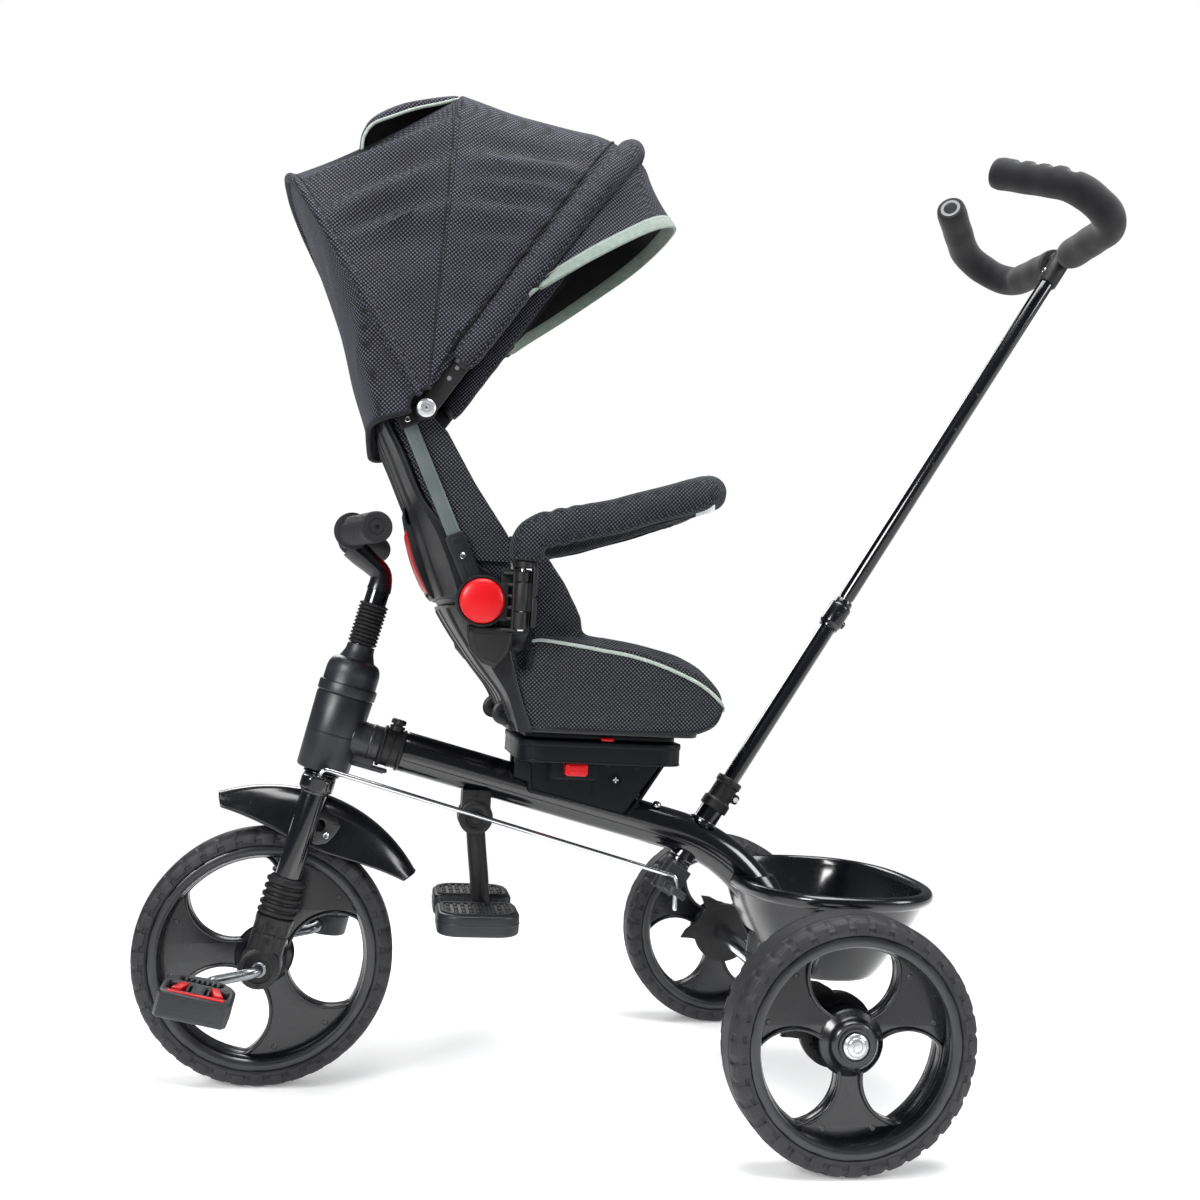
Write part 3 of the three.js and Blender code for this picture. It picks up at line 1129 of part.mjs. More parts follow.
const faceX = barrelX + barrelRadius + 1;
const facePlate = block(faceX, faceX + 5, barrelY - 8, barrelY + 8, barrelBottom + 2, postBase - 2);
const postCap = rod(point(barrelX + 2, barrelY, barrelTop - 3), point(barrelX + 2, barrelY, postBase), 9,
  12);
const capBridge = block(barrelX + 2, faceX + 5, barrelY - 8, barrelY + 8, barrelTop - 3, postBase);
const knuckle = rod(point(barrelX, barrelY, knuckleLow), point(barrelX, barrelY, knuckleHigh), barrelRadius,
  12);
const knuckleBridge = block(barrelX + 3, faceX + 2, barrelY - 5, barrelY + 5, knuckleLow, knuckleHigh);
const pin = rod(point(barrelX, barrelY, barrelBottom), point(barrelX, barrelY, barrelTop - 1), pinRadius,
  12);
const hingeKnuckle = join(facePlate, postCap, capBridge, knuckle, knuckleBridge, pin);
const catchTongue = block(barrelX + 2, faceX + 2, barrelY - 5, barrelY + 5, knuckleLow + 3, knuckleHigh - 3);
const catchPlate = join(facePlate, postCap, capBridge, catchTongue);
const bumperTube = swept(bumperKnots, circle(bumperBarRadius, 8));
place('bumper_bar', join(bumperTube, mirrored(hingeKnuckle), catchPlate), mattBlack, seatGroup);

// ---- Basket hooked on the main tube behind the seat ----
const basketX = [wheelbase - basketBefore, wheelbase + basketBehind];
const basketHalf = 130;
function basketRing(z, share, inset) {
  const front = basketX[0] + 74 * share + inset;
  const rear = basketX[1] - 46 * share - inset;
  const half = basketHalf - 34 * share - inset;
  const middle = (front + rear) / 2;
  const count = 20;
  const ring = [];
  for (let i = 0; i < count; i += 1) {
    const a = (2 * Math.PI * i) / count;
    const x = middle + ((rear - front) / 2) * Math.sign(Math.cos(a)) * Math.abs(Math.cos(a)) ** 0.8;
    ring.push(point(x, half * Math.sign(Math.sin(a)) * Math.abs(Math.sin(a)) ** 0.8, z));
  }
  return ring;
}
const basketOuter = loft([[basketBottom, 1.12], [basketBottom + 12, 0.93], [basketRim - 40, 0.4],
  [basketRim - 13, 0.12],
  [basketRim - 12, -0.02], [basketRim, 0]].map(([z, share]) => basketRing(z, share, 0)));
const basketInner = loft([[basketBottom + basketWall, 1.12], [basketBottom + 14, 0.93],
  [basketRim - 40, 0.4],
  [basketRim + 2, 0.1]].map(([z, share]) => basketRing(z, share, basketWall)));
const tubeWrap = common(tubeOuter(basketWall + 1.2, 60), basketOuter);
const basketShell = join(cut(basketOuter, basketInner), tubeWrap);
const axleClear = rod(point(wheelbase, -150, rearRadius), point(wheelbase, 150, rearRadius),
  axleTubeRadius + 3, 16);
const yokeHalf = tubeWidth / 2 + 6;
const yokeClear = block(wheelbase - 26, wheelbase + 25.5, -yokeHalf - 1, yokeHalf + 1, rearRadius - 29,
  rearRadius + 59);
const tubeClear = tubeOuter(SEAT_GAP, 60);
place('basket', cut(basketShell, tubeClear, axleClear, yokeClear), glossBlack);

// ---- Axle yoke: cheeks beside the tube's lower end, closed round the axle ----
const cheekOutline = [[-18, 51], [18, 39], [24, 19], [16, -9], [0, -16], [-14, -11], [-22, 11]];
const cheek = plateXZ(cheekOutline.map(([x, z]) => [wheelbase + x, rearRadius + z]), -yokeHalf, yokeHalf);
const axleBore = rod(point(wheelbase, -40, rearRadius), point(wheelbase, 40, rearRadius),
  axleTubeRadius + SEAT_GAP, 16);
place('axle_yoke', cut(cheek, tubeOuter(SEAT_GAP, 4), axleBore), mattBlack);

// ---- Footrest ----
const earHalf = 17;
const saddleBlock = block(footrestX - 14, footrestX + 14, -earHalf, earHalf, footrestZ,
  tubeZ(footrestX + 14) - tubeHeight / 2 + 8);
const earDisc = rod(point(footrestX, -earHalf, footrestZ), point(footrestX, earHalf, footrestZ), 17, 24);
const postHalf = 9.5;
const postSlot = join(
  rod(point(footrestX, -postHalf - RUN_GAP, footrestZ), point(footrestX, postHalf + RUN_GAP, footrestZ),
  14.5, 24),
  block(footrestX - 20, footrestX + 24, -postHalf - RUN_GAP, postHalf + RUN_GAP, footrestZ - 30,
  footrestZ - 3),
  block(footrestX, footrestX + 24, -postHalf - RUN_GAP, postHalf + RUN_GAP, footrestZ - 4, footrestZ + 3));
const footPinHole = rod(point(footrestX, -30, footrestZ), point(footrestX, 30, footrestZ), 4 + SEAT_GAP, 14);
place('footrest_bracket', cut(join(saddleBlock, earDisc), postSlot, tubeOuter(SEAT_GAP), footPinHole),
  mattBlack);
const postFoot = footrestZ - 90.5;
const postX = 205;
const postEye = rod(point(footrestX, -postHalf, footrestZ), point(footrestX, postHalf, footrestZ), 13, 20);
const postBar = swept([point(footrestX, 0, footrestZ), point(postX - 2, 0, footrestZ - 64.5),
  point(postX, 0, postFoot)],
  oval(postHalf, 9.5, 14));
const footPin = rod(point(footrestX, -earHalf - 2, footrestZ), point(footrestX, earHalf + 2, footrestZ), 4,
  14);
const crossBar = rod(point(postX, -72, postFoot), point(postX, 72, postFoot), 6, 14);

const padX = [160, 238];
const padY = [18, 84];
const footPad = plateXY([
  ...arc(padX[0] + 22, padY[1] - 22, 22, 180, 90, 3), ...arc(padX[1] - 22, padY[1] - 22, 22, 90, 0, 3),
  ...arc(padX[1] - 8, padY[0] + 8, 8, 0, -90, 1), ...arc(padX[0] + 8, padY[0] + 8, 8, -90, -180, 1)],
postFoot - 12, postFoot + 10);
place('footrest', join(postEye, postBar, footPin, crossBar, footPad, mirrored(footPad)), mattBlack);

// ---- Origin on the ground, under the middle of the tricycle's box ----
tricycle.updateMatrixWorld(true);
const whole = new THREE.Box3().setFromObject(tricycle, true);
tricycle.position.x = -(whole.min.x + whole.max.x) / 2;

export default tricycle;
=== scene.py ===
"""Looks of a children's tricycle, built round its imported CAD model, in millimetres until a piece is made."""
import math

import bmesh
import bpy
import numpy as np
from mathutils import Matrix, Vector, geometry
from mathutils.bvhtree import BVHTree

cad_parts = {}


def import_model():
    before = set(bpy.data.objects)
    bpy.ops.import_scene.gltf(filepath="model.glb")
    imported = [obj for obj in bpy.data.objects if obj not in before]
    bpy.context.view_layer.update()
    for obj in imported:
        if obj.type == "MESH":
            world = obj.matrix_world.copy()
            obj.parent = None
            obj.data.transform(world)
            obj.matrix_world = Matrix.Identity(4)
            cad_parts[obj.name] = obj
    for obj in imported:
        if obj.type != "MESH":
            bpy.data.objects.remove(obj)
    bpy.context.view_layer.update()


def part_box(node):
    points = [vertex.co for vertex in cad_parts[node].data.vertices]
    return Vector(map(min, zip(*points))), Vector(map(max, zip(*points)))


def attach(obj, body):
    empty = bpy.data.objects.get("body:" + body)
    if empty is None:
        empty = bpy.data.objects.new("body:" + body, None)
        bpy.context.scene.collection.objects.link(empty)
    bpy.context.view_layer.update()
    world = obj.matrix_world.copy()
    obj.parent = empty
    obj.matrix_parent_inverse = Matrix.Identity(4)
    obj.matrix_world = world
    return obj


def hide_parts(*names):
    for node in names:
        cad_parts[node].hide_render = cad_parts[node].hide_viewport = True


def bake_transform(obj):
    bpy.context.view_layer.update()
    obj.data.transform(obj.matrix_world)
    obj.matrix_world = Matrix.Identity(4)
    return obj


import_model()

MM = 0.001
tyre_low, tyre_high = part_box("front_tyre")
AXLE_X = (tyre_low.x + tyre_high.x) / 2  # the front axle, from which the lengths below are counted
rad = math.radians

# ---- Sizes, as in the CAD model ----
FRONT_RADIUS, FRONT_WIDTH = 122, 45
REAR_RADIUS, REAR_WIDTH = 109, 50
TYRE_WALL = 16.5
WHEELBASE, REAR_TRACK = 506, 464
HEAD_ANGLE = 14
FRAME_HEIGHT = 222.7
POLE_LEAN, POLE_X, POLE_Z = 30.8, 418, 244
SEAT_X = 306
RECLINE_X, RECLINE_Z = 181, 469
CANOPY_X, CANOPY_Z = 122, 638
CANOPY_HALF = 148
SHELL_HALF = 116
HINGE_X, HINGE_Y = 216, 140  # the bumper's hinge


def at(x, y, z):
    return Vector((x, y, z))


def from_head(x, y, z):
    """A place counted from the front axle, back from the steering axis and up along it."""
    a = rad(HEAD_ANGLE)
    return at(x * math.cos(a) + z * math.sin(a), y, FRONT_RADIUS - x * math.sin(a) + z * math.cos(a))


def from_pole(x, y, z):
    """A place counted from the pole's foot, back from the pole and up along it."""
    a = rad(POLE_LEAN)
    return at(POLE_X + x * math.cos(a) + z * math.sin(a), y, POLE_Z - x * math.sin(a) + z * math.cos(a))


def plate_xz(u, v, w):
    return at(u, w, v)


def plate_head(u, v, w):
    return from_head(u, w, v)


def mirror(p):
    """The same place on the other side of the tricycle's middle."""
    return at(p.x, -p.y, p.z)


def across_middle(points):
    """The line followed by its mirror image, back to the other side."""
    return [*points, *(mirror(p) for p in reversed(points))]


HEAD_UP = from_head(0, 0, 1) - from_head(0, 0, 0)
HEAD_BACK = from_head(1, 0, 0) - from_head(0, 0, 0)
POLE_UP = from_pole(0, 0, 1) - from_pole(0, 0, 0)
POLE_BACK = from_pole(1, 0, 0) - from_pole(0, 0, 0)
X, Y, Z = at(1, 0, 0), at(0, 1, 0), at(0, 0, 1)
SIDES = ((-1, "left"), (1, "right"))


# ---- Geometry helpers ----
def arc(u, v, radius, start, end, steps):
    return [(u + radius * math.cos(rad(start + (end - start) * i / steps)),
             v + radius * math.sin(rad(start + (end - start) * i / steps))) for i in range(steps + 1)]


def oblong(u0, u1, v0, v1, radius, steps=5):
    """A rectangle with round corners, anticlockwise from its right-hand side."""
    u0, u1, v0, v1 = u0 + radius, u1 - radius, v0 + radius, v1 - radius
    corners = ((u1, v1), (u0, v1), (u0, v0), (u1, v0))
    return [p for k, (u, v) in enumerate(corners) for p in arc(u, v, radius, 90 * k, 90 * k + 90, steps)]


def round_corners(points, radius, steps=8):
    """The points with each inner corner replaced by an arc."""
    straight = 0.02  # radians
    out = [points[0].copy()]
    for before, corner, after in zip(points, points[1:], points[2:]):
        arriving, leaving = corner - before, after - corner
        room = min(arriving.length, leaving.length) * 0.49
        arriving, leaving = arriving.normalized(), leaving.normalized()
        bend = arriving.angle(leaving)
        if bend < straight:
            out.append(corner.copy())
            continue
        r = min(radius, room / math.tan(bend / 2))
        axis = arriving.cross(leaving).normalized()
        start = corner - arriving * r * math.tan(bend / 2)
        centre = start + axis.cross(arriving) * r
        for k in range(steps + 1):
            out.append(Matrix.Rotation(bend * k / steps, 3, axis) @ (start - centre) + centre)
    out.append(points[-1].copy())
    return out


def spline(points, steps):
    """A Catmull-Rom line from the second point to the last but one, as steps points for each gap."""
    out = []
    for a, b, c, d in zip(points, points[1:], points[2:], points[3:]):
        for k in range(steps):
            t = k / steps
            out.append(0.5 * ((2 * b) + (c - a) * t + (2 * a - 5 * b + 4 * c - d) * t * t
                              + (3 * b - a - 3 * c + d) * t * t * t))
    return [*out, points[-2].copy()]


def smooth_line(points, steps):
    """A smooth line through all of the points."""
    return spline([points[0] * 2 - points[1], *points, points[-1] * 2 - points[-2]], steps)


def eased(line, times):
    """The line with its small kinks taken out and its ends where they were."""
    for _ in range(times):
        inner = [(a + b * 2 + c) / 4 for a, b, c in zip(line, line[1:], line[2:])]
        line = [line[0], *inner, line[-1]]
    return line


def run_lengths(line):
    """How far along the line each of its points is."""
    out = [0.0]
    for a, b in zip(line, line[1:]):
        out.append(out[-1] + (b - a).length)
    return out


def resampled(points, spacing):
    """The line cut into equal steps of about this length."""
    lengths = run_lengths(points)
    count = max(2, round(lengths[-1] / spacing))
    out, i = [], 0
    for k in range(count + 1):
        reach = lengths[-1] * k / count
        while i < len(points) - 2 and lengths[i + 1] < reach:
            i += 1
        span = lengths[i + 1] - lengths[i] or 1
        out.append(points[i].lerp(points[i + 1], (reach - lengths[i]) / span))
    return out


def transported(points, side=None):
    """Two directions across the line at each of its points, which turn as little as they can."""
    last = len(points) - 1
    tangents = [(points[min(i + 1, last)] - points[max(i - 1, 0)]).normalized() for i in range(last + 1)]
    if side is None:
        side = Y if abs(tangents[0].dot(Y)) < 0.9 else X
    frames = []
    normal = (side - tangents[0] * side.dot(tangents[0])).normalized()
    for i, tangent in enumerate(tangents):
        if i:
            normal = tangents[i - 1].rotation_difference(tangent) @ normal
            normal = (normal - tangent * normal.dot(tangent)).normalized()
        frames.append((normal, tangent.cross(normal)))
    return frames


def offset_outline(outline, distance):
    """The outline moved inwards, where it runs anticlockwise, or outwards, where it runs clockwise."""
    moved, count = [], len(outline)
    for i, (u, v) in enumerate(outline):
        before, after = Vector(outline[i - 1]), Vector(outline[(i + 1) % count])
        here = Vector((u, v))
        a, b = (here - before), (after - here)
        if a.length < 1e-9 or b.length < 1e-9:
            moved.append((u, v))
            continue
        a, b = a.normalized(), b.normalized()
        inward = Vector((-a.y, a.x)) + Vector((-b.y, b.x))
        inward = inward.normalized() if inward.length > 1e-6 else Vector((-a.y, a.x))
        reach = distance / max(0.45, inward.dot(Vector((-a.y, a.x))))
        moved.append((u + inward.x * reach, v + inward.y * reach))
    return moved


def without_repeats(outline):
    kept = []
    for p in outline:
        if not kept or (Vector(p) - Vector(kept[-1])).length > 1e-4:
            kept.append(tuple(p))
    if (Vector(kept[0]) - Vector(kept[-1])).length < 1e-4:
        kept.pop()
    return kept


def signed_area(outline):
    return 0.5 * sum(a[0] * b[1] - b[0] * a[1] for a, b in zip(outline, outline[1:] + outline[:1]))


class Shape:
    """Faces in millimetres, each with the number of its paint, gathered for one object."""

    def __init__(self):
        self.points, self.faces, self.paints = [], [], []

    def add(self, points, faces, paint=0):
        """paint is one number, or a list with one for each face."""
        base = len(self.points)
        self.points.extend(Vector(p) for p in points)
        self.faces.extend(tuple(base + i for i in face) for face in faces)
        self.paints.extend(paint if isinstance(paint, list) else [paint] * len(faces))
        return self

    def both(self):
        """Adds the same faces on the other side of the tricycle's middle."""
        return self.add([mirror(p) for p in self.points], [face[::-1] for face in self.faces],
                        list(self.paints))

    def rings(self, rings, paint=0, caps=(True, True)):
        """Faces between rings with as many points each."""
        count = len(rings[0])
        points = [p for ring in rings for p in ring]
        faces = []
        for r in range(len(rings) - 1):
            for i in range(count):
                a, b = r * count + i, r * count + (i + 1) % count
                faces.append((a, b, b + count, a + count))
        if caps[0]:
            faces.append(tuple(reversed(range(count))))
        if caps[1]:
            faces.append(tuple(range((len(rings) - 1) * count, len(rings) * count)))
        return self.add(points, faces, paint)

    def tube(self, line, radius, sides=24, paint=0, ends="flat", side=None, other=None, swell=None):
        """A bar along a line, whose ends are flat, soft or round.

        radius counts towards side, and other at right angles to it. swell(share, angle) scales both.
        """
        frames = transported(line, side)
        other = radius if other is None else other
        lengths = run_lengths(line)

        def ring(i, scale, push=0.0):
            n, b = frames[i]
            middle = line[i] + n.cross(b) * push
            share = lengths[i] / lengths[-1]
            out = []
            for k in range(sides):
                a = 2 * math.pi * k / sides
                grow = scale * (swell(share, a) if swell else 1)
                out.append(middle + n * (radius * math.cos(a) * grow) + b * (other * math.sin(a) * grow))
            return out

        rings = [ring(i, 1) for i in range(len(line))]
        size = min(radius, other)
        if ends != "flat":
            deep, steps = (size, 5) if ends == "round" else (min(size * 0.25, 2.0), 3)
            for k in range(1, steps + 1):
                a = math.pi / 2 * k / steps
                inset = 1 - (1 - math.cos(a)) * deep / size
                if k == steps and ends == "round":
                    inset = 0.05
                rings.insert(0, ring(0, inset, -deep * math.sin(a)))
                rings.append(ring(len(line) - 1, inset, deep * math.sin(a)))
        return self.rings(rings, paint)

    def lathe(self, profile, centre, axis, sides=48, paint=0, wave=None):
        """A turned shape from (radius, height) pairs. wave(angle, i) moves the radius."""
        axis = axis.normalized()
        u = (X if abs(axis.x) < 0.9 else Z).cross(axis).normalized()
        v = axis.cross(u)
        closed = (Vector(profile[0]) - Vector(profile[-1])).length < 1e-6
        rings = []
        for i, (radius, height) in enumerate(profile):
            ring = []
            for k in range(sides):
                a = 2 * math.pi * k / sides
                r = max(0.0, radius + (wave(a, i) if wave else 0))
                ring.append(centre + axis * height + u * (r * math.cos(a)) + v * (r * math.sin(a)))
            rings.append(ring)
        caps = (not closed and profile[0][0] > 1e-6, not closed and profile[-1][0] > 1e-6)
        return self.rings(rings, paint, caps=caps)

    def turned(self, side, profile, centre, sides=48, paint=0):
        """A turned shape about a line along Y, whose heights count outwards on this side."""
        return self.lathe([(radius, height * side) for radius, height in profile], centre, Y, sides, paint)

    def plate(self, side, outline, low, high, place=plate_xz, **settings):
        """A slab whose thickness counts outwards along Y on this side."""
        return self.slab(outline, *sorted((low * side, high * side)), place, **settings)

    def slab(self, outline, low, high, place=at, holes=(), edge=1.0, paint=0, steps=3):
        """A plate with rounded edges. place turns (u, v, w) into a point, and w runs from low to high."""
        outline = without_repeats(outline)
        if signed_area(outline) < 0:
            outline = outline[::-1]
        holes = [without_repeats(h) for h in holes]
        holes = [h[::-1] if signed_area(h) > 0 else h for h in holes]
        edge = min(edge, (high - low) / 2 - 1e-3)
        way = []
        for k in range(steps + 1):
            a = math.pi / 2 * k / steps
            way.append((edge * (1 - math.sin(a)), low + edge * (1 - math.cos(a))))
        way += [(inset, high - (w - low)) for inset, w in reversed(way)]
        for loop in [outline, *holes]:
            rings = [[place(u, v, w) for u, v in offset_outline(loop, inset)] for inset, w in way]
            self.rings(rings, paint, caps=(False, False))
        loops = [offset_outline(loop, edge) for loop in [outline, *holes]]
        flat = [p for loop in loops for p in loop]
        triangles = geometry.tessellate_polygon([[at(u, v, 0) for u, v in loop] for loop in loops])
        for w, turned in ((low, True), (high, False)):
            points = [place(u, v, w) for u, v in flat]
            self.add(points, [t[::-1] if turned else t for t in triangles], paint)
        return self

    def block(self, x0, x1, y0, y1, z0, z1, edge=1.0, paint=0):
        outline = oblong(x0, x1, y0, y1, min(edge * 1.5, (x1 - x0) / 2.01, (y1 - y0) / 2.01), 3)
        return self.slab(outline, z0, z1, edge=edge, paint=paint)

    def screw(self, centre, axis, radius=3.2, deep=1.6, paint=0, dark=1):
        """A countersunk head with a cross recess, drawn as a raised cross in the dark paint, which is mostly
        the painted recess shade.
        """
        axis = axis.normalized()
        self.lathe([(0, deep * 0.55), (radius * 0.35, deep * 0.6), (radius * 0.8, deep * 0.8),
                    (radius, deep * 0.35), (radius, -1)], centre, axis, 20, paint)
        u = (X if abs(axis.x) < 0.9 else Z).cross(axis).normalized()
        v = axis.cross(u)
        for a, b in ((u, v), (v, u)):
            corners = [centre + axis * (deep * h) + a * (radius * 0.55 * s) + b * (radius * 0.13 * t)
                       for h in (0.5, 0.86) for s, t in ((-1, -1), (1, -1), (1, 1), (-1, 1))]
            self.add(corners, [(3, 2, 1, 0), (4, 5, 6, 7), (0, 1, 5, 4), (1, 2, 6, 5), (2, 3, 7, 6),
                               (3, 0, 4, 7)], dark)
        return self


def world(p):
    return at(p.x * MM + AXLE_X, p.y * MM, p.z * MM)


def piece(name, shape, paints, body, nodes=(), smooth=38, slot=None):
    """Makes one object, which rides on a CAD body and stands for these CAD nodes."""
    mesh = bpy.data.meshes.new(name)
    mesh.from_pydata([world(p) for p in shape.points], [], shape.faces)
    for paint in paints:
        mesh.materials.append(paint)
    mesh.polygons.foreach_set("material_index", shape.paints)
    form = bmesh.new()
    form.from_mesh(mesh)
    bmesh.ops.remove_doubles(form, verts=form.verts, dist=1e-6)
    bmesh.ops.dissolve_degenerate(form, edges=form.edges, dist=1e-7)
    bmesh.ops.recalc_face_normals(form, faces=form.faces)
    form.to_mesh(mesh)
    form.free()
    mesh.shade_smooth()
    mesh.set_sharp_from_angle(angle=rad(smooth))
    obj = bpy.data.objects.new(name, mesh)
    bpy.context.scene.collection.objects.link(obj)
    if body:
        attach(obj, body)
    if nodes:
        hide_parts(*nodes)
    if paints:
        slot or SLOTS[paints[0].name]
    return obj


def grid_normals(grid, outward):
    """Unit normals of a grid of points, turned away from a point."""
    a = np.array([[tuple(p) for p in row] for row in grid])
    du, dv = np.gradient(a, axis=0), np.gradient(a, axis=1)
    n = np.cross(du, dv)
    n /= np.maximum(np.linalg.norm(n, axis=2, keepdims=True), 1e-9)
    away = a - np.array(tuple(outward))
    flip = np.sign((n * away).sum(axis=2, keepdims=True))
    flip[flip == 0] = 1
    return a, n * flip


def cloth_shape(grid, thick, outward, dark=None):
    """A closed sheet: the grid, its lining with the second paint, and its edges.

    dark(r, i) says which of the outer faces have the lining's paint too.
    """
    a, n = grid_normals(grid, outward)
    rows, cols = a.shape[:2]
    points = [Vector(p) for p in a.reshape(-1, 3)] + [Vector(p) for p in (a - n * thick).reshape(-1, 3)]
    faces, paints = [], []
    base = rows * cols
    for r in range(rows - 1):
        for i in range(cols - 1):
            q = (r * cols + i, r * cols + i + 1, (r + 1) * cols + i + 1, (r + 1) * cols + i)
            faces.append(q)
            paints.append(1 if dark and dark(r, i) else 0)
            faces.append(tuple(base + k for k in reversed(q)))
            paints.append(1)
    for r in range(rows - 1):
        for i, turn in ((0, 1), (cols - 1, -1)):
            q = (r * cols + i, (r + 1) * cols + i, base + (r + 1) * cols + i, base + r * cols + i)
            faces.append(q[::turn])
            paints.append(0)
    for i in range(cols - 1):
        for r, turn in ((0, -1), (rows - 1, 1)):
            q = (r * cols + i, r * cols + i + 1, base + r * cols + i + 1, base + r * cols + i)
            faces.append(q[::turn])
            paints.append(0)
    return Shape().add(points, faces, paints)


def grid_area(grid):
    a = np.array([[tuple(p) for p in row] for row in grid]) * MM
    d1, d2 = a[1:, 1:] - a[:-1, :-1], a[1:, :-1] - a[:-1, 1:]
    return float(np.linalg.norm(np.cross(d1, d2), axis=2).sum() / 2)


def declare_cloth(grid):
    """The flat cut is a rectangle round the panel laid out, with a seam allowance."""
    allowance = 0.02
    long = max(run_lengths(row)[-1] for row in grid) * MM + allowance
    wide = max(run_lengths(column)[-1] for column in zip(*grid)) * MM + allowance
    round(min(grid_area(grid), wide * long), 4)


def edged(value, low, high):
    """How far the value is on its way from low to high, from 0 to 1."""
    return min(1.0, max(0.0, (value - low) / (high - low)))


# ---- Materials ----
def colour(r, g, b):
    """A linear colour from one as seen on screen, 0 to 255."""
    return tuple(c / 255 / 12.92 if c < 10.3 else ((c / 255 + 0.055) / 1.055) ** 2.4
                 for c in (r, g, b)) + (1,)


def dimmed(tone, share):
    return tuple(c * share for c in tone[:3]) + (1,)


def lit(tone, share, lift=0.0):
    return tuple(min(1, c * share + lift) for c in tone[:3]) + (1,)


class Paint:
    """A procedural material, whose patterns are laid out in the piece's own millimetres."""

    def __init__(self, name):
        self.material = bpy.data.materials.new(name)
        self.material.use_nodes = True
        self.tree = self.material.node_tree
        self.shader = self.tree.nodes["Principled BSDF"]
        coordinates = self.tree.nodes.new("ShaderNodeTexCoord")
        self.normal = coordinates.outputs["Normal"]
        scaled = self.node("VectorMath", operation="SCALE")
        self.tree.links.new(coordinates.outputs["Object"], scaled.inputs[0])
        scaled.inputs["Scale"].default_value = 1000
        self.place = scaled.outputs[0]

    def node(self, kind, *values, **settings):
        made = self.tree.nodes.new("ShaderNode" + kind)
        for name, value in settings.items():
            setattr(made, name, value)
        for i, value in enumerate(values):
            self.feed(made.inputs[i], value)
        return made

    def feed(self, socket, value):
        if isinstance(value, bpy.types.NodeSocket):
            self.tree.links.new(value, socket)
        elif value is not None:
            socket.default_value = value

    def set(self, **values):
        for name, value in values.items():
            self.feed(self.shader.inputs[name.replace("_", " ").title().replace("Ior", "IOR")], value)
        return self

    def math(self, operation, a, b=0.0, clamp=False):
        return self.node("Math", a, b, 0.0, operation=operation, use_clamp=clamp).outputs[0]

    def spread(self, value, low, high, to_low=0.0, to_high=1.0, soft=False):
        made = self.node("MapRange", value, low, high, to_low, to_high)
        if soft:
            made.interpolation_type = "SMOOTHSTEP"
        return made.outputs[0]

    def noise(self, size, detail=2.0, rough=0.5, stretch=None):
        """Noise from 0 to 1 whose blots are about size millimetres across."""
        where = self.place
        if stretch:
            where = self.node("VectorMath", where, stretch, operation="MULTIPLY").outputs[0]
        made = self.node("TexNoise")
        self.feed(made.inputs["Vector"], where)
        self.feed(made.inputs["Scale"], 1 / size)
        self.feed(made.inputs["Detail"], detail)
        self.feed(made.inputs["Roughness"], rough)
        return made.outputs[0]

    def cells(self, size):
        made = self.node("TexVoronoi", feature="F1")
        self.feed(made.inputs["Vector"], self.place)
        self.feed(made.inputs["Scale"], 1 / size)
        return made.outputs["Distance"]

    def mix(self, share, a, b):
        made = self.node("Mix", data_type="RGBA")
        for i, value in ((0, share), (6, a), (7, b)):
            self.feed(made.inputs[i], value)
        return made.outputs[2]

    def bump(self, height, distance, strength=1.0, after=None):
        made = self.node("Bump")
        self.feed(made.inputs["Strength"], strength)
        self.feed(made.inputs["Distance"], distance * MM)
        self.feed(made.inputs["Height"], height)
        if after is not None:
            self.feed(made.inputs["Normal"], after)
        return made.outputs[0]

    def waves(self, pitch):
        """Cosines of the three places, and the share of each direction that the surface faces."""
        turned = self.node("VectorMath", self.place, operation="SCALE")
        turned.inputs["Scale"].default_value = 2 * math.pi / pitch
        parts = self.node("SeparateXYZ", turned.outputs[0]).outputs
        cosines = [self.math("COSINE", part) for part in parts]
        facing = self.node("SeparateXYZ", self.normal).outputs
        return cosines, [self.math("POWER", self.math("ABSOLUTE", part), 3.0) for part in facing]


def worn(name, tone, light, roughness, grain=0.0, grain_size=0.5, metallic=0.0, coat=0.0, blots=0.06,
         scratches=0.25, wear=0.5, specular=0.5, ripple=0.03):
    """Painted, moulded or plated stuff: a tone that wanders, fine grain, rubbed edges and faint scratches."""
    p = Paint(name)
    wander = p.noise(60, 3)
    fine = p.noise(grain_size, 2)
    edge = p.node("NewGeometry").outputs["Pointiness"]
    rubbed = p.math("MULTIPLY", p.spread(edge, 0.56, 0.68, soft=True), p.spread(p.noise(7, 4), 0.4, 0.7),
                    clamp=True)
    base = p.mix(p.spread(wander, 0.3, 0.7), tone, light)
    base = p.mix(p.math("MULTIPLY", rubbed, wear), base, lit(light, 2.2, 0.012))
    lines = p.noise(0.9, 2, 0.6, stretch=(1.0, 0.14, 0.14))
    lines = p.math("MULTIPLY", p.spread(lines, 0.66, 0.72), p.spread(p.noise(35, 1), 0.45, 0.65), clamp=True)
    rough = p.math("ADD", p.spread(wander, 0.3, 0.7, roughness - blots, roughness + blots),
                   p.math("MULTIPLY", lines, scratches))
    rough = p.math("ADD", rough, p.spread(p.noise(14, 4, 0.65), 0.35, 0.75, -blots * 0.5, blots))
    p.set(base_color=base, roughness=rough, metallic=metallic, coat_weight=coat, coat_roughness=0.12)
    p.feed(p.shader.inputs["Specular IOR Level"], specular)
    bumps = p.bump(p.noise(9, 2), ripple, 0.5)
    if grain:
        bumps = p.bump(fine, grain, 0.6, bumps)
    p.set(normal=bumps)
    return p.material


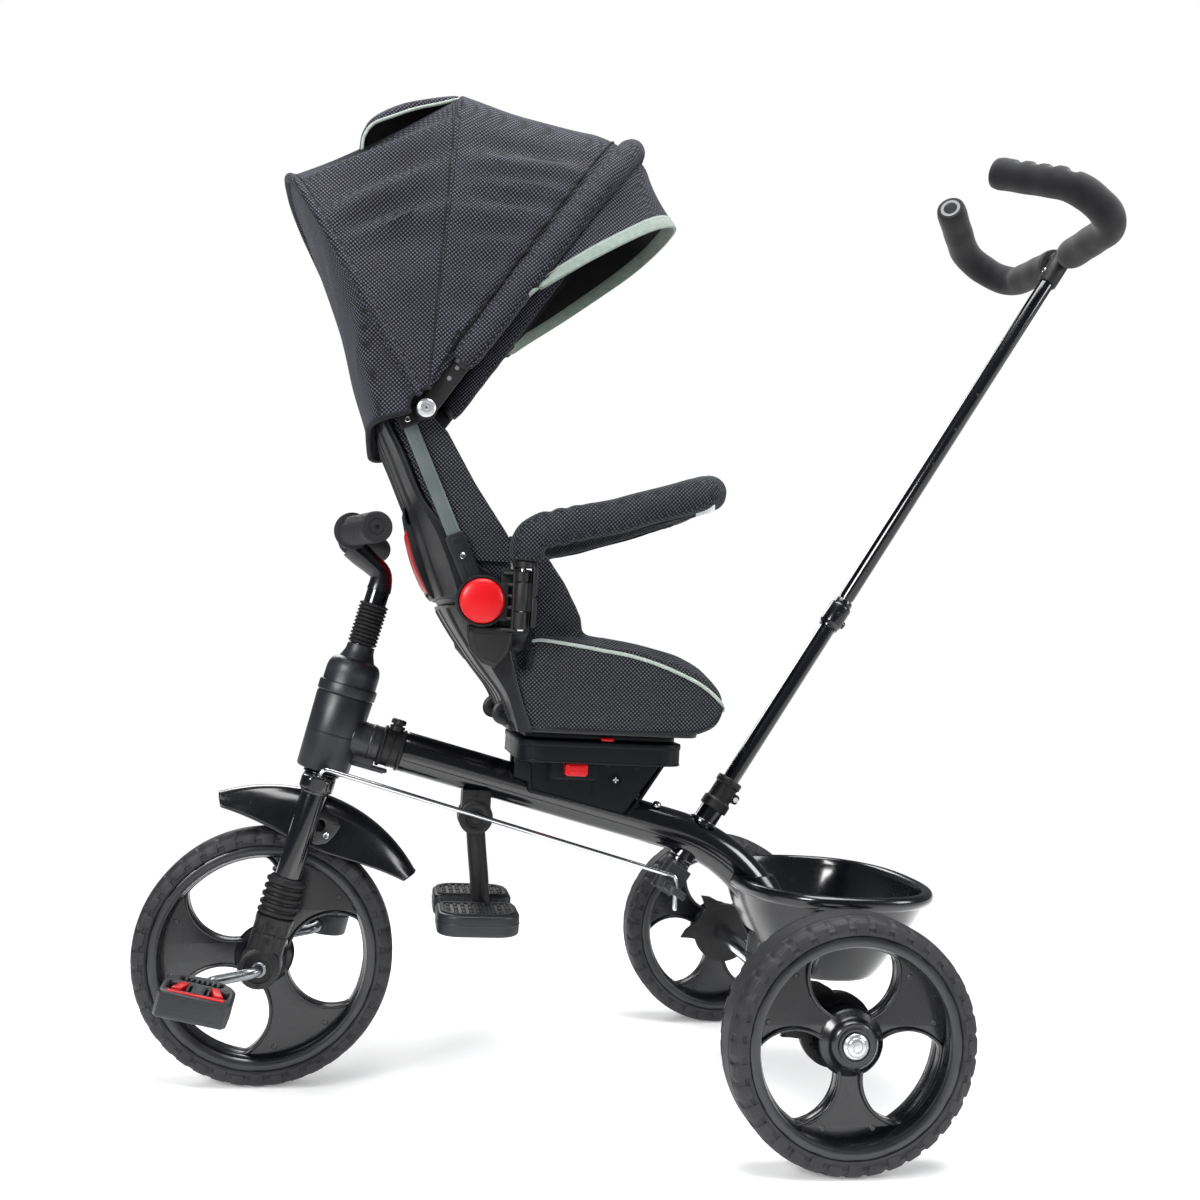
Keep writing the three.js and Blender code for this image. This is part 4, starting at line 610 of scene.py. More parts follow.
def woven(name, tone, light, pitch, open_share, depth, sheen=0.08, pulls=0.6, glint=2.1):
    """A mesh cloth: raised knots in a square lattice, in yarn of two tones, with a painted highlight on the
    knots and painted shade in the openings.
    """
    p = Paint(name)
    (cx, cy, cz), (nx, ny, nz) = p.waves(pitch)

    def lattice(a, b, share):
        return p.math("MULTIPLY", p.math("MULTIPLY", a, b), share)

    total = p.math("ADD", p.math("ADD", nx, ny), nz)
    cell = p.math("ADD", p.math("ADD", lattice(cx, cy, nz), lattice(cy, cz, nx)), lattice(cx, cz, ny))
    cell = p.math("DIVIDE", cell, total)
    yarn = p.noise(0.8, 2, 0.7)
    heather = p.noise(2.6, 3, 0.7)
    broad = p.noise(45, 3)
    base = p.mix(p.spread(heather, 0.36, 0.66), tone, light)
    # The raised knots are lightened towards a far brighter copy of the yarn: a painted highlight.
    knot_highlight = p.math("MULTIPLY", p.spread(cell, 0.0, 0.6, soft=True), p.spread(yarn, 0.3, 0.6, 0.75, 1.0))
    base = p.mix(knot_highlight, base, lit(light, glint))
    # The openings, low in the bump, are darkened towards near black: painted shade.
    hole = p.math("MULTIPLY", p.spread(cell, 0.05, -0.5, soft=True), open_share * 2.4, clamp=True)
    base = p.mix(hole, base, dimmed(tone, 0.16))
    base = p.mix(p.spread(broad, 0.35, 0.7, 0.0, 0.22), base, dimmed(tone, 0.6))
    height = p.math("ADD", cell, p.math("MULTIPLY", yarn, 0.6))
    folds = p.bump(p.noise(26, 3, 0.55), pulls, 0.8)
    p.set(base_color=base, roughness=p.spread(yarn, 0.3, 0.7, 0.82, 0.94), sheen_weight=sheen,
          sheen_roughness=0.45, normal=p.bump(height, depth, 0.8, folds))
    p.feed(p.shader.inputs["Sheen Tint"], (0.62, 0.64, 0.72, 1))
    p.feed(p.shader.inputs["Specular IOR Level"], 0.25)
    return p.material


def tape(name, tone, light):
    """Bias binding: a fine rib across its run, with painted shade in the rib's grooves, and a soft nap."""
    p = Paint(name)
    (cx, cy, cz), _ = p.waves(0.9)
    rib = p.math("ADD", p.math("MULTIPLY", cx, cz), p.math("MULTIPLY", cy, 0.5))
    base = p.mix(p.spread(p.noise(5, 3, 0.6), 0.3, 0.7), tone, light)
    # Darker where the rib is low: painted shade in the grooves.
    base = p.mix(p.spread(rib, -0.9, -0.2, 0.4, 0.0), base, dimmed(tone, 0.6))
    p.set(base_color=base, roughness=0.82, sheen_weight=0.3, normal=p.bump(rib, 0.12, 0.7))
    return p.material


def foamy(name, tone, light):
    """Closed-cell foam: small pores darkened as painted shade, a soft skin and rubbed patches."""
    p = Paint(name)
    pores = p.spread(p.cells(1.1), 0.05, 0.42, soft=True)
    base = p.mix(p.spread(p.noise(12, 4, 0.6), 0.35, 0.7), tone, light)
    # Darker in the pores, which are the bump's pits: painted shade.
    base = p.mix(p.spread(pores, 0.0, 1.0, 0.55, 0.0), base, dimmed(tone, 0.35))
    height = p.math("ADD", pores, p.math("MULTIPLY", p.noise(3, 3), 0.8))
    p.set(base_color=base, roughness=p.spread(p.noise(20, 2), 0.3, 0.7, 0.78, 0.94), sheen_weight=0.2,
          normal=p.bump(height, 0.16, 0.7))
    p.feed(p.shader.inputs["Specular IOR Level"], 0.3)
    return p.material


def tyre_rubber(name, tone, light):
    """Moulded foam rubber: fine speckle, a skin that dusts grey where it rolls."""
    p = Paint(name)
    speckle = p.spread(p.noise(0.9, 2, 0.75), 0.52, 0.7)
    base = p.mix(p.spread(p.noise(60, 3, 0.5), 0.3, 0.72), tone, light)
    base = p.mix(p.math("MULTIPLY", speckle, 0.3), base, lit(light, 1.8))
    dust = p.math("MULTIPLY", p.spread(p.noise(9, 5, 0.7), 0.5, 0.8), 0.1)
    base = p.mix(dust, base, colour(112, 110, 108))
    height = p.math("ADD", p.noise(0.7, 2), p.math("MULTIPLY", p.noise(4, 2), 0.7))
    p.set(base_color=base, roughness=p.spread(p.noise(24, 3), 0.3, 0.7, 0.56, 0.7),
          normal=p.bump(height, 0.08, 0.6))
    p.feed(p.shader.inputs["Specular IOR Level"], 0.5)
    return p.material


GLOSS = worn("black_gloss_paint", colour(4, 5, 9), colour(7, 8, 13), 0.16, blots=0.015, coat=0.8, wear=0.0,
             ripple=0.0, scratches=0.03)
POLISHED = worn("black_gloss_plastic", colour(8, 9, 13), colour(14, 15, 20), 0.2, grain=0.03, blots=0.05,
                coat=0.35, wear=0.15, ripple=0.012)
WHEEL = worn("wheel_plastic", colour(9, 10, 14), colour(17, 18, 23), 0.24, grain=0.05, blots=0.06, coat=0.3,
             wear=0.3)
MATT = worn("black_matt_plastic", colour(13, 13, 15), colour(20, 20, 22), 0.46, grain=0.22, blots=0.07,
            wear=0.3, specular=0.4)
SHELL = worn("seat_shell_plastic", colour(13, 14, 17), colour(20, 21, 25), 0.4, grain=0.16, blots=0.07,
             wear=0.3, specular=0.45)
BASE = worn("seat_base_plastic", colour(6, 8, 13), colour(11, 13, 19), 0.42, grain=0.12, blots=0.08,
            wear=0.2, specular=0.22)
CASING = worn("leg_casing_plastic", colour(14, 14, 16), colour(22, 22, 24), 0.46, grain=0.2, blots=0.08,
              wear=0.35, specular=0.4)
RUBBER = worn("dark_rubber", colour(17, 17, 19), colour(28, 28, 30), 0.6, grain=0.18, grain_size=0.8,
              wear=0.4, specular=0.35)
GRIP = worn("grip_rubber", colour(22, 22, 25), colour(33, 33, 37), 0.66, grain=0.2, grain_size=0.7,
            wear=0.3, specular=0.3)
CHROME = worn("chrome_steel", colour(196, 198, 202), colour(222, 223, 226), 0.14, metallic=1.0, blots=0.04,
              scratches=0.3, wear=0.0, ripple=0.004)
CAP = worn("silver_cap", colour(188, 190, 194), colour(214, 215, 217), 0.28, metallic=0.75, grain=0.05,
           blots=0.05, wear=0.2)
STRUT = worn("anodised_aluminium", colour(84, 93, 93), colour(104, 113, 112), 0.36, grain=0.07,
             metallic=0.35, blots=0.05, wear=0.25)
RED = worn("red_plastic", colour(176, 1, 9), colour(198, 3, 14), 0.32, grain=0.08, blots=0.05, coat=0.1,
           wear=0.06, specular=0.35)
GREY = worn("grey_plastic", colour(92, 95, 98), colour(116, 119, 121), 0.46, grain=0.14, wear=0.3)
LEVER = worn("dark_grey_plastic", colour(30, 31, 34), colour(44, 45, 49), 0.4, grain=0.14, wear=0.3)
ZINC = worn("zinc_steel", colour(120, 122, 126), colour(150, 152, 156), 0.3, metallic=1.0, blots=0.06,
            wear=0.0, ripple=0.004)
# A near-black paint put in screw recesses, holes, bore ends and slits: painted shade.
RECESS_SHADE = worn("recess_painted_shade", colour(3, 3, 4), colour(7, 7, 8), 0.7, grain=0.1, wear=0.1)
# A lighter copy of the wheel plastic for the wheels' lips and hub rings: a painted highlight.
RIM_HIGHLIGHT = worn("rim_lip_painted_highlight", colour(24, 25, 29), colour(38, 39, 43), 0.34, grain=0.05, coat=0.2, wear=0.3)
PAD = worn("footrest_plastic", colour(22, 24, 28), colour(34, 36, 41), 0.44, grain=0.16, wear=0.3)
HEAD = worn("head_cap_plastic", colour(26, 27, 31), colour(40, 41, 46), 0.42, grain=0.12, wear=0.25,
            specular=0.6)
TYRE = tyre_rubber("tyre_grey", colour(23, 23, 27), colour(36, 36, 40))
CLOTH = woven("charcoal_fabric", colour(8, 8, 12), colour(30, 30, 36), pitch=3.8, open_share=0.42,
              depth=0.45, glint=8.5)
CUSHION = woven("cushion_fabric", colour(10, 11, 13), colour(31, 32, 35), pitch=3.7, open_share=0.42,
                depth=0.45, glint=6.6)
SLEEVE = woven("sleeve_fabric", colour(9, 10, 13), colour(29, 31, 35), pitch=3.7, open_share=0.42,
               depth=0.45, glint=6.4)
LINING = woven("black_lining", colour(5, 5, 7), colour(11, 11, 14), pitch=0.9, open_share=0.12, depth=0.1,
               sheen=0.12)
SEAM = woven("seam_thread", colour(14, 14, 17), colour(30, 30, 35), pitch=0.8, open_share=0.2, depth=0.15,
             pulls=0.2)
TRIM = tape("sage_trim", colour(112, 126, 117), colour(132, 145, 136))
PIPING = tape("pale_piping", colour(150, 160, 153), colour(172, 180, 174))
FOAM = foamy("handle_foam", colour(11, 11, 14), colour(19, 19, 23))
LABEL = worn("white_label", colour(206, 210, 212), colour(226, 228, 229), 0.6, grain=0.1, wear=0.0)

# Slot names, each listed with the paints that go under it.
PAINTS_OF = {
    "black_gloss_paint": [GLOSS], "black_gloss_plastic": [POLISHED, WHEEL], "red_plastic": [RED],
    "black_matt_plastic": [MATT, SHELL, BASE, HEAD, PAD], "dark_rubber": [RUBBER, GRIP, CASING],
    "grey_plastic": [LEVER], "chrome_steel": [CHROME, ZINC], "anodised_aluminium": [STRUT],
    "tyre_grey": [TYRE], "handle_foam": [FOAM], "sage_trim": [TRIM, PIPING],
    "charcoal_fabric": [CLOTH, CUSHION, SLEEVE, SEAM, LABEL],
}
SLOTS = {paint.name: slot for slot, paints in PAINTS_OF.items() for paint in paints}


# ---- Camera, lights and floor ----
def set_scene():
    bpy.context.scene.view_settings.view_transform = "Standard"
    data = bpy.data.cameras.new("photo_angle")
    data.sensor_width, data.lens = 36, 39.939
    data.clip_start, data.clip_end = 0.05, 50
    yaw, pitch, roll = 0.160, 0.039, 0.051  # radians, fitted to the photo with the place below
    forward = at(math.sin(yaw) * math.cos(pitch), math.cos(yaw) * math.cos(pitch), math.sin(pitch))
    right = at(math.cos(yaw), -math.sin(yaw), 0)
    up = right.cross(forward)
    tilted = right * math.cos(roll) + up * math.sin(roll)
    upward = up * math.cos(roll) - right * math.sin(roll)
    camera = bpy.data.objects.new("photo_angle", data)
    turned = Matrix((tilted, upward, -forward)).transposed().to_4x4()
    camera.matrix_world = Matrix.Translation(world(at(95.3, -1328, 428.6))) @ turned
    bpy.context.scene.collection.objects.link(camera)
    bpy.context.scene.camera = camera

    def lamp(name, place, target, power, size):
        light = bpy.data.lights.new(name, "AREA")
        light.energy, light.size = power, size
        obj = bpy.data.objects.new(name, light)
        obj.location = place
        obj.rotation_euler = (Vector(target) - Vector(place)).to_track_quat("-Z", "Y").to_euler()
        bpy.context.scene.collection.objects.link(obj)

    lamp("overhead_softbox", (0.1, -0.3, 2.6), (0, 0, 0.4), 88, 1.8)
    lamp("key_softbox", (-1.9, -2.0, 1.6), (0, 0, 0.45), 62, 0.9)
    lamp("side_softbox", (2.3, -1.2, 1.3), (0, 0, 0.4), 30, 1.0)
    lamp("back_softbox", (-0.6, 2.2, 1.8), (0, 0, 0.5), 30, 1.2)

    sky = bpy.data.worlds.new("studio")
    sky.use_nodes = True
    bpy.context.scene.world = sky
    nodes, links = sky.node_tree.nodes, sky.node_tree.links
    path = nodes.new("ShaderNodeLightPath")

    def glow(node, tint, strength):
        node.inputs["Color"].default_value, node.inputs["Strength"].default_value = tint, strength
        return node

    def chosen(ray, otherwise, there):
        mixer = nodes.new("ShaderNodeMixShader")
        for socket, source in zip(mixer.inputs, (path.outputs[ray], otherwise.outputs[0], there.outputs[0])):
            links.new(source, socket)
        return mixer

    seen = glow(nodes["Background"], (1, 1, 1, 1), 1.0)
    soft = glow(nodes.new("ShaderNodeBackground"), (0.95, 0.97, 1, 1), 0.36)
    dim = glow(nodes.new("ShaderNodeBackground"), (0.95, 0.97, 1, 1), 0.12)
    everywhere = chosen("Is Camera Ray", chosen("Is Glossy Ray", soft, dim), seen)
    links.new(everywhere.outputs[0], nodes["World Output"].inputs["Surface"])

    ground = Paint("studio_floor")
    away = ground.node("VectorMath", ground.place, operation="LENGTH").outputs["Value"]
    tone = ground.mix(ground.spread(ground.noise(120, 2), 0.3, 0.7), (0.86, 0.86, 0.86, 1),
                      (0.9, 0.9, 0.9, 1))
    ground.set(base_color=tone, roughness=0.75)
    ground.feed(ground.shader.inputs["Specular IOR Level"], 0.2)
    ground.feed(ground.shader.inputs["Emission Color"], (1, 1, 1, 1))
    ground.feed(ground.shader.inputs["Emission Strength"], 0.22)
    bright = ground.node("Emission", (1, 1, 1, 1), 1.0)
    clear = ground.node("MixShader", ground.spread(away, 520, 1100, soft=True), ground.shader.outputs[0],
                        bright.outputs[0])
    ground.tree.links.new(clear.outputs[0], ground.tree.nodes["Material Output"].inputs["Surface"])
    mesh = bpy.data.meshes.new("studio_floor")
    steps, radii = 40, (0.3, 1.0, 3.0, 9.0)
    corners = [2 * math.pi * k / steps for k in range(steps)]
    points = [(0, 0, 0)] + [(r * math.cos(a), r * math.sin(a), 0) for r in radii for a in corners]
    faces = [(0, 1 + k, 1 + (k + 1) % steps) for k in range(steps)]
    for r in range(len(radii) - 1):
        for k in range(steps):
            a, b = 1 + r * steps + k, 1 + r * steps + (k + 1) % steps
            faces.append((a, a + steps, b + steps, b))
    mesh.from_pydata(points, [], faces)
    mesh.materials.append(ground.material)
    floor = bpy.data.objects.new("studio_floor", mesh)
    bpy.context.scene.collection.objects.link(floor)


set_scene()


# ---- Pieces from the CAD model's own shape ----
def moulded(name, node, paint, body, voxel, rounds, most_triangles=60000):
    """The CAD node's shape with softened edges, as a moulding has."""
    source = bpy.data.objects[node]
    mesh = source.data.copy()
    mesh.materials.clear()
    mesh.transform(source.matrix_world)
    obj = bpy.data.objects.new(name, mesh)
    bpy.context.scene.collection.objects.link(obj)
    remesh = obj.modifiers.new("even", "REMESH")
    remesh.mode, remesh.voxel_size, remesh.use_smooth_shade = "VOXEL", voxel * MM, True
    applied(obj)
    form = bmesh.new()
    form.from_mesh(obj.data)
    for _ in range(rounds):
        bmesh.ops.smooth_vert(form, verts=form.verts, factor=0.5, use_axis_x=True, use_axis_y=True,
                              use_axis_z=True)
    form.to_mesh(obj.data)
    form.free()
    triangles = len(obj.data.polygons) * 2
    if triangles > most_triangles:
        thin = obj.modifiers.new("thin", "DECIMATE")
        thin.ratio = most_triangles / triangles
        applied(obj)
    obj.data.materials.append(paint)
    obj.data.shade_smooth()
    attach(obj, body)
    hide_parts(node)
    return obj


def applied(obj):
    """Puts the object's modifiers into its mesh."""
    evaluated = obj.evaluated_get(bpy.context.evaluated_depsgraph_get())
    mesh = bpy.data.meshes.new_from_object(evaluated)
    obj.modifiers.clear()
    old = obj.data
    obj.data = mesh
    bpy.data.meshes.remove(old)


def upright_at(centre):
    """Places (u, v, w) as X, Z and Y about a point."""
    return lambda u, v, w: at(centre.x + u, centre.y + w, centre.z + v)


# ---- Wheels ----
def tyre(centre, radius, width, blocks):
    """A foam tyre with blocks on its shoulders, grooves round its tread and a raised ring on each side."""
    inner, half = radius - TYRE_WALL, width / 2
    side = [(inner + 1.2, half - 1.5), (inner + 2.6, half - 0.3), (inner + 4.4, half),
            (inner + 5.2, half - 0.9), (inner + 7.2, half - 0.9), (inner + 8, half),
            (radius - 8.2, half - 0.2), (radius - 6.4, half - 1.1), (radius - 4.2, half - 2.2),
            (radius - 2.4, half - 4), (radius - 1.2, half - 6.4), (radius - 0.5, half - 9),
            (radius - 0.2, half - 11), (radius - 0.1, half - 12), (radius - 1.5, half - 12.6),
            (radius - 1.5, half - 14), (radius - 0.05, half - 14.6), (radius, half - 18)]
    other_side = [(r, -h) for r, h in reversed(side)]
    profile = [(inner, half - 5), *side, *other_side, (inner, 5 - half), (inner, half - 5)]
    shoulder = range(8, 14)
    cut = {*shoulder, *(len(profile) - 2 - i for i in shoulder)}
    sides = blocks * 10

    def wave(angle, i):
        if i not in cut:
            return 0
        half_a_block = 0.5 if len(profile) / 2 < i else 0
        phase = (angle * blocks / (2 * math.pi) + half_a_block) % 1
        return -1.7 if 0.8 < phase else (-0.8 if 0.75 < phase or phase < 0.05 else 0)

    shape = Shape().lathe(profile, centre, Y, sides, 0, wave)
    radii, halves = zip(*side[5:13])
    for s in (-1, 1):
        turned = 0.5 if s < 0 else 0
        for k in range(blocks):
            middle = 2 * math.pi * (k + 0.425 + turned) / blocks

            def on_shoulder(u, v, w):
                """u along the tyre, v out from its axle and w above its side."""
                a = middle + u / (radius - 9)
                out = s * (float(np.interp(v, radii, halves)) + w)
                return at(centre.x + v * math.sin(a), centre.y + out, centre.z + v * math.cos(a))

            long = math.pi * (radius - 9) / blocks * 0.66
            inner_edge = radius - (14.5 if k % 2 else 12)
            shape.slab(oblong(-long, long, inner_edge, radius - 3.2, 1.4, 3), -0.7, 0.95, on_shoulder,
                       edge=0.6)
    return shape


def wheel_centre(centre, radius, width, turned, window, window_at, hub, hub_ends):
    """A barrel, a plate with three round windows cut off by the barrel, ribs round them, and the hub.

    window is a window's radius and window_at is how far its middle is from the axle.
    """
    shape = Shape()
    outer, half = radius - TYRE_WALL - 0.3, width / 2 - 3
    inner = outer - 8
    lip = [(inner, half - 9), (inner - 0.9, half - 3), (inner + 0.2, half + 0.2), (inner + 2.6, half + 1.4),
           (outer - 1, half + 1.3), (outer + 0.5, half + 0.5), (outer, half - 1.5)]
    ring = lip + [(r, -h) for r, h in reversed(lip)] + [lip[0]]
    # The lip takes the lighter rim paint: a painted highlight.
    shape.lathe(ring, centre, Y, 144, 1)
    shape.lathe([(inner + 0.6, -half + 2), (inner + 0.6, half - 2), (inner - 2.2, half - 6), (inner - 3, 6),
                 (inner - 3, -6), (inner - 2.2, -half + 6), (inner + 0.6, -half + 2)], centre, Y, 144, 0)
    windows, wider = [], []
    for k in range(3):
        a = rad(turned + 120 * k)
        for loops, grow in ((windows, 0), (wider, 3.2)):
            loop = []
            for i in range(72):
                t = 2 * math.pi * i / 72
                p = Vector((window_at * math.cos(a) + (window + grow) * math.cos(t),
                            window_at * math.sin(a) + (window + grow) * math.sin(t)))
                limit = inner - 3.4 + (grow and 1.2)
                if p.length > limit:
                    p *= limit / p.length
                loop.append((p.x, p.y))
            loops.append(even_loop(loop, 72))
    rim = arc(0, 0, inner + 2, 0, 357.5, 143)
    place = upright_at(centre)
    shape.slab(rim, -5.4, 5.4, place, holes=windows, edge=2.4, steps=4)
    for window_loop, wide_loop in zip(windows, wider):
        for low, high in ((-8.2, -4.6), (4.6, 8.2)):
            shape.slab(wide_loop, low, high, place, holes=[window_loop], edge=1.3)
    for s in (-1, 1):
        shape.turned(s, [(hub + 9, 5), (hub + 7, 7.5), (hub + 3, 9.5), (hub + 1, 12.5), (hub, 14),
                         (hub - 1, 15), (0, 15)], centre, 72, 0)
    low, high = sorted(hub_ends)
    shape.lathe([(0, low), (hub - 2, low), (hub, low + 1.6), (hub, high - 1.6), (hub - 2, high), (0, high)],
                centre, Y, 72, 0)
    for k in range(3):
        a = rad(turned + 60 + 120 * k)
        for s in (-1, 1):
            for turn_by in (-0.3, 0.3):
                spot = centre + at(math.cos(a + turn_by), 0, math.sin(a + turn_by)) * (inner - 9)
                shape.turned(s, [(0, 6), (2.2, 6), (3, 5.2), (3, 4), (0, 4)], spot, 24)
    return shape


def even_loop(points, count):
    """The closed outline as this many points spaced evenly."""
    line = [Vector((*p, 0)) for p in points]
    line.append(line[0].copy())
    total = sum((b - a).length for a, b in zip(line, line[1:]))
    even = resampled(line, total / count)[:-1]
    return [(p.x, p.y) for p in even]


front = at(0, 0, FRONT_RADIUS)
piece("front_tyre_foam", tyre(front, FRONT_RADIUS, FRONT_WIDTH, 40), [TYRE], "front_wheel", ["front_tyre"])
shape = wheel_centre(front, FRONT_RADIUS, FRONT_WIDTH, 117, 44, 66, 19, (-27, 27))
piece("front_wheel_centre", shape, [WHEEL, RIM_HIGHLIGHT], "front_wheel", ["front_wheel"])

CRANK_LENGTH, CRANK_ANGLE = 46, rad(192)
CRANK_X, CRANK_Z = CRANK_LENGTH * math.cos(CRANK_ANGLE), CRANK_LENGTH * math.sin(CRANK_ANGLE)
PEDAL_TILT = 12
knots = round_corners([at(CRANK_X, -148, FRONT_RADIUS + CRANK_Z), at(CRANK_X, -74, FRONT_RADIUS + CRANK_Z),
                       at(0, -74, FRONT_RADIUS), at(0, 74, FRONT_RADIUS),
                       at(-CRANK_X, 74, FRONT_RADIUS - CRANK_Z), at(-CRANK_X, 148, FRONT_RADIUS - CRANK_Z)],
                      9, 8)
crank = Shape().tube(resampled(knots, 2.5), 5, 24, 0, "soft")
for s in (-1, 1):
    crank.turned(s, [(4.8, 63.4), (6.6, 63.4), (7, 64), (7, 65.4), (6.4, 66), (4.8, 66)], front, 32)
piece("crank_bar", crank, [ZINC], "front_wheel", ["crank"])


def pedal(side, name):
    """A D-shaped pedal: black frame, ribbed middle, red inserts and a red toothed strip at its outer edge."""
    shape = Shape()
    c, s = math.cos(rad(PEDAL_TILT)), math.sin(rad(PEDAL_TILT))

    def place(u, v, w):
        """u along the pedal, v towards the crank on its left-hand side, and w up from its middle."""
        return at(-side * CRANK_X + u * c + w * s, side * 131 + v,
                  FRONT_RADIUS - side * CRANK_Z - u * s + w * c)

    def outward(u, v, w):
        return place(u, v * -side, w)

    def face(u, v, w):
        return place(u, (-36 - w) * -side, v)

    outline = [(-28, -36), (28, -36), (31, -30), (31, -4), *arc(0, 2, 31, 8, 172, 28), (-31, -4), (-31, -30)]
    wells = [oblong(-25, -5, -21, 2, 3), oblong(5, 25, -21, 2, 3), oblong(-18, 18, 10, 24, 5)]
    shape.slab(outline, -11, 11, outward, holes=wells, edge=2.4, steps=4)
    shape.slab([(u * 0.9, v * 0.9 - 1) for u, v in outline], -3.5, 3.5, outward, edge=1, paint=0)
    for low, high in ((-10.6, -2), (2, 11.9)):
        for u in (-18, 18):
            lean = -math.copysign(5, u)
            shape.slab([(u - 4, -20), (u + 4, -20), (u + 4 + lean, 2), (u - 4 + lean, 2)], low, high,
                       outward, edge=0.9, paint=1)
        for k in range(-2, 3):
            shape.slab(oblong(k * 4.4 - 1.1, k * 4.4 + 1.1, -20, 1, 1), low * 0.9, high * 0.9, outward,
                       edge=0.6)
        for k in range(-3, 4):
            shape.slab(oblong(k * 4.6 - 1.2, k * 4.6 + 1.2, 11.5, 22.5, 1), low * 0.95, high * 0.95,
                       outward, edge=0.5)
        teeth = [(-24, -32.5)]
        for k in range(12):
            teeth += [(-24 + 4 * k, -26), (-22 + 4 * k, -28.2)]
        teeth += [(24, -26), (24, -32.5)]
        shape.slab(teeth, low, high, outward, edge=0.5, paint=1)
    shape.slab(oblong(-26, 26, -9, 8.2, 5), -0.8, 0.4, face, edge=0.4)
    for v in (-6.4, -2.2, 2, 6.2):
        shape.slab(oblong(-21, 21, v - 0.35, v + 0.35, 0.3), 0.2, 0.65, face, edge=0.2)
    shape.lathe([(5.4, -1), (9, -1), (9.4, 0.5), (9.4, 3.5), (8.6, 4.5), (5.4, 4.5)],
                place(0, -side * 34, 0), Y * -side, 32)
    piece(f"pedal_{name}_body", shape, [PAD, RED], f"pedal_{name}", [f"pedal_{name}"])


for side, name in SIDES:
    pedal(side, name)

for side, name in SIDES:
    axle = at(WHEELBASE, side * REAR_TRACK / 2, REAR_RADIUS)
    piece(f"rear_tyre_{name}_foam", tyre(axle, REAR_RADIUS, REAR_WIDTH, 36), [TYRE], f"rear_wheel_{name}",
          [f"rear_tyre_{name}"])
    shape = wheel_centre(axle, REAR_RADIUS, REAR_WIDTH, 90, 39, 58, 20, (-24 * side, 15.5 * side))
    shape.turned(-side, [(0, 23), (26, 23), (26, 29.6), (24.5, 30), (0, 30)], axle, 60)
    for k in range(12):
        a = 2 * math.pi * k / 12
        out = at(math.cos(a), 0, math.sin(a))
        shape.tube([axle + out * 25.5 + Y * (-side * h) for h in (23.6, 29.4)], 2.2, 10, 0, "flat")
    # The hub's ring takes the lighter rim paint: a painted highlight.
    shape.turned(side, [(12.5, 15), (14.6, 15), (15, 16), (14.4, 17.4), (12.6, 17.4), (12.2, 15.8),
                        (12.5, 15)], axle, 60, 1)
    piece(f"rear_wheel_{name}_centre", shape, [WHEEL, RIM_HIGHLIGHT], f"rear_wheel_{name}", [f"rear_wheel_{name}"])

# ---- Rear axle and brake levers ----
axle = at(WHEELBASE, 0, REAR_RADIUS)
BRAKE_OUT = REAR_TRACK / 2 - 24 - 6 - 0.5
half = [(10, 0), (10, BRAKE_OUT - 9.5 - 0.6), (9.4, BRAKE_OUT - 9.5), (6, BRAKE_OUT - 9.5), (6, 248)]
shape = Shape().lathe([(r, -h) for r, h in reversed(half)] + half[1:], axle, Y, 40, 0)
for s in (-1, 1):
    shape.turned(s, [(5.9, 247.9), (10.6, 247.9), (11, 248.4), (11, 250.2), (10.2, 251.2), (8.4, 252),
                     (8, 252.8), (6.8, 253.6), (4.6, 253.9), (4.2, 253), (0, 253)], axle, 48, 1)
    shape.turned(s, [(2.6, 252.8), (3.2, 253.6), (0, 254)], axle, 24, 1)
piece("rear_axle_bar", shape, [CHROME, CAP], "frame", ["rear_axle"])


def brake(side, name):
    centre = at(WHEELBASE, side * (BRAKE_OUT - 4.5), REAR_RADIUS)
    place = upright_at(centre)
    shape = Shape()
    bore = arc(0, 0, 6.5, 0, 345, 23)
    shape.slab(arc(0, 0, 33.4, 0, 355, 71), -4.4, 4.4, place, holes=[bore], edge=1.6)
    for s in (-1, 1):
        shape.turned(s, [(27, 4.3), (27, 4.5), (29.5, 4.5), (29.5, 4.3)], centre, 60)
    for start in (117, 182):
        a = rad(start)

        def polar(r, offset):
            return r * math.cos(a + offset), r * math.sin(a + offset)

        hook = [polar(28, -0.45), polar(36, -0.3), polar(44, -0.08), polar(49.6, 0.1), polar(42, 0.13),
                polar(34, 0.2), polar(28, 0.3)]
        shape.slab(hook, -4.3, 4.3, place, edge=1.4)
        shape.slab([polar(29, -0.3), polar(43, 0.0), polar(30, 0.16)], -4.45, 4.45, place, edge=0.7)
    shape.screw(centre + at(-12, 4.2 * side, 14), Y * side, 2.6, 0.3)
    piece(f"brake_lever_{name}_hooks", shape, [MATT, RECESS_SHADE], f"brake_{name}", [f"brake_lever_{name}"])


for side, name in SIDES:
    brake(side, name)


# ---- Main tube, neck and head ----
SLOPE = rad(HEAD_ANGLE)
BEND_X, BEND_RADIUS, BEND_ANGLE = 395, 165, rad(61)
tube_head = from_head(69.3, 0, FRAME_HEIGHT)


def straight_z(x):
    return tube_head.z - (x - tube_head.x) * math.tan(SLOPE)


def tube_line():
    start = at(BEND_X, 0, straight_z(BEND_X))
    centre = start - at(math.sin(SLOPE), 0, math.cos(SLOPE)) * BEND_RADIUS
    bend = [centre + at(math.sin(SLOPE + BEND_ANGLE * k / 24), 0,
                        math.cos(SLOPE + BEND_ANGLE * k / 24)) * BEND_RADIUS for k in range(25)]
    return resampled([tube_head, start], 10)[:-1] + bend


def fillet(shape, centre, axis, radius, reach):
    """A weld's bead or a moulded fillet round a bar that leaves a surface."""
    hollow = arc(radius + reach, reach, reach, 270, 180, 6)
    shape.lathe([(radius - 1, -2), (radius + reach, -2), *hollow, (radius - 1, reach)], centre, axis, 40)


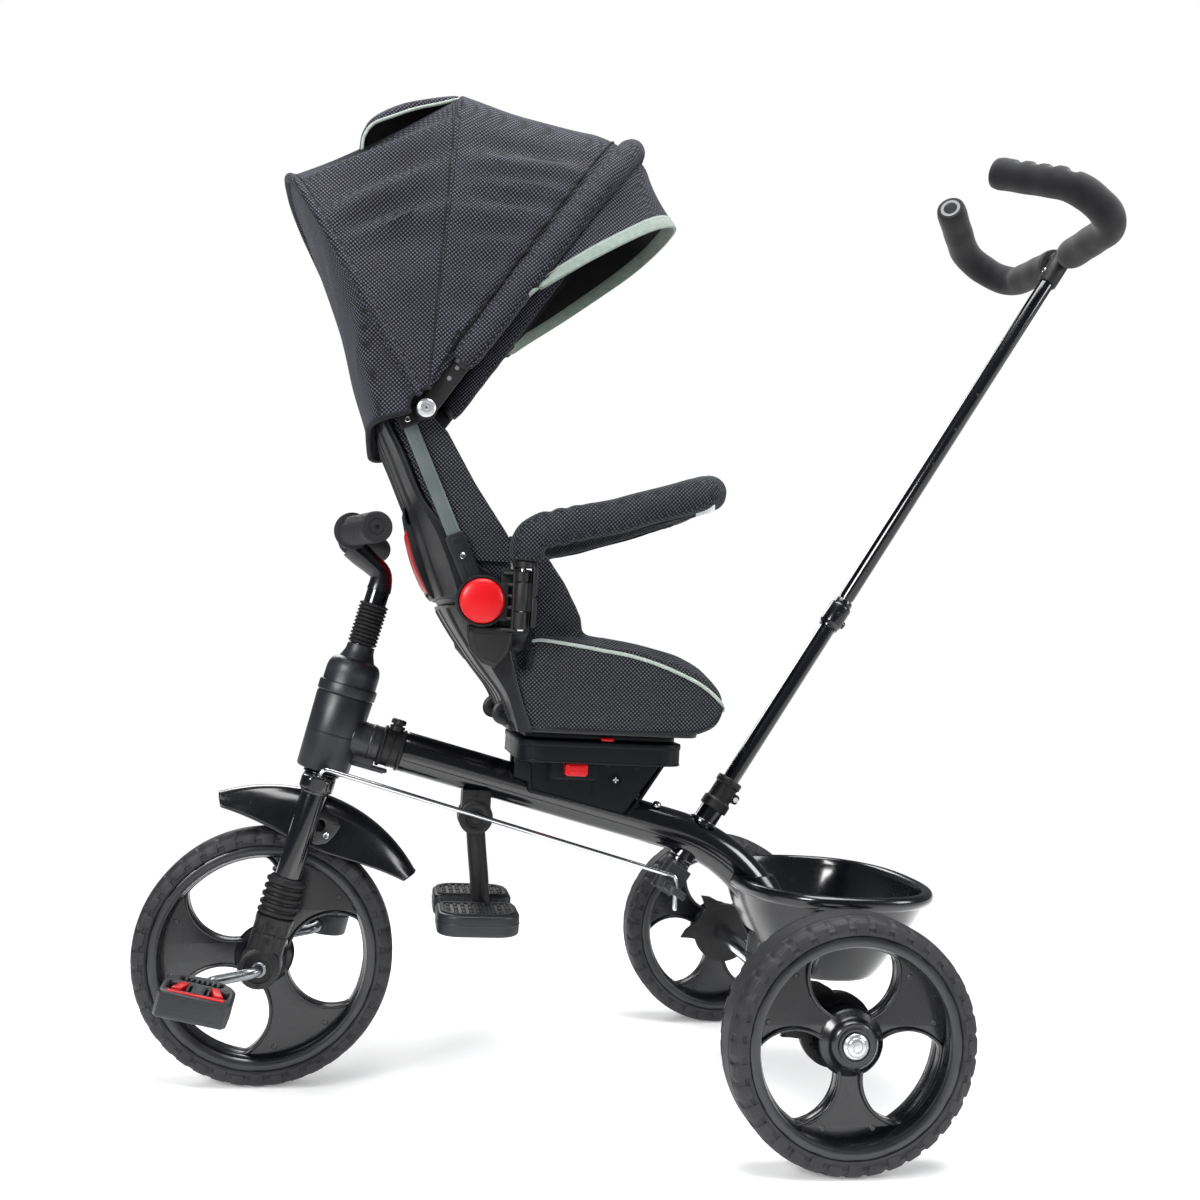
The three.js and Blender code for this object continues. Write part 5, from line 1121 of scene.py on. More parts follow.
tube = Shape().tube(tube_line(), 17, 48, 0, "soft", side=Y, other=20)
tube.lathe([(8.9, -27), (11.2, -27), (12, -26.2), (12, 42.6), (11.6, 43.6), (10.6, 44), (8.9, 44),
            (8.9, -27)], from_pole(0, 0, 0), POLE_UP, 48)
fillet(tube, from_pole(0, 0, 20.4), POLE_UP, 12, 3.2)
fillet(tube, from_pole(0, 0, -22), -POLE_UP, 12, 1.8)
rivet = at(372, -8, straight_z(372)) + at(math.sin(SLOPE), 0, math.cos(SLOPE)) * 19.6
tube.lathe([(0, 3.4), (2.2, 3.4), (3.6, 2.6), (4.4, 1.2), (4.6, -0.5), (0, -0.5)], rivet,
           at(math.sin(SLOPE), -0.35, math.cos(SLOPE)), 24, 1)
piece("main_tube_painted", tube, [GLOSS, CHROME], "frame", ["main_tube"])

HEAD_BOTTOM, CAP_BOTTOM = 183.4, 259.7
origin = from_head(0, 0, 0)


def neck_at(distance, high=FRAME_HEIGHT):
    return from_head(distance, 0, high)


neck = Shape().lathe([(11.7, HEAD_BOTTOM + 1), (15.4, HEAD_BOTTOM + 1), (16, HEAD_BOTTOM + 2), (16, 295),
                      (15, 296), (11.7, 296), (11.7, HEAD_BOTTOM + 1)], origin, HEAD_UP, 40)
neck.tube([neck_at(14), neck_at(120)], 13.6, 32, 0, "soft")
piece("head_tube_steel", neck, [MATT], "frame", ["head_tube"])

cover = Shape()
mid = FRAME_HEIGHT - 2
cover.lathe([(16.5, HEAD_BOTTOM), (23.6, HEAD_BOTTOM), (24.8, HEAD_BOTTOM + 0.6), (25.2, HEAD_BOTTOM + 2),
             (26.3, mid - 0.6), (25.7, mid - 0.2), (25.7, mid + 0.3), (26.6, mid + 0.7),
             (27.4, CAP_BOTTOM - 1.6), (26.6, CAP_BOTTOM - 0.4), (16.5, CAP_BOTTOM - 0.4),
             (16.5, HEAD_BOTTOM)], origin, HEAD_UP, 96)
for s in (-1, 1):
    line = [from_head(-math.sqrt(max(0, (25.2 + 2.2 * k / 10) ** 2 - 0.5)), s * 0.35,
                      HEAD_BOTTOM + 2 + 7.2 * k) for k in range(11)]
    cover.tube(line, 0.5, 8, 0, "round")
cover.tube([neck_at(d) for d in (19, 24, 30, 38, 45)], 17.5, 48, 0, "soft",
           swell=lambda share, a: 1 + 0.16 * max(0, 1 - share * 2.6) ** 2)
cover.tube([neck_at(d) for d in (36.6, 38.2)], 18, 48, 0, "soft")
cover.slab(oblong(22, 60, -7.8, 7.8, 3), FRAME_HEIGHT - 25, FRAME_HEIGHT - 21.6, from_head, edge=1.2)
cover.slab(oblong(20, 45, -7.5, 7.5, 1.5), FRAME_HEIGHT - 22.4, FRAME_HEIGHT - 12, from_head, edge=1)
for v in (-5.8, 5.8):
    cover.tube([from_head(25, v, FRAME_HEIGHT - 25.2), from_head(56, v, FRAME_HEIGHT - 25.2)], 1, 10, 0,
               "round")
cover.screw(from_head(50, 0, FRAME_HEIGHT - 25), -HEAD_UP, 3.4, 1.2, 1, 2)
piece("head_cover_shell", cover, [HEAD, CHROME, RECESS_SHADE], "frame", ["head_cover"])

cap = [(16.4, CAP_BOTTOM), (27.6, CAP_BOTTOM), (28.4, CAP_BOTTOM + 0.8), (28.6, CAP_BOTTOM + 8.6),
       (28, CAP_BOTTOM + 10.2), (26.6, CAP_BOTTOM + 10.7), (26.3, CAP_BOTTOM + 11.6),
       (26.3, CAP_BOTTOM + 21)]
cap += [(19.6 + 6.7 * math.cos(rad(a)), CAP_BOTTOM + 21.4 + 13.4 * math.sin(rad(a)))
        for a in range(10, 81, 10)]
cap += [(17.4, CAP_BOTTOM + 36.2), (16.2, CAP_BOTTOM + 39), (15, CAP_BOTTOM + 42), (13.9, CAP_BOTTOM + 45),
        (13.5, CAP_BOTTOM + 50.4), (12.8, CAP_BOTTOM + 51), (11.7, CAP_BOTTOM + 51), (11.7, 297),
        (16.4, 296.6), (16.4, CAP_BOTTOM)]
piece("head_cap_shell", Shape().lathe(cap, origin, HEAD_UP, 96), [HEAD], "frame", ["head_cap"])

collar = Shape()
middle = (45.7 + 69) / 2


def neck_ring(start, end, radius, edge=0.7):
    """A ring of the clamp collar, round the neck."""
    bore = 13.9
    collar.lathe([(bore, start), (radius - edge, start), (radius, start + edge), (radius, end - edge),
                  (radius - edge, end), (bore, end), (bore, start)], neck_at(0), HEAD_BACK, 72)


neck_ring(45.9, 68.9, 18.6)
for start in (45.9, 64.9):
    neck_ring(start, start + 4, 20.4, 1.2)
neck_ring(56.4, 58.4, 19.2, 0.5)
collar.lathe([(0, 16), (6.9, 16), (6.9, 22), (5, 22.4), (5, 23.6), (7, 24.2), (7, 27.6), (6, 28.8), (0, 29)],
             neck_at(middle), HEAD_UP, 48, 0, lambda a, i: 0.35 * math.cos(a * 12) if 5 <= i <= 7 else 0)
collar.slab(oblong(50, 65, -3, 3, 1), 19.5, 22.4, lambda u, v, w: neck_at(u, FRAME_HEIGHT + w) + Y * v,
            edge=0.8)
piece("clamp_collar_rings", collar, [MATT], "frame", ["clamp_collar"])

# ---- Fork, leg casings, fender ----
CROWN, CROWN_TOP, LEG = 168, 181, 45
fork = Shape()
for s in (-1, 1):
    fork.tube([from_head(0, s * LEG, 48), from_head(0, s * LEG, 172)], 12, 40, 0, "soft")
    fillet(fork, from_head(0, s * LEG, CROWN), -HEAD_UP, 12, 2.4)
hole = [arc(0, -48, 2.7, 0, 330, 11)]
fork.slab(oblong(-16, 16, -LEG - 13.8, LEG + 13.8, 14, 8), CROWN, CROWN_TOP, from_head, holes=hole, edge=3,
          steps=5)
fork.tube([from_head(0, 0, CROWN + 2), from_head(0, 0, 366)], 11, 40, 0, "soft")
fork.lathe([(0, CROWN_TOP - 1), (17.6, CROWN_TOP - 1), (17.6, CROWN_TOP + 0.6), (15, CROWN_TOP + 1.9),
            (0, CROWN_TOP + 1.9)], origin, HEAD_UP, 48)
fork.slab(oblong(-6.5, 6.5, -57.4, -38, 3), CROWN_TOP - 0.6, CROWN_TOP + 1.3, from_head, holes=hole, edge=0.6)
fork.slab(oblong(-6.5, 6.5, 38, 57.4, 3), CROWN_TOP - 0.6, CROWN_TOP + 1.3, from_head, edge=0.6)
for s in (-1, 1):
    fork.slab(oblong(-6.5, 6.5, CROWN + 1, CROWN_TOP + 1, 2), s * 58.6 - 0.7, s * 58.6 + 0.4, plate_head,
              edge=0.5)
piece("fork_painted", fork, [GLOSS, CHROME], "steering", ["fork"])


def leg_casing(side, name):
    """A ribbed boot over a ring-stepped casing with a boss round the front axle."""
    shape = Shape()
    centre = from_head(0, side * LEG, 0)
    boot = [(12.6, 47)]
    for k in range(5):
        low = 47.6 + 7.3 * k
        boot += [(15.4, low), (15.9, low + 0.9), (18.1, low + 2), (18.4, low + 3.3), (18.1, low + 4.5),
                 (15.9, low + 5.6)]
    boot += [(15.2, 84), (14.2, 84.6), (12.6, 84.6), (12.6, 47)]
    shape.lathe(boot, centre, HEAD_UP, 48, 1)
    body = [(0, 4), (13.5, 4), (16.4, 6.4), (16.9, 10), (17, 30), (16.2, 31), (16.2, 32.2), (17, 33.2),
            (17, 41), (17.6, 42), (17.6, 46.4), (16.8, 47.4), (0, 47.4)]
    shape.lathe(body, centre, HEAD_UP, 48, 0)
    axle = from_head(0, 0, 0)
    boss = [(5.7, 30), (17, 30), (19.2, 31.5), (19.5, 33.5), (19.5, 58), (18.6, 60.4), (16.4, 61.6),
            (13.4, 62), (13, 61), (9.6, 61), (9.2, 62), (5.7, 62), (5.7, 30)]
    shape.turned(side, boss, axle, 64)
    for v in (-7, 7):
        shape.tube([from_head(v, side * (LEG + 14.6), 14), from_head(v * 0.9, side * (LEG + 15.2), 40)],
                   1.6, 12, 0, "round")
    shape.screw(from_head(0, side * (LEG + 16.6), 27), Y * side, 3.4, 1.2, 3, 3)
    shape.screw(from_head(0, side * (LEG + 16.9), 39.5), Y * side, 2.4, 0.9, 3, 3)
    for a in (40, 140, 270):
        spot = axle + at(math.cos(rad(a)) * 14.9, side * 61.3, math.sin(rad(a)) * 14.9)
        shape.lathe([(0, 0.8), (1.5, 0.8), (1.9, 0.2), (1.9, -1), (0, -1)], spot, Y * side, 14, 3)
    piece(f"leg_casing_{name}", shape, [CASING, RUBBER, CHROME, RECESS_SHADE], "steering", [f"fork_end_{name}"])


for side, name in SIDES:
    leg_casing(side, name)

fender = Shape()
count, across = 56, 22
FENDER_REAR, FENDER_FRONT = 108, 31


def fender_ring(angle, share, wall):
    half = 30 * (0.35 + 0.65 * math.sin(math.pi * (0.12 + 0.76 * share)))
    drop = 7 + 39 * math.sin(math.pi * (0.03 + 0.94 * share)) ** 0.9
    row = []
    for i in range(across + 1):
        s = -1 + 2 * i / across
        crease = 1.3 * math.exp(-((abs(s) - 0.86) / 0.05) ** 2) if wall == 0 else 0
        r = 163 - wall - drop * abs(s) ** 2.4 + crease - 0.4
        row.append(at(r * math.cos(angle), (half - wall) * s, FRONT_RADIUS + r * math.sin(angle)))
    return row


rings = []
for k in range(count + 1):
    share = k / count
    angle = rad(FENDER_REAR + (FENDER_FRONT - FENDER_REAR) * share)
    rings.append(fender_ring(angle, share, 0) + fender_ring(angle, share, 2.4)[::-1])
fender.rings(rings)
for rim in (0, across):
    fender.tube([ring[rim].lerp(ring[2 * across + 1 - rim], 0.5) for ring in rings], 1.7, 12, 0, "round")
for ring in (rings[0], rings[-1]):
    fender.tube([ring[i].lerp(ring[2 * across + 1 - i], 0.5) for i in range(across + 1)], 1.7, 12, 0, "round")
gusset = [(0, 150), (6, 153), (13, 152), (25, 147), (33, 140), (30, 130), (25, 121), (12, 115), (0, 112)]
opening = arc(13, 136, 5.5, 0, 330, 11)
for s in (-1, 1):
    fender.plate(s, even_loop(gusset, 60), 26.5, 29.5, plate_head, holes=[opening], edge=0.7)
    fender.lathe([(0, 27), (7, 27), (7, 32.4), (6.3, 32.8), (0, 32.8)], from_head(4, 0, 130), Y * s, 32)
    fender.screw(from_head(22, s * 29.3, 128), Y * s, 3, 1, 1, 2)
piece("fender_moulding", fender, [POLISHED, CHROME, RECESS_SHADE], "steering", ["fender"])

# ---- Bellows, stem and handlebar ----
BELLOWS = CAP_BOTTOM + 51.5
boot = [(11.7, BELLOWS)]
for k in range(11):
    low = BELLOWS + 0.4 + 3.78 * k
    boot += [(12.3, low), (14, low + 1.1), (14.3, low + 1.9), (14, low + 2.7)]
boot += [(12.3, 353), (11.7, 353), (11.7, BELLOWS)]
bellows = Shape().lathe(boot, origin, HEAD_UP, 64, 0, lambda a, i: 0.12 * math.sin(3 * a + i))
piece("bellows_rubber", bellows, [RUBBER], "steering", ["bellows"])

REACH, BAR = -43.6, 411
stem = Shape()
knots = round_corners([from_head(0, 0, 366.4), from_head(0, 0, 372), from_head(-2, 0, 384),
                       from_head(REACH + 6, 0, BAR - 10.4)], 14, 8)
stem.tube(resampled(knots, 3), 11, 40, 0, "flat", side=Y, other=12,
          swell=lambda share, a: 1 - 0.14 * math.sin(math.pi * min(1, share * 1.3)) * abs(math.sin(a)))
stem.lathe([(9.4, -19.5), (12.2, -19.5), (13, -18.7), (13, 18.7), (12.2, 19.5), (9.4, 19.5), (9.4, -19.5)],
           from_head(REACH, 0, BAR), Y, 48)
for v in (-11, 11):
    stem.lathe([(12.6, v - 2.4), (13.2, v - 1.9), (13.2, v + 1.9), (12.6, v + 2.4), (9.6, v + 2.4),
                (9.6, v - 2.4), (12.6, v - 2.4)], from_head(REACH, 0, BAR), Y, 48)
piece("stem_painted", stem, [POLISHED], "steering", ["gooseneck"], slot="black_gloss_paint")


def along_grip(y):
    share = (abs(y) - 34) / 116
    return from_head(REACH + 28 * share, y, BAR + 3.5 * share)


knots = across_middle([along_grip(146), from_head(REACH, 34, BAR)])
bar = Shape().tube(resampled(round_corners(knots, 40, 8), 5), 9, 32, 0, "soft")
piece("handlebar_painted", bar, [GLOSS], "steering", ["handlebar"])

for side, name in SIDES:
    start, end = along_grip(50 * side), along_grip(150 * side)
    way = (end - start).normalized()
    length = (end - start).length
    grip = Shape()
    profile = [(9.7, 0), (16.6, 0), (17.4, 0.8), (17.5, 2.6), (16.8, 3.8), (15.2, 4.4), (14.2, 6)]
    for k in range(19):
        low = 8 + 4.5 * k
        profile += [(13.2, low), (13.2, low + 0.8), (14, low + 1.4), (14, low + 3.9)]
    profile += [(14, length - 6), (13.2, length - 5.4), (13.2, length - 4.6), (14, length - 4),
                (13.9, length - 1.4), (12.6, length - 0.2), (8, length), (7.4, length - 0.7),
                (6.2, length - 0.7), (5.6, length), (2, length), (1.6, length - 2), (0, length - 2),
                (0, length - 2.6), (9.7, length - 2.6), (9.7, 0)]
    grip.lathe(profile, start, way, 48, 0,
               lambda a, i: -0.5 * max(0, math.cos(3 * a)) ** 8 if 7 < i < 84 else 0)
    # A dark disc inside the grip's open end: painted shade in the bore.
    grip.lathe([(0, length - 1.9), (1.6, length - 1.9), (1.6, length - 1.5), (0, length - 1.5)], start, way,
               12, 1)
    piece(f"handlebar_grip_{name}_rubber", grip, [GRIP, RECESS_SHADE], "steering", [f"handlebar_grip_{name}"])

# ---- Steering rod, its lever and the pole ----
eye = from_pole(0, -48, -52)
knots = round_corners([from_head(0, -48, CROWN + 4), from_head(0, -48, CROWN_TOP + 9), eye + Z * 14,
                       eye - Z * 17], 6, 8)
rod = Shape().tube(resampled(knots, 4), 2.3, 16, 0, "round")
piece("steering_rod_wire", rod, [CHROME], "steering_rod", ["steering_rod"])
moulded("steer_lever_casting", "steer_lever", LEVER, "pole", voxel=0.7, rounds=4)

LOWER_TOP = 272
pole = Shape()
pole.lathe([(7.2, -61), (8, -61), (8.5, -60.4), (8.5, LOWER_TOP - 0.8), (8.2, LOWER_TOP), (8.05, LOWER_TOP),
            (8.05, 140), (7.2, 136), (7.2, -61)], from_pole(0, 0, 0), POLE_UP, 40)
pole.lathe([(8.05, 258), (9.4, 258), (10.2, 258.8), (10.4, 262), (11.3, 263.4), (11.5, 265), (11.5, 283.6),
            (11, 285), (9.6, 286.2), (9.2, 290.8), (8.6, 292), (8.05, 292), (8.05, 258)],
           from_pole(0, 0, 0), POLE_UP, 40, 1)
pole.lathe([(0, 8), (4, 8), (4, 12.6), (3.4, 13.6), (2.2, 14), (0, 14)], from_pole(0, 0, 269), POLE_BACK,
           24, 1)
pole.screw(from_pole(0, -11, 275), -Y, 2.2, 0.8, 2, 1)
piece("pole_lower_painted", pole, [GLOSS, POLISHED, MATT], "pole", ["pole_lower"])

upper = Shape().lathe([(0, 100), (6.6, 100), (6.6, 292.4), (7.9, 296), (7.9, 725.4), (7.3, 726), (0, 726)],
                      from_pole(0, 0, 0), POLE_UP, 48)
# Dark discs for the pole's holes: painted shade, the holes are not cut.
for k in range(6):
    upper.lathe([(0, 0.15), (1.6, 0.15), (1.9, 0), (1.9, -1), (0, -1)], from_pole(0, -7.8, 330 + 45 * k),
                -Y, 16, 1)
piece("pole_upper_painted", upper, [GLOSS, RECESS_SHADE], "handle", ["pole_upper"])

CLAMP = 44.3
clamp = Shape()
clamp.lathe([(12.3, CLAMP - 8), (13.8, CLAMP - 8), (14.5, CLAMP - 7.2), (14.5, CLAMP + 1),
             (13.4, CLAMP + 2.4), (12.2, CLAMP + 3.4), (12, CLAMP + 19), (13.4, CLAMP + 20.4),
             (13.5, CLAMP + 25.6), (12.6, CLAMP + 27), (9, CLAMP + 27), (9, CLAMP), (12.3, CLAMP),
             (12.3, CLAMP - 8)], from_pole(0, 0, 0), POLE_UP, 48)
clamp.slab(oblong(9, 18, CLAMP + 7, CLAMP + 17, 3), -4, 4, lambda u, v, w: from_pole(u, w, v), edge=1)
clamp.lathe([(0, -5.4), (2.6, -5.4), (3, -4.8), (3, 4.8), (2.6, 5.4), (0, 5.4)],
            from_pole(14.5, 0, CLAMP + 12), Y, 20, 1)
piece("pole_clamp_plastic", clamp, [MATT, CHROME], "frame", ["pole_clamp"])

# ---- Parent's handle ----
TOP, HALF, ARM = 738, 119, 118
knots = [from_pole(-ARM, -62, TOP), from_pole(-62, -HALF - 8, TOP), from_pole(-4, -HALF, TOP),
         from_pole(0, -30, TOP), from_pole(0, 30, TOP), from_pole(-4, HALF, TOP),
         from_pole(-62, HALF + 8, TOP), from_pole(-ARM, 62, TOP)]
ring = resampled(round_corners(knots, 42, 12), 3)
handle = Shape().tube(ring, 8, 24, 0, "soft")
handle.lathe([(6.9, TOP - 34), (9.8, TOP - 34), (10.5, TOP - 33), (10.5, TOP - 12), (10.5, TOP + 2.6),
              (9.4, TOP + 4), (0, TOP + 4), (0, TOP - 11), (6.9, TOP - 11), (6.9, TOP - 34)],
             from_pole(0, 0, 0), POLE_UP, 48, 1)
for s in (-1, 1):
    handle.tube([from_pole(0, s * 8, TOP), from_pole(0, s * 13.4, TOP)], 10.4, 32, 1, "soft")
handle.screw(from_pole(-10.2, 0, TOP - 22), -POLE_BACK, 3, 1, 2, 1)
piece("handle_bar_painted", handle, [GLOSS, MATT, CHROME], "handle", ["handle_bar"])


def foam_grip(side, name):
    """A foam sleeve. The near one has pale finger notches along the top of its free arm."""
    line = [p for p in ring if p.y * side >= 14][::side]
    end, spacing, sides = line[-1], 1.5, 36
    line = resampled([*line, end + (end - line[-2]).normalized() * 5.6], spacing)
    total = len(line) - 1

    def notched(share, angle):
        if side > 0:
            return 0
        near = min(abs(share - 0.665 - 0.078 * k) for k in range(4))
        round_way = math.remainder(angle + 0.5, 2 * math.pi)
        return math.exp(-(near / 0.019) ** 4) * math.exp(-(round_way / 0.6) ** 4)

    def swell(share, angle):
        length = total * spacing
        ends = sum(0.05 * math.exp(-(far * length / 3) ** 2) for far in (share, 1 - share))
        return 1 - 0.17 * notched(share, angle) - ends + 0.012 * math.sin(share * 47 + side)

    shape = Shape().tube(line, 16, sides, 0, "soft", side=POLE_UP, swell=swell)
    for i in range(total):
        for k in range(sides):
            if notched((i + 0.5) / total, 2 * math.pi * (k + 0.5) / sides) > 0.62:
                shape.paints[(i + 3) * sides + k] = 1
    tip, way = line[-1], (line[-1] - line[-2]).normalized()
    shape.lathe([(7, -1), (11, -1), (11.4, 1.4), (10.6, 2.2), (7.6, 2.2), (7, 1.4), (7, -1)], tip, way, 40, 1)
    # A dark disc inside the open tip: painted shade in the tube's end.
    shape.lathe([(0, 1), (7.2, 1), (7.2, 1.3), (0, 1.3)], tip, way, 32, 2)
    piece(f"handle_foam_{name}", shape, [FOAM, GREY, RECESS_SHADE], "handle", [f"handle_grip_{name}"])


for side, name in SIDES:
    foam_grip(side, name)


# ---- Seat base and turntable ----
moulded("seat_base_tray", "seat_base", BASE, "frame", voxel=1.1, rounds=5)
base = Shape()
tray = oblong(226.6, 385.4, -84.4, 84.4, 22, 10)
inner = oblong(231, 381, -80, 80, 18, 10)
base.slab(tray, 337.4, 343.9, holes=[inner], edge=1.6)
base.slab(oblong(226.9, 385.1, -84.1, 84.1, 22, 10), 322.6, 325.4,
          holes=[oblong(229, 383, -82, 82, 20, 10)], edge=0.9)
for s in (-1, 1):
    base.plate(s, oblong(260, 306, 305.5, 322.8, 3), 60.6, 63.4, edge=0.8)
    for x, z in ((247, 318.4), (322, 318), (352, 316)):
        # Dark discs for holes in the base's sides: painted shade.
        base.lathe([(0, 0.9), (1.6, 0.9), (2.4, 0.2), (2.4, -1), (0, -1)], at(x, s * 27, z), Y * s, 20, 2)
    base.plate(s, [(229.4, 324), (229.4, 303), (247, 297), (247, 324)], 18, 26.4)
    base.lathe([(5.2, -1), (6.6, -1), (6.6, 0.9), (5.2, 0.9), (5.2, -1)], at(330, s * 27, 303), Y * s, 28)
    base.screw(at(330, s * 26.6, 303), Y * s, 4.9, 1.2, 0, 1)
    base.screw(at(352, s * 26.6, 289), Y * s, 3, 1.2, 0, 2)
    for x in (262, 285, 308):
        base.tube([at(x, s * 27.1, 300 - (x - 262) * 0.26), at(x, s * 27.1, 318)], 0.9, 10, 0, "round")
    rim = [(244, 321), (247, 291), (344, 268), (378, 321)]
    base.tube([at(x, s * 26.9, z) for x, z in rim], 1.1, 10, 0, "round")
base.slab([(354, 285), (357, 283.4), (379.6, 319.4), (376.6, 321)], -26.4, 26.4, plate_xz, edge=0.6)
piece("seat_base_details", base, [BASE, CHROME, RECESS_SHADE], "frame")

table = Shape()
notch = [(303.4, -77.4), (317.6, -77.4), (317.6, -60), (303.4, -60)]
table.slab(oblong(233, 379, -78, 78, 16, 8), 344.6, 350.9, holes=[notch], edge=1.5)
table.lathe([(0, 331.6), (67, 331.6), (68, 332.6), (68, 346), (0, 346)], at(SEAT_X, 0, 0), Z, 96)
for k in range(4):
    a = rad(45 + 90 * k)
    table.screw(at(SEAT_X + 58 * math.cos(a), 56 * math.sin(a), 350.4), Z, 4, 1.2, 1, 2)
piece("turntable_plate", table, [BASE, CHROME, RECESS_SHADE], "seat", ["turntable"])

tab = Shape().slab(oblong(304.1, 316.9, -84.8, -64.2, 2.6), 344.6, 347.6, edge=0.8)
for k in range(4):
    tab.tube([at(306, -83.4 + 2.3 * k, 347.5), at(315, -83.4 + 2.3 * k, 347.5)], 0.5, 8, 0, "round")
piece("release_tab_red", tab, [RED], "release_tab", ["release_tab"])

button = Shape().slab(oblong(272.2, 293.8, 310.2, 322.6, 3, 6), -79.8, -62.2, plate_xz, edge=1.6)
button.slab(oblong(275, 291, 312.6, 320.4, 2, 5), -80.5, -78, plate_xz, edge=0.7)
for k in range(5):
    button.tube([at(277 + 3 * k, -80.3, 314), at(277 + 3 * k, -80.3, 319)], 0.6, 8, 0, "round")
piece("swivel_button_red", button, [RED], "swivel_button", ["swivel_button"])

# ---- Seat shell and back shell ----
SHELL_LINE = [(352, 220), (362, 216), (385, 206), (412, 181), (443, 158), (466, 143), (503, 127),
              (530, 118), (556, 110), (592, 94), (632, 76)]
FLANGE_LINE = [(352, 235), (385, 222), (412, 214), (443, 206), (469, 203), (492, 198), (503, 170),
               (530, 150), (565, 119), (600, 102), (632, 84)]
CORNER_LINE = [(352, 222), (385, 211), (412, 192), (443, 174), (469, 163), (503, 150), (530, 138),
               (565, 115), (600, 99), (632, 81)]
SHELL_FOOT, SHELL_TOP = SHELL_LINE[0][0], SHELL_LINE[-1][0]


def read_line(line, z):
    """The line's X at this height, rounded off between its points."""
    heights, places = zip(*line)
    reach = min(8, z - heights[0], heights[-1] - z)
    steps = 7
    return sum(float(np.interp(z + reach * (2 * k / (steps - 1) - 1), heights, places))
               for k in range(steps)) / steps


def shell_row(z, inset):
    """The shell's outer face at this height, from one side to the other, moved in by so much."""
    middle, corner = read_line(SHELL_LINE, z), read_line(CORNER_LINE, z)
    row, count = [], 48
    for i in range(count + 1):
        s = math.sin(math.pi / 2 * (-1 + 2 * i / count))
        row.append(at(middle + (corner - middle) * abs(s) ** 2.6 + inset, s * (SHELL_HALF - inset), z))
    return row


def flange_at(z):
    return max(read_line(FLANGE_LINE, z), read_line(CORNER_LINE, z) + 6)


def shell_ring(z):
    """The shell's whole section at this height: its outer face, its two flanges and its inner face."""
    flange, side = flange_at(z), SHELL_HALF
    edge = [at(flange - 1, -side, z), *shell_row(z, 0), at(flange - 1, side, z), at(flange, side - 1.2, z)]
    inner = [at(flange, -side + 1.2, z), at(flange, -side + 2.6, z), at(flange - 1, -side + 3.5, z),
             *shell_row(z, 3.5), at(flange - 1, side - 3.5, z), at(flange, side - 2.6, z)]
    return edge + inner[::-1]


def levels(low, high, step):
    """Even levels from low to high, about a step apart."""
    count = round((high - low) / step)
    return [low + (high - low) * k / count for k in range(count + 1)]


def shell_ridges(shape, low, high):
    """Moulded ribs down the back and a rolled rim along each flange."""
    for share, radius in ((0, 1.6), (0.34, 1.3), (-0.34, 1.3), (0.68, 2.2), (-0.68, 2.2)):
        line = []
        for z in levels(low, high, 6):
            middle, corner = read_line(SHELL_LINE, z), read_line(CORNER_LINE, z)
            line.append(at(middle + (corner - middle) * abs(share) ** 2.6 + 0.3, share * SHELL_HALF, z))
        shape.tube(line, radius, 14, 0, "round")
    for s in (-1, 1):
        line = [at(flange_at(z) - 1.2, s * (SHELL_HALF - 1.4), z) for z in levels(low, high, 5)]
        shape.tube(line, 1.9, 14, 0, "round")


tub = Shape().rings([shell_ring(z) for z in levels(352, 464.6, 3)])
shell_ridges(tub, 356, 461)
tub.slab(oblong(215, 396, -102, 102, 20, 8), 351.4, 358.9, edge=2)
for s in (-1, 1):
    loop = [at(216, s * 60, 373), at(210.6, s * 60, 372), at(207.6, s * 60, 367), at(209, s * 60, 362),
            at(216, s * 60, 360)]
    tub.tube(smooth_line(loop, 6), 2.4, 14, 0, "round", side=Y, other=6)
piece("seat_shell_moulding", tub, [SHELL], "seat", ["seat_shell"], smooth=42)

back = Shape().rings([shell_ring(z) for z in levels(471, 632, 3)])
back.rings([shell_row(z, 4.1) + shell_row(z, 5.6)[::-1] for z in levels(454, 474, 4)])
shell_ridges(back, 474, 629)


def housing_face(z):
    """The X of the lever housing's bowed outer face at this height."""
    return read_line(SHELL_LINE, z) - 2 - 3 * math.sin(math.pi * (z - 466) / 98)


def housing_part(y0, y1, z0, z1):
    """A block on the back shell whose outer face follows the housing's bow."""
    rings = []
    for z in levels(z0, z1, 3):
        face = housing_face(z) + 1.6 * (1 - min(1, (z - z0) / 4, (z1 - z) / 4)) ** 2
        bevel, inner = 1.2, read_line(SHELL_LINE, z) + 0.8
        section = [(face + bevel, y0), (face, y0 + bevel), (face, y1 - bevel), (face + bevel, y1),
                   (inner, y1), (inner, y0)]
        rings.append([at(x, y, z) for x, y in section])
    back.rings(rings)


housing_part(-41, -30.8, 472, 557)
housing_part(30.8, 41, 472, 557)
housing_part(-41, 41, 541, 557.5)
housing_part(-41, 41, 471.4, 475)
STRUT_BACK, STRUT_RISE = 77, 164  # from the recline pivot to the strut's top
STRUT_LEAN = math.atan2(STRUT_BACK, STRUT_RISE)
STRUT_REACH = math.hypot(STRUT_BACK, STRUT_RISE)


def up_strut(u, v, w):
    """Places u across the strut, v up it from the recline pivot, and w along Y."""
    c, s = math.cos(STRUT_LEAN), math.sin(STRUT_LEAN)
    return at(RECLINE_X - s * v + c * u, w, RECLINE_Z + c * v + s * u)


RECLINE = at(RECLINE_X, 0, RECLINE_Z)


def beside_strut(side):
    """The same, with w outwards on this side."""
    return lambda u, v, w: up_strut(u, v, w * side)


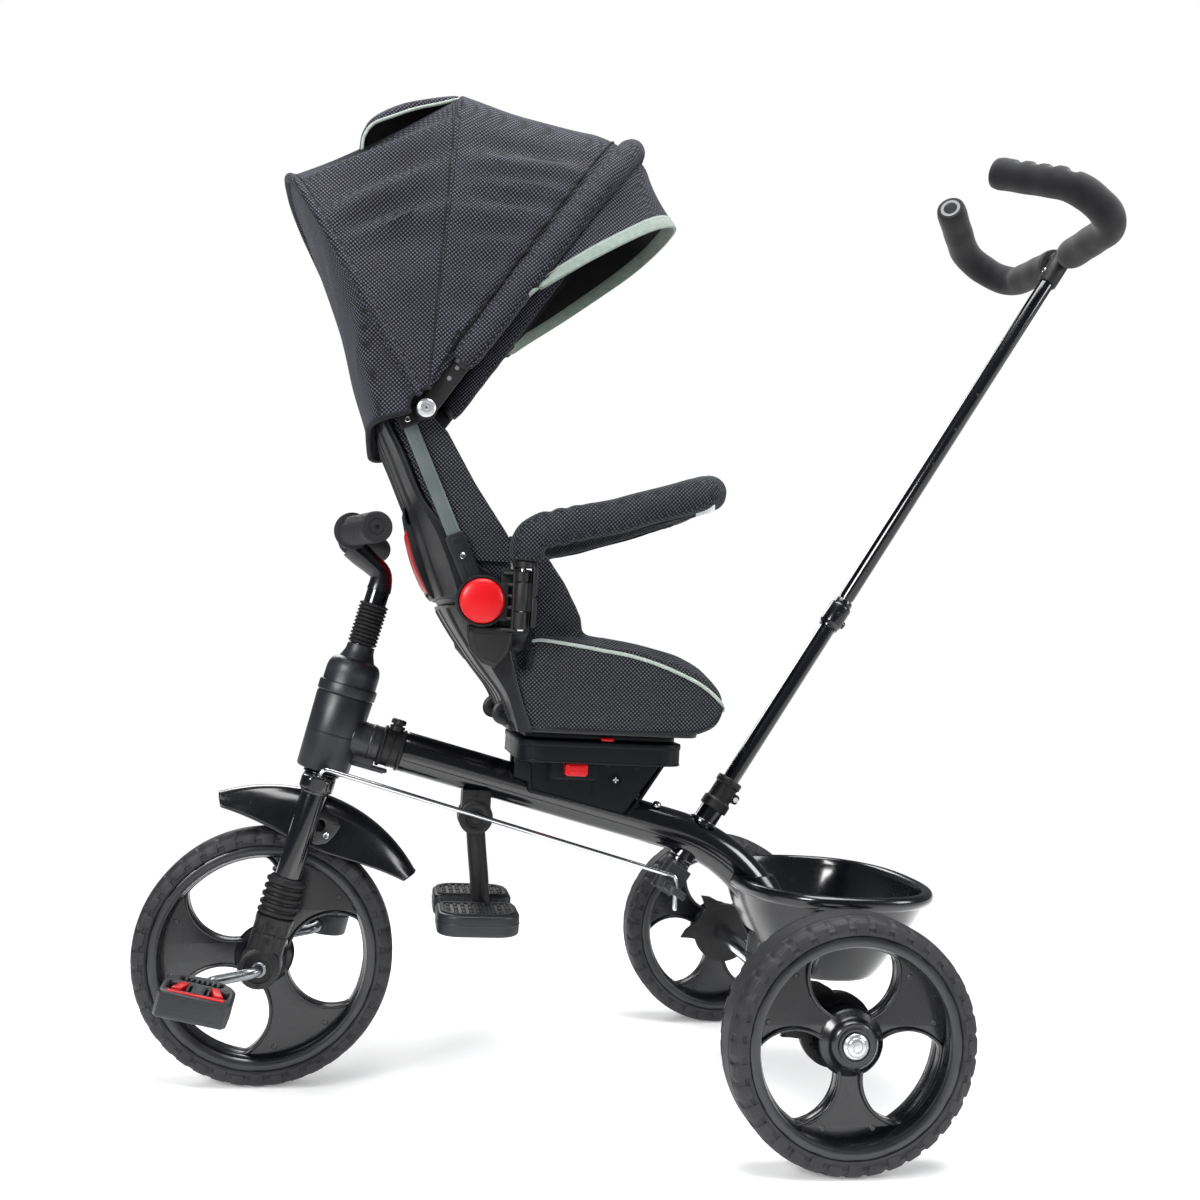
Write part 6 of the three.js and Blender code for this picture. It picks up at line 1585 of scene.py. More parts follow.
for s in (-1, 1):
    back.turned(s, [(0, 114), (10, 114), (10, 119), (18.4, 119), (19, 119.8), (19, 125.2), (18.2, 126),
                    (0, 126)], RECLINE, 64)
    place = beside_strut(s)
    back.slab(oblong(-9, 9, 8, 66, 3), 119, 126, place, edge=1.3)
    back.slab(oblong(-4.6, 4.6, 22, 62, 2), 126, 126.8, place, holes=[oblong(-3, 3, 24, 60, 1.5)], edge=0.3)
    back.screw(up_strut(0, 44, s * 126), Y * s, 2.9, 1, 1, 2)
piece("back_shell_moulding", back, [SHELL, CHROME, RECESS_SHADE], "backrest", ["back_shell"], smooth=42)

lever = Shape()
LEVER_FOOT, LEVER_TOP = 477.4, 537.6
rings = []
for z in levels(LEVER_FOOT, LEVER_TOP, 2.5):
    share = (z - LEVER_FOOT) / (LEVER_TOP - LEVER_FOOT)
    face, inner = housing_face(z) - 2, read_line(SHELL_LINE, z) - 3.7
    bulge = 0.9 * math.sin(math.pi * share)
    tuck = 2.2 * (1 - min(1, share / 0.09, (1 - share) / 0.09)) ** 2
    half = 29.8 - 1.6 * (1 - min(1, share / 0.08, (1 - share) / 0.08)) ** 2
    row = [at(face + tuck + 3 * abs(s) ** 9 - bulge * (1 - s * s), half * s, z)
           for s in np.linspace(-1, 1, 31)]
    rings.append(row + [at(inner, half, z), at(inner, -half, z)])
lever.rings(rings)
for z in (486, 492, 498):
    lever.tube([at(housing_face(z) - 2.4 + 2 * abs(s) ** 6, 22 * s, z) for s in np.linspace(-1, 1, 13)],
               0.8, 8, 0, "round")
piece("recline_lever_red", lever, [RED], "recline_lever", ["recline_lever"])

# ---- Struts, side arms and caps ----
for side, name in SIDES:
    strut = Shape()
    place = beside_strut(side)
    strut.slab(oblong(-6.5, 6.5, 34.5, STRUT_REACH - 11, 1.4), 120.6, 124.9, place, edge=1.1)
    for u in (-4.3, 4.3):
        strut.tube([up_strut(u, v, side * 124.9) for v in (68, STRUT_REACH - 13)], 0.5, 8, 0, "round")
    head = [(-8.4, STRUT_REACH - 12), (8.4, STRUT_REACH - 12), (9, STRUT_REACH - 2), (7, STRUT_REACH + 6),
            (-5, STRUT_REACH + 6.4), (-8.4, STRUT_REACH)]
    strut.slab(even_loop(head, 48), 120, 126, place, edge=1.3, paint=1)
    wing = at(CANOPY_X, 0, CANOPY_Z)
    pivot = upright_at(wing)
    foot = [up_strut(3, STRUT_REACH - 9, 0), up_strut(3, STRUT_REACH + 5, 0)]
    bracket = [(foot[0].x - CANOPY_X, foot[0].z - CANOPY_Z), (0, -9), (6.4, -6.4), (9, 0), (6.4, 6.4),
               (0, 9), (foot[1].x - CANOPY_X, foot[1].z - CANOPY_Z)]
    strut.plate(side, even_loop(bracket, 48), 120.2, 125.8, pivot, edge=1.1, paint=1)
    strut.turned(side, [(0, 124), (3, 124), (3, 136.9), (8.2, 136.9), (8.5, 137.5), (8.5, 138.6),
                        (7.6, 139.5), (5.2, 139.9), (4.6, 139.2), (2.4, 139.2), (1.9, 139.9), (0, 139.9)],
                 wing, 48, 2)
    strut.screw(wing + Y * (side * 139.3), Y * side, 2.2, 0.8, 3, 4)
    strut.screw(up_strut(0, STRUT_REACH - 5, side * 125.8), Y * side, 2.7, 0.9, 3, 4)
    piece(f"strut_{name}_bar", strut, [STRUT, MATT, CAP, CHROME, RECESS_SHADE], "backrest", [f"strut_{name}"])

    arm = Shape()
    arm.turned(side, [(19.6, 126.5), (22.6, 126.5), (23.5, 127.4), (23.5, 134), (22.9, 135), (21.2, 135),
                      (20.8, 130.4), (19.6, 130.2), (19.6, 126.5)], RECLINE, 96)
    arm.turned(side, [(0, 126.5), (20, 126.5), (20, 130.2), (0, 130.2)], RECLINE, 48)
    block_outline = even_loop([(169, 447), (170, 436), (173, 425), (184, 413), (197, 409), (208, 422),
                               (211, 434), (211, 447)], 72)
    arm.plate(side, block_outline, 116.4, 133.4, edge=5.5, steps=6)
    middle_x, middle_z = RECLINE_X + 9, 429
    smaller = [(middle_x + (u - middle_x) * 0.62, middle_z + (v - middle_z) * 0.62) for u, v in block_outline]
    arm.plate(side, smaller, 132, 134, edge=0.9)
    for k in range(6):
        z = 444.2 + 10.2 * k
        outline = [(200, 118 * side), (206, 116.8 * side), (212.4, 122 * side), (214, 133.4 * side),
                   (214, 140 * side), (208, 139 * side), (203.6, 134.6 * side), (199.6, 133 * side)]
        arm.slab(outline if side > 0 else outline[::-1], z - 1.5, z + 1.5, edge=0.7)
    arm.plate(side, oblong(198.4, 226, 441, 500, 2), 118.6, 120.6, edge=0.6)
    arm.plate(side, oblong(196, 204.4, 452, 486, 2), 126.6, 134.8, edge=0.9)
    hinge = at(HINGE_X, side * HINGE_Y, 0)
    for low, high in ((445, 460.4), (487.6, 497)):
        arm.lathe([(2.8, low), (6.3, low), (7, low + 0.8), (7, high - 0.8), (6.3, high), (2.8, high),
                   (2.8, low)], hinge, Z, 40)
    arm.slab(oblong(207.4, 211.4, *sorted((133.5 * side, 142 * side)), 1.2), 445.6, 496.6, edge=0.7)
    piece(f"side_arm_{name}_moulding", arm, [MATT], "seat", [f"side_arm_{name}"])

    cap = Shape()
    dome = [(0, 134.4), (19.6, 134.4), (20.1, 135), (20.2, 136), (20.1, 138), (19.5, 139.2), (17.9, 140.3),
            (15.6, 141.2), (11.4, 142.2), (6, 142.8), (0, 143)]
    cap.turned(side, dome, RECLINE, 96)
    piece(f"side_cap_{name}_red", cap, [RED], f"side_cap_{name}", [f"side_cap_{name}"])


# ---- Padded fabric ----
def puffed(name, node, body, room):
    """A pad blown up as cloth from its CAD solid. room(point), from 0 to 1, is how free it is to move."""
    shrink, furthest, frames = 2.0, 6, 20
    obj = moulded(name, node, CUSHION, body, voxel=4.5, rounds=3, most_triangles=10 ** 9)
    mesh = obj.data
    count = len(mesh.vertices)
    rest = np.empty(count * 3)
    mesh.vertices.foreach_get("co", rest)
    rest = rest.reshape(-1, 3)
    free = np.array([room(at((p[0] - AXLE_X) * 1000, p[1] * 1000, p[2] * 1000)) for p in rest])
    normals = np.empty(count * 3)
    mesh.vertices.foreach_get("normal", normals)
    start = rest - normals.reshape(-1, 3) * (shrink * MM) * free[:, None]
    mesh.vertices.foreach_set("co", start.ravel())
    cloth = obj.modifiers.new("air", "CLOTH")
    settings = cloth.settings
    settings.quality, settings.mass = 5, 0.3
    settings.tension_stiffness = settings.compression_stiffness = 12
    settings.shear_stiffness, settings.bending_stiffness = 4, 0.6
    settings.use_pressure, settings.uniform_pressure_force = True, 4.0
    settings.effector_weights.gravity = 0
    cloth.collision_settings.use_collision = False
    cloth.point_cache.frame_start, cloth.point_cache.frame_end = 1, frames
    for frame_number in range(1, frames + 1):
        bpy.context.scene.frame_set(frame_number)
    applied(obj)
    bpy.context.scene.frame_set(1)
    mesh = obj.data
    moved = np.empty(count * 3)
    mesh.vertices.foreach_get("co", moved)
    step = moved.reshape(-1, 3) - start
    length = np.linalg.norm(step, axis=1, keepdims=True)
    step *= np.minimum(1, furthest * MM / np.maximum(length, 1e-9))
    mesh.vertices.foreach_set("co", (start + step * free[:, None]).ravel())
    smooth = obj.modifiers.new("even", "SMOOTH")
    smooth.factor, smooth.iterations = 0.5, 4
    round_off = obj.modifiers.new("round", "SUBSURF")
    round_off.levels = round_off.render_levels = 1
    applied(obj)
    obj.data.shade_smooth()
    return obj


def surface_of(obj):
    """A function that takes a place to the nearest one on the piece, and so far out from its surface."""
    tree = BVHTree.FromPolygons([v.co for v in obj.data.vertices],
                                [tuple(p.vertices) for p in obj.data.polygons])

    def nearest(p, out):
        spot, normal, _, _ = tree.find_nearest(world(p))
        return at((spot.x - AXLE_X) * 1000, spot.y * 1000, spot.z * 1000) + normal * out
    return nearest


cushion = puffed("seat_cushion_padded", "seat_cushion", "seat",
                 lambda p: edged(p.x, 226, 250) * edged(p.z, 360, 384)
                 * (1 - 0.75 * edged(abs(p.y), 104, 114)))
on_cushion = surface_of(cushion)
side_line = [(224.5, 442), (246, 438.5), (268, 435), (294, 431), (319, 427.5), (345, 421), (370, 412),
             (392, 402), (410, 389)]
front_line = [(420, -100, 379), (425, -70, 378), (427, -35, 378), (428, 0, 378)]
route = [at(x, -115, z) for x, z in side_line] + [Vector(p) for p in front_line]
route += [mirror(p) for p in reversed(route[:-1])]
route = [on_cushion(p, 0.7) for p in resampled(smooth_line(route, 6), 5)]
trim = Shape().tube(resampled(eased(route, 3), 3), 1.7, 16, 0, "round")
piece("seat_cushion_piping", trim, [PIPING], "seat")
seams = Shape()
for y in (-58, 58):
    line = [on_cushion(at(x, y, 460), -0.5) for x in range(306, 412, 6)]
    seams.tube(line, 1.1, 10, 0, "round")
low_line = [(232, 357), (262, 356), (300, 356), (340, 356), (385, 358), (410, 366), (421, 380)]
low = resampled(smooth_line([on_cushion(at(x, -113, z), 0.1) for x, z in low_line], 5), 4)
for line in (low, [mirror(p) for p in low]):
    seams.tube(line, 1.0, 10, 0, "round")
piece("seat_cushion_seams", seams, [SEAM], "seat")


def pad_room(p):
    """The back pad is held at the shell, at its two sides, along its foot and along its top."""
    off_shell = p.x - read_line(SHELL_LINE, min(SHELL_TOP, max(SHELL_FOOT, p.z)))
    return (edged(off_shell, 8, 20) * (1 - 0.8 * edged(abs(p.y), 98, 110))
            * edged(p.z, 486, 496) * (1 - edged(p.z, SHELL_TOP, SHELL_TOP + 8)))


pad = puffed("back_pad_padded", "back_pad", "backrest", pad_room)
on_pad = surface_of(pad)
WING_LINE = [(340, 222), (500, 214), (531, 204), (576, 172), (622, 144), (648, 116)]


def wing_at(z):
    """The X of the pad's side edge at this height."""
    return float(np.interp(z, *zip(*WING_LINE)))


for s, name in SIDES:
    line = [on_pad(at(wing_at(z) + 2, s * 111.5, z), 0.5) for z in levels(492, 638, 6)]
    trim = Shape().tube(resampled(eased(line, 2), 3), 1.2, 14, 0, "round")
    piece(f"back_pad_piping_{name}", trim, [PIPING], "backrest")
seams = Shape()
for y in (-52, 52):
    seams.tube([on_pad(at(300, y, z), -0.5) for z in levels(505, 632, 6)], 1.1, 10, 0, "round")
for z in (548, 592):
    seams.tube([on_pad(at(300, y, z), -0.5) for y in levels(-90, 90, 6)], 1.0, 10, 0, "round")
piece("back_pad_seams", seams, [SEAM], "backrest")

for s, name in SIDES:
    cover = []
    foot, top, columns = 506, 641, 14
    for z in levels(foot, top, 5):
        back_edge = read_line(CORNER_LINE, min(z, SHELL_TOP)) + 9 + 6 * edged(z, top - 21, top)
        wing_edge = wing_at(z) - 1.5
        tuck = 9 * (1 - edged(z, foot, foot + 10))
        row = []
        for i in range(columns + 1):
            u = i / columns
            bulge = 1.1 * math.sin(math.pi * u) + 0.25 * math.sin(z / 7 + i / 2)
            row.append(at(back_edge + (wing_edge - back_edge) * u + tuck * (1 - u), s * (117.1 + bulge), z))
        cover.append(row)
    sides = piece(f"back_pad_side_{name}", cloth_shape(cover, 1.4, at(200, 0, 570)), [CUSHION, LINING],
                  "backrest", smooth=75)
    declare_cloth(cover)

# ---- Bumper bar ----
POST = 506
knots = [at(HINGE_X + 2, -HINGE_Y, POST - 2), at(HINGE_X + 4, -HINGE_Y, 532), at(300, -HINGE_Y + 4, 553),
         at(397, -HINGE_Y + 16, 586)]
line = resampled(round_corners(across_middle(knots), 50, 12), 2.5)
start = next(i for i, p in enumerate(line) if p.z > POST + 2.2)
sleeve_line = line[start:len(line) - start]


def crumpled(share, angle):
    """Pulled in at the ends, with creases where the sleeve turns."""
    near = min(share, 1 - share)
    crease = 0.055 * math.exp(-((near - 0.075) / 0.035) ** 2) * math.sin(share * 260 + 2 * math.cos(angle))
    turn = share * 210 + 1.5 * math.cos(angle + 1)
    crease += 0.03 * math.exp(-((near - 0.36) / 0.05) ** 2) * math.sin(turn)
    slack = 0.014 * math.sin(share * 61 + 2 * math.sin(angle))
    slack += 0.012 * math.sin(share * 23 + 3 * math.cos(angle))
    return 1 + crease + slack - 0.1 * math.exp(-(near / 0.006) ** 2)


sleeve = Shape().tube(sleeve_line, 16.2, 48, 0, "soft", swell=crumpled)
frames = transported(sleeve_line)
seam = []
for i, p in enumerate(sleeve_line):
    tangent = frames[i][0].cross(frames[i][1])
    down = (-Z + tangent * tangent.z).normalized()
    seam.append(p + down * (16.2 * crumpled(i / (len(sleeve_line) - 1), 0) + 0.2))
sleeve.tube(seam[6:-6], 0.9, 10, 1, "round")
middle = [p for p in seam if abs(p.y) < 70]
sleeve.tube(resampled(middle, 2.5), 1.5, 12, 3, "round", side=X, other=0.9)
sleeve = piece("bumper_sleeve_padded", sleeve, [SLEEVE, SEAM, LABEL, RECESS_SHADE], "bumper", ["bumper_sleeve"])
tag = Shape()
tag.slab(oblong(-9, 9, -7, 0, 1), -0.5, 0.5,
         lambda u, v, w: at(385 + u, -122 + w, 568.6 + u * 0.34 + v), edge=0.3)
piece("bumper_sleeve_tag", tag, [LABEL], "bumper")

bar = Shape().tube(line, 8, 24, 0, "soft")
for s in (-1, 1):
    hinge = at(HINGE_X, s * HINGE_Y, 0)
    low, high = sorted((132.2 * s, 147.8 * s))
    a, b = sorted((135.2 * s, 144.8 * s))
    for z0, z1 in ((447.2, 473.2), (475.4, 503.6)):
        bar.block(224.3, 228.9, low, high, z0, z1, edge=1)
        bar.block(228.4, 229.6, low + 2.6, high - 2.6, z0 + 3, z1 - 3, edge=0.5)
    bar.block(224.3, 227.6, low + 1, high - 1, 449, 502, edge=0.8)
    bar.lathe([(0, 500.4), (8.4, 500.4), (9, 501), (9, 505.4), (8.4, 506), (0, 506)], hinge + X * 2, Z, 40)
    bar.block(218, 228.6, low, high, 500.6, 505.9, edge=0.9)
    if s < 0:
        bar.lathe([(0, 461.2), (6.4, 461.2), (7, 462), (7, 486), (6.4, 486.8), (0, 486.8)], hinge, Z, 40)
        bar.block(219, 226, a, b, 461.4, 486.6, edge=0.8)
        bar.tube([hinge + Z * 445.2, hinge + Z * 501.6], 2.5, 20, 1, "soft")
        bar.lathe([(0, 443.6), (3.2, 443.6), (3.6, 444.2), (3.6, 445), (0, 445)], hinge, Z, 24, 1)
    else:
        bar.block(218.2, 226, a, b, 464.2, 483.8, edge=1)
piece("bumper_bar_frame", bar, [MATT, CHROME], "bumper", ["bumper_bar"])


# ---- Canopy ----
# Each hoop's angle from the pivots, and how far it reaches.
MIDDLE_ANGLE, MIDDLE_REACH = 86.5, 326
HOOP_ANGLE, HOOP_REACH = 56.4, 353
MIDDLE, HOOP, REAR_CORNER = (MIDDLE_ANGLE, MIDDLE_REACH), (HOOP_ANGLE, HOOP_REACH), (122, 268)
HOOP_PAD, HOOD_HALF = 11, 70


def canopy_normal(angle):
    """The way a hoop at this angle folds back."""
    return at(-math.sin(rad(angle)), 0, math.cos(rad(angle)))


def from_canopy(distance, y, angle, shift=0.0):
    c, s = math.cos(rad(angle)), math.sin(rad(angle))
    return at(CANOPY_X + distance * c - shift * s, y, CANOPY_Z + distance * s + shift * c)


def canopy_arch(angle, reach, half, shift=0.0, start=16, steps=84, power=2.9):
    """From the near pivot over the top to the far one, in a plane through both pivots."""
    edge = math.asin(min(1, (start / reach) ** (power / 2)))
    row = []
    for i in range(steps + 1):
        way = -1 + 2 * i / steps
        swing = edge + (math.pi / 2 - edge) * (1 - abs(way) ** 1.25)
        y = math.copysign(half * max(0.0, math.cos(swing)) ** (2 / power), way)
        row.append(from_canopy(reach * math.sin(swing) ** (2 / power), y, angle, shift))
    return row


def between(start, end, share):
    """The angle and the reach this share of the way along the straight line from one hoop to another."""
    (a, p), (b, q) = start, end
    x = p * math.cos(rad(a)) * (1 - share) + q * math.cos(rad(b)) * share
    z = p * math.sin(rad(a)) * (1 - share) + q * math.sin(rad(b)) * share
    return math.degrees(math.atan2(z, x)), math.hypot(x, z)


def ruck(v, at_near, at_far, u, width, high):
    """One fold across a panel: a crest with a hollow above it."""
    middle = at_near + (at_far - at_near) * u
    t = (v - middle) / width
    return high * (math.exp(-t * t) - 0.75 * math.exp(-((t - 1.7) / 1.3) ** 2))


def slack(grid, folds, sag, roof_sag, outward, phase):
    """Sags a panel between the hoops that hold it and adds its folds. Nothing moves at the hoops."""
    a, n = grid_normals(grid, outward)
    rows = len(grid)
    out = []
    for r, row in enumerate(grid):
        u = r / (rows - 1)
        hold = math.sin(math.pi * u) ** 0.7
        lengths = run_lengths(row)
        total = lengths[-1]
        moved = []
        for i in range(len(row)):
            near = min(lengths[i], total - lengths[i])
            far_side = lengths[i] > total / 2
            high = edged(near, 235, 305)
            deep = -(sag * (1 - high) * min(1, near / 90) + roof_sag * high) * math.sin(math.pi * u)
            v = near + (7 if far_side else 0)
            for at_near, at_far, width, size in folds:
                deep += ruck(v, at_near, at_far, u, width, size) * hold * (0.8 if far_side else 1)
            ripple = math.sin(lengths[i] / 17 + 2.4 * math.sin(u * 3 + phase))
            ripple *= 0.7 * math.sin(u * 7 + lengths[i] / 60 + phase)
            deep += ripple * hold * high
            moved.append(Vector(a[r, i] + n[r, i] * deep))
        out.append(moved)
    return out


def follow(line):
    return resampled(line, 2.4)


INSIDE = at(CANOPY_X, 0, CANOPY_Z + 90)
# The back panel's middle line: angle, reach and how square the arch is.
back_line = [(198, 55, 6), (190, 54, 6), (170, 61, 5), (148, 86, 4), (133, 128, 3.4), (125.5, 190, 3),
             (*REAR_CORNER, 2.9)]
knots = [np.array((r * math.cos(rad(a)), r * math.sin(rad(a)), power)) for a, r, power in back_line]
back_panel = [canopy_arch(math.degrees(math.atan2(z, x)) % 360, math.hypot(x, z), CANOPY_HALF - 4,
                          power=power) for x, z, power in spline([knots[0], *knots, knots[-1]], 7)]
roof = []
rows = 28
for k in range(rows + 1):
    share = k / rows
    angle, reach = between(REAR_CORNER, MIDDLE, share)
    roof.append(canopy_arch(angle, reach, CANOPY_HALF - 4 + 4 * share ** 2, shift=0.3 * share))
roof_folds = [(92, 112, 12, 4.6), (150, 168, 7, 8.4), (178, 214, 10, 7.6), (236, 262, 12, 5.4),
              (120, 132, 9, 4.4)]
roof = slack(roof, roof_folds, 5.4, 3.8, INSIDE, 0.4)
back_folds = [(60, 90, 12, 1.2), (110, 170, 16, 1.5), (150, 240, 18, 1.3)]
back_panel = slack(back_panel, back_folds, 2.4, 3.0, INSIDE, 1.7)
rear_grid = back_panel + roof[1:]
rows_before = len(back_panel) - 1


def under_hood(r, i):
    p = rear_grid[r][i]
    return r > rows_before + 5 and abs(p.y) < HOOD_HALF - 6


rear_fabric = piece("canopy_rear_fabric", cloth_shape(rear_grid, 2.0, INSIDE, dark=under_hood),
                    [CLOTH, LINING], None, smooth=75)

hood_crown = [(106, 276), (104.9, 289), (102.4, 302), (97.6, 312), (93, 319), (88.5, 324), (87.2, 325)]
crown = smooth_line([from_canopy(r, 0, a) for a, r in hood_crown], 5)


def hood_point(p, share, turned_down=0.0):
    """The crown's point, moved out to this share of the hood's width and lowered with the roof's crown."""
    d = at(p.x - CANOPY_X, 0, p.z - CANOPY_Z)
    rise = math.sin(math.pi * edged(p.x, 30, 150))
    lower = (1 - abs(share * HOOD_HALF / CANOPY_HALF) ** 2.9) ** (1 / 2.9)
    out = 2.6 * math.sin(math.pi * (share + 1) / 2) - 1.2 + 0.5 * math.sin(share * 9 + p.x / 9) - turned_down
    return at(CANOPY_X, share * HOOD_HALF, CANOPY_Z) + d * lower + d.normalized() * (out * rise)


hood_grid = [[hood_point(p, -1.012, 6.5), hood_point(p, -1.014, 3)]
             + [hood_point(p, -1 + 2 * i / 40) for i in range(41)]
             + [hood_point(p, 1.014, 3), hood_point(p, 1.012, 6.5)] for p in crown]
hood = piece("vent_hood_fabric", cloth_shape(hood_grid, 1.8, INSIDE), [CLOTH, LINING], None, smooth=75)

edges = Shape()
for column in (0, -1):
    edges.tube(follow([row[column] for row in hood_grid]), 1.5, 14, 0, "round")
hood_edge = piece("vent_hood_piping", edges, [PIPING], None)


def raised(grid, r, out):
    """One row of a canopy panel, so far above the cloth."""
    a, n = grid_normals(grid, INSIDE)
    return [Vector(p) for p in a[r] + n[r] * out]


seams = Shape()
seams.tube(follow(raised(rear_grid, 0, -1.0)), 2.5, 14, 0, "round")
seams.tube(follow(raised(rear_grid, rows_before, -1.6)), 4.6, 20, 1, "round")
seams.tube(follow(raised(rear_grid, rows_before + 1, 0.0)), 0.9, 10, 0, "round")
seams.tube(follow(raised(rear_grid, len(rear_grid) - 2, 0.0)), 0.9, 10, 0, "round")
for column in (0, -1):
    seams.tube(follow([row[column] for row in rear_grid]), 1.7, 12, 0, "round")
rear_seams = piece("canopy_rear_seams", seams, [SEAM, CLOTH], None)
declare_cloth(rear_grid)
declare_cloth(hood_grid)
middle_line = world(from_canopy(150, 0, MIDDLE_ANGLE))
for obj in (rear_fabric, hood, hood_edge, rear_seams):
    tuple(middle_line + canopy_normal(MIDDLE_ANGLE) * 0.14)
    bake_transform(obj)
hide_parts("canopy_rear")

front_grid = []
rows = 34
for k in range(rows + 1):
    share = k / rows
    angle, reach = between(MIDDLE, HOOP, share)
    shift = -0.3 + 12.5 * share ** 1.4 - 5.2 * max(0, share - 0.94) / 0.06
    tuck = 8.5 * edged(share, 0.78, 1) ** 1.6
    front_grid.append(canopy_arch(angle, reach - tuck, CANOPY_HALF - tuck, shift=shift))
front_folds = [(215, 258, 11, 7.2), (190, 232, 8, 5.8), (166, 196, 8, 7), (132, 160, 8, 6.4),
               (98, 118, 10, 4.8), (64, 78, 10, 3.2)]
front_grid = slack(front_grid, front_folds, 5.4, 3.8, INSIDE, 2.3)
front_fabric = piece("canopy_front_fabric", cloth_shape(front_grid, 2.0, INSIDE), [CLOTH, LINING], None,
                     smooth=75)
seams = Shape()
seams.tube(follow(raised(front_grid, len(front_grid) - 3, 0.1)), 1.2, 10, 0, "round")
for column in (0, -1):
    seams.tube(follow([row[column] for row in front_grid[1:-1]]), 1.6, 12, 0, "round")
front_seams = piece("canopy_front_seams", seams, [SEAM], None)
declare_cloth(front_grid)
half_way = (MIDDLE_ANGLE + HOOP_ANGLE) / 2
spot, along = world(from_canopy(300, 0, half_way)), canopy_normal(half_way) * 0.078
for obj in (front_fabric, front_seams):
    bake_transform(obj)
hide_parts("canopy_front")

# ---- Hoops, rivets and visor ----
wire_line = [from_canopy(5, -128.3, MIDDLE_ANGLE), from_canopy(22, -128.3, MIDDLE_ANGLE),
             from_canopy(40, -121, MIDDLE_ANGLE), from_canopy(150, -121, MIDDLE_ANGLE)]
arch_line = canopy_arch(MIDDLE_ANGLE, MIDDLE_REACH - 5.8, CANOPY_HALF - 10, start=178, steps=60)
leg = round_corners(wire_line + arch_line[:1], 14, 6)
wire = Shape().tube(resampled(leg + arch_line[1:-1] + [mirror(p) for p in reversed(leg)], 3), 2, 16, 0,
                    "round")
for s in (-1, 1):
    wire.turned(s, [(3.4, 126.4), (6.6, 126.4), (7, 126.9), (7, 129.8), (6.6, 130.2), (3.4, 130.2),
                    (3.4, 126.4)], from_canopy(0, 0, 0), 36)
piece("middle_hoop_wire", wire, [MATT], "canopy_middle", ["middle_hoop"], slot="anodised_aluminium")


def gathered(share, angle):
    """The pad's cover: pinched ends, small pulls along its seam and slack at its corners."""
    near = min(share, 1 - share)
    pull = 0.012 * math.sin(share * 190 + 1.2 * math.sin(angle))
    pull += 0.016 * math.sin(share * 47 + 2 * math.cos(angle))
    corner = 0.03 * math.exp(-((near - 0.27) / 0.04) ** 2) * math.sin(share * 300 + math.cos(angle))
    return 1.03 + pull + corner - 0.16 * math.exp(-(near / 0.008) ** 2)


plane = canopy_normal(HOOP_ANGLE)
hoop_arch = canopy_arch(HOOP_ANGLE, HOOP_REACH - HOOP_PAD + 5, CANOPY_HALF - HOOP_PAD, start=54, steps=110)
hoop_line = resampled(hoop_arch, 3)
hoop = Shape().tube(hoop_line, HOOP_PAD + 1.6, 40, 0, "soft", side=plane, swell=gathered)
hoop_cover = piece("front_hoop_padded", hoop, [CLOTH], "canopy_visor", ["front_hoop"], smooth=60)
stitches = Shape()
centre = at(CANOPY_X, 0, CANOPY_Z)
for turned in (28, 152):
    row = []
    for p in hoop_line:
        out = p - from_canopy(190, 0, HOOP_ANGLE)
        out = (out - plane * out.dot(plane)).normalized()
        row.append(p + plane * (12.2 * math.cos(rad(turned))) + out * (12.2 * math.sin(rad(turned))))
    stitches.tube(resampled(row[3:-3], 3), 0.9, 10, 0, "round")
piece("front_hoop_seams", stitches, [SEAM], "canopy_visor")


def on_hoop(u, v, w):
    """Places v up the front hoop's leg from the pivot, u across it and w along Y."""
    return from_canopy(v, w, HOOP_ANGLE, u)


fittings = Shape()
for s in (-1, 1):
    fittings.plate(s, oblong(-8.8, 8.8, 2, 60, 5), 130.8, 136.4, on_hoop, edge=1.4)
    fittings.turned(s, [(3.6, 130.8), (9.4, 130.8), (10, 131.4), (10, 135.8), (9.4, 136.4), (3.6, 136.4),
                        (3.6, 130.8)], centre, 40)
    for v in (34, 46):
        fittings.turned(s, [(0, 135.6), (2.1, 135.6), (2.1, 136.6), (1.6, 137), (0, 137)],
                        from_canopy(v, 0, HOOP_ANGLE), 20, 1)
    fittings.tube([from_canopy(50, s * 133, HOOP_ANGLE), from_canopy(66, s * 135, HOOP_ANGLE)], 8.6, 24, 0,
                  "soft")
piece("front_hoop_fittings", fittings, [MATT, GREY], "canopy_visor")

VISOR_FOOT, VISOR_TIP, VISOR_HALF = at(196, 0, 740), at(364, 0, 857), CANOPY_HALF - 7
VISOR_INSIDE = at(200, 0, 760)


def visor_edge(steps):
    way = VISOR_TIP - VISOR_FOOT
    row = []
    for i in range(steps + 1):
        swing = math.pi * i / steps
        q = math.sin(swing) ** (2 / 2.4)
        y = -math.copysign(VISOR_HALF * abs(math.cos(swing)) ** (2 / 2.4), math.cos(swing))
        row.append(VISOR_FOOT + way * q + at(0, y, 0))
    return row


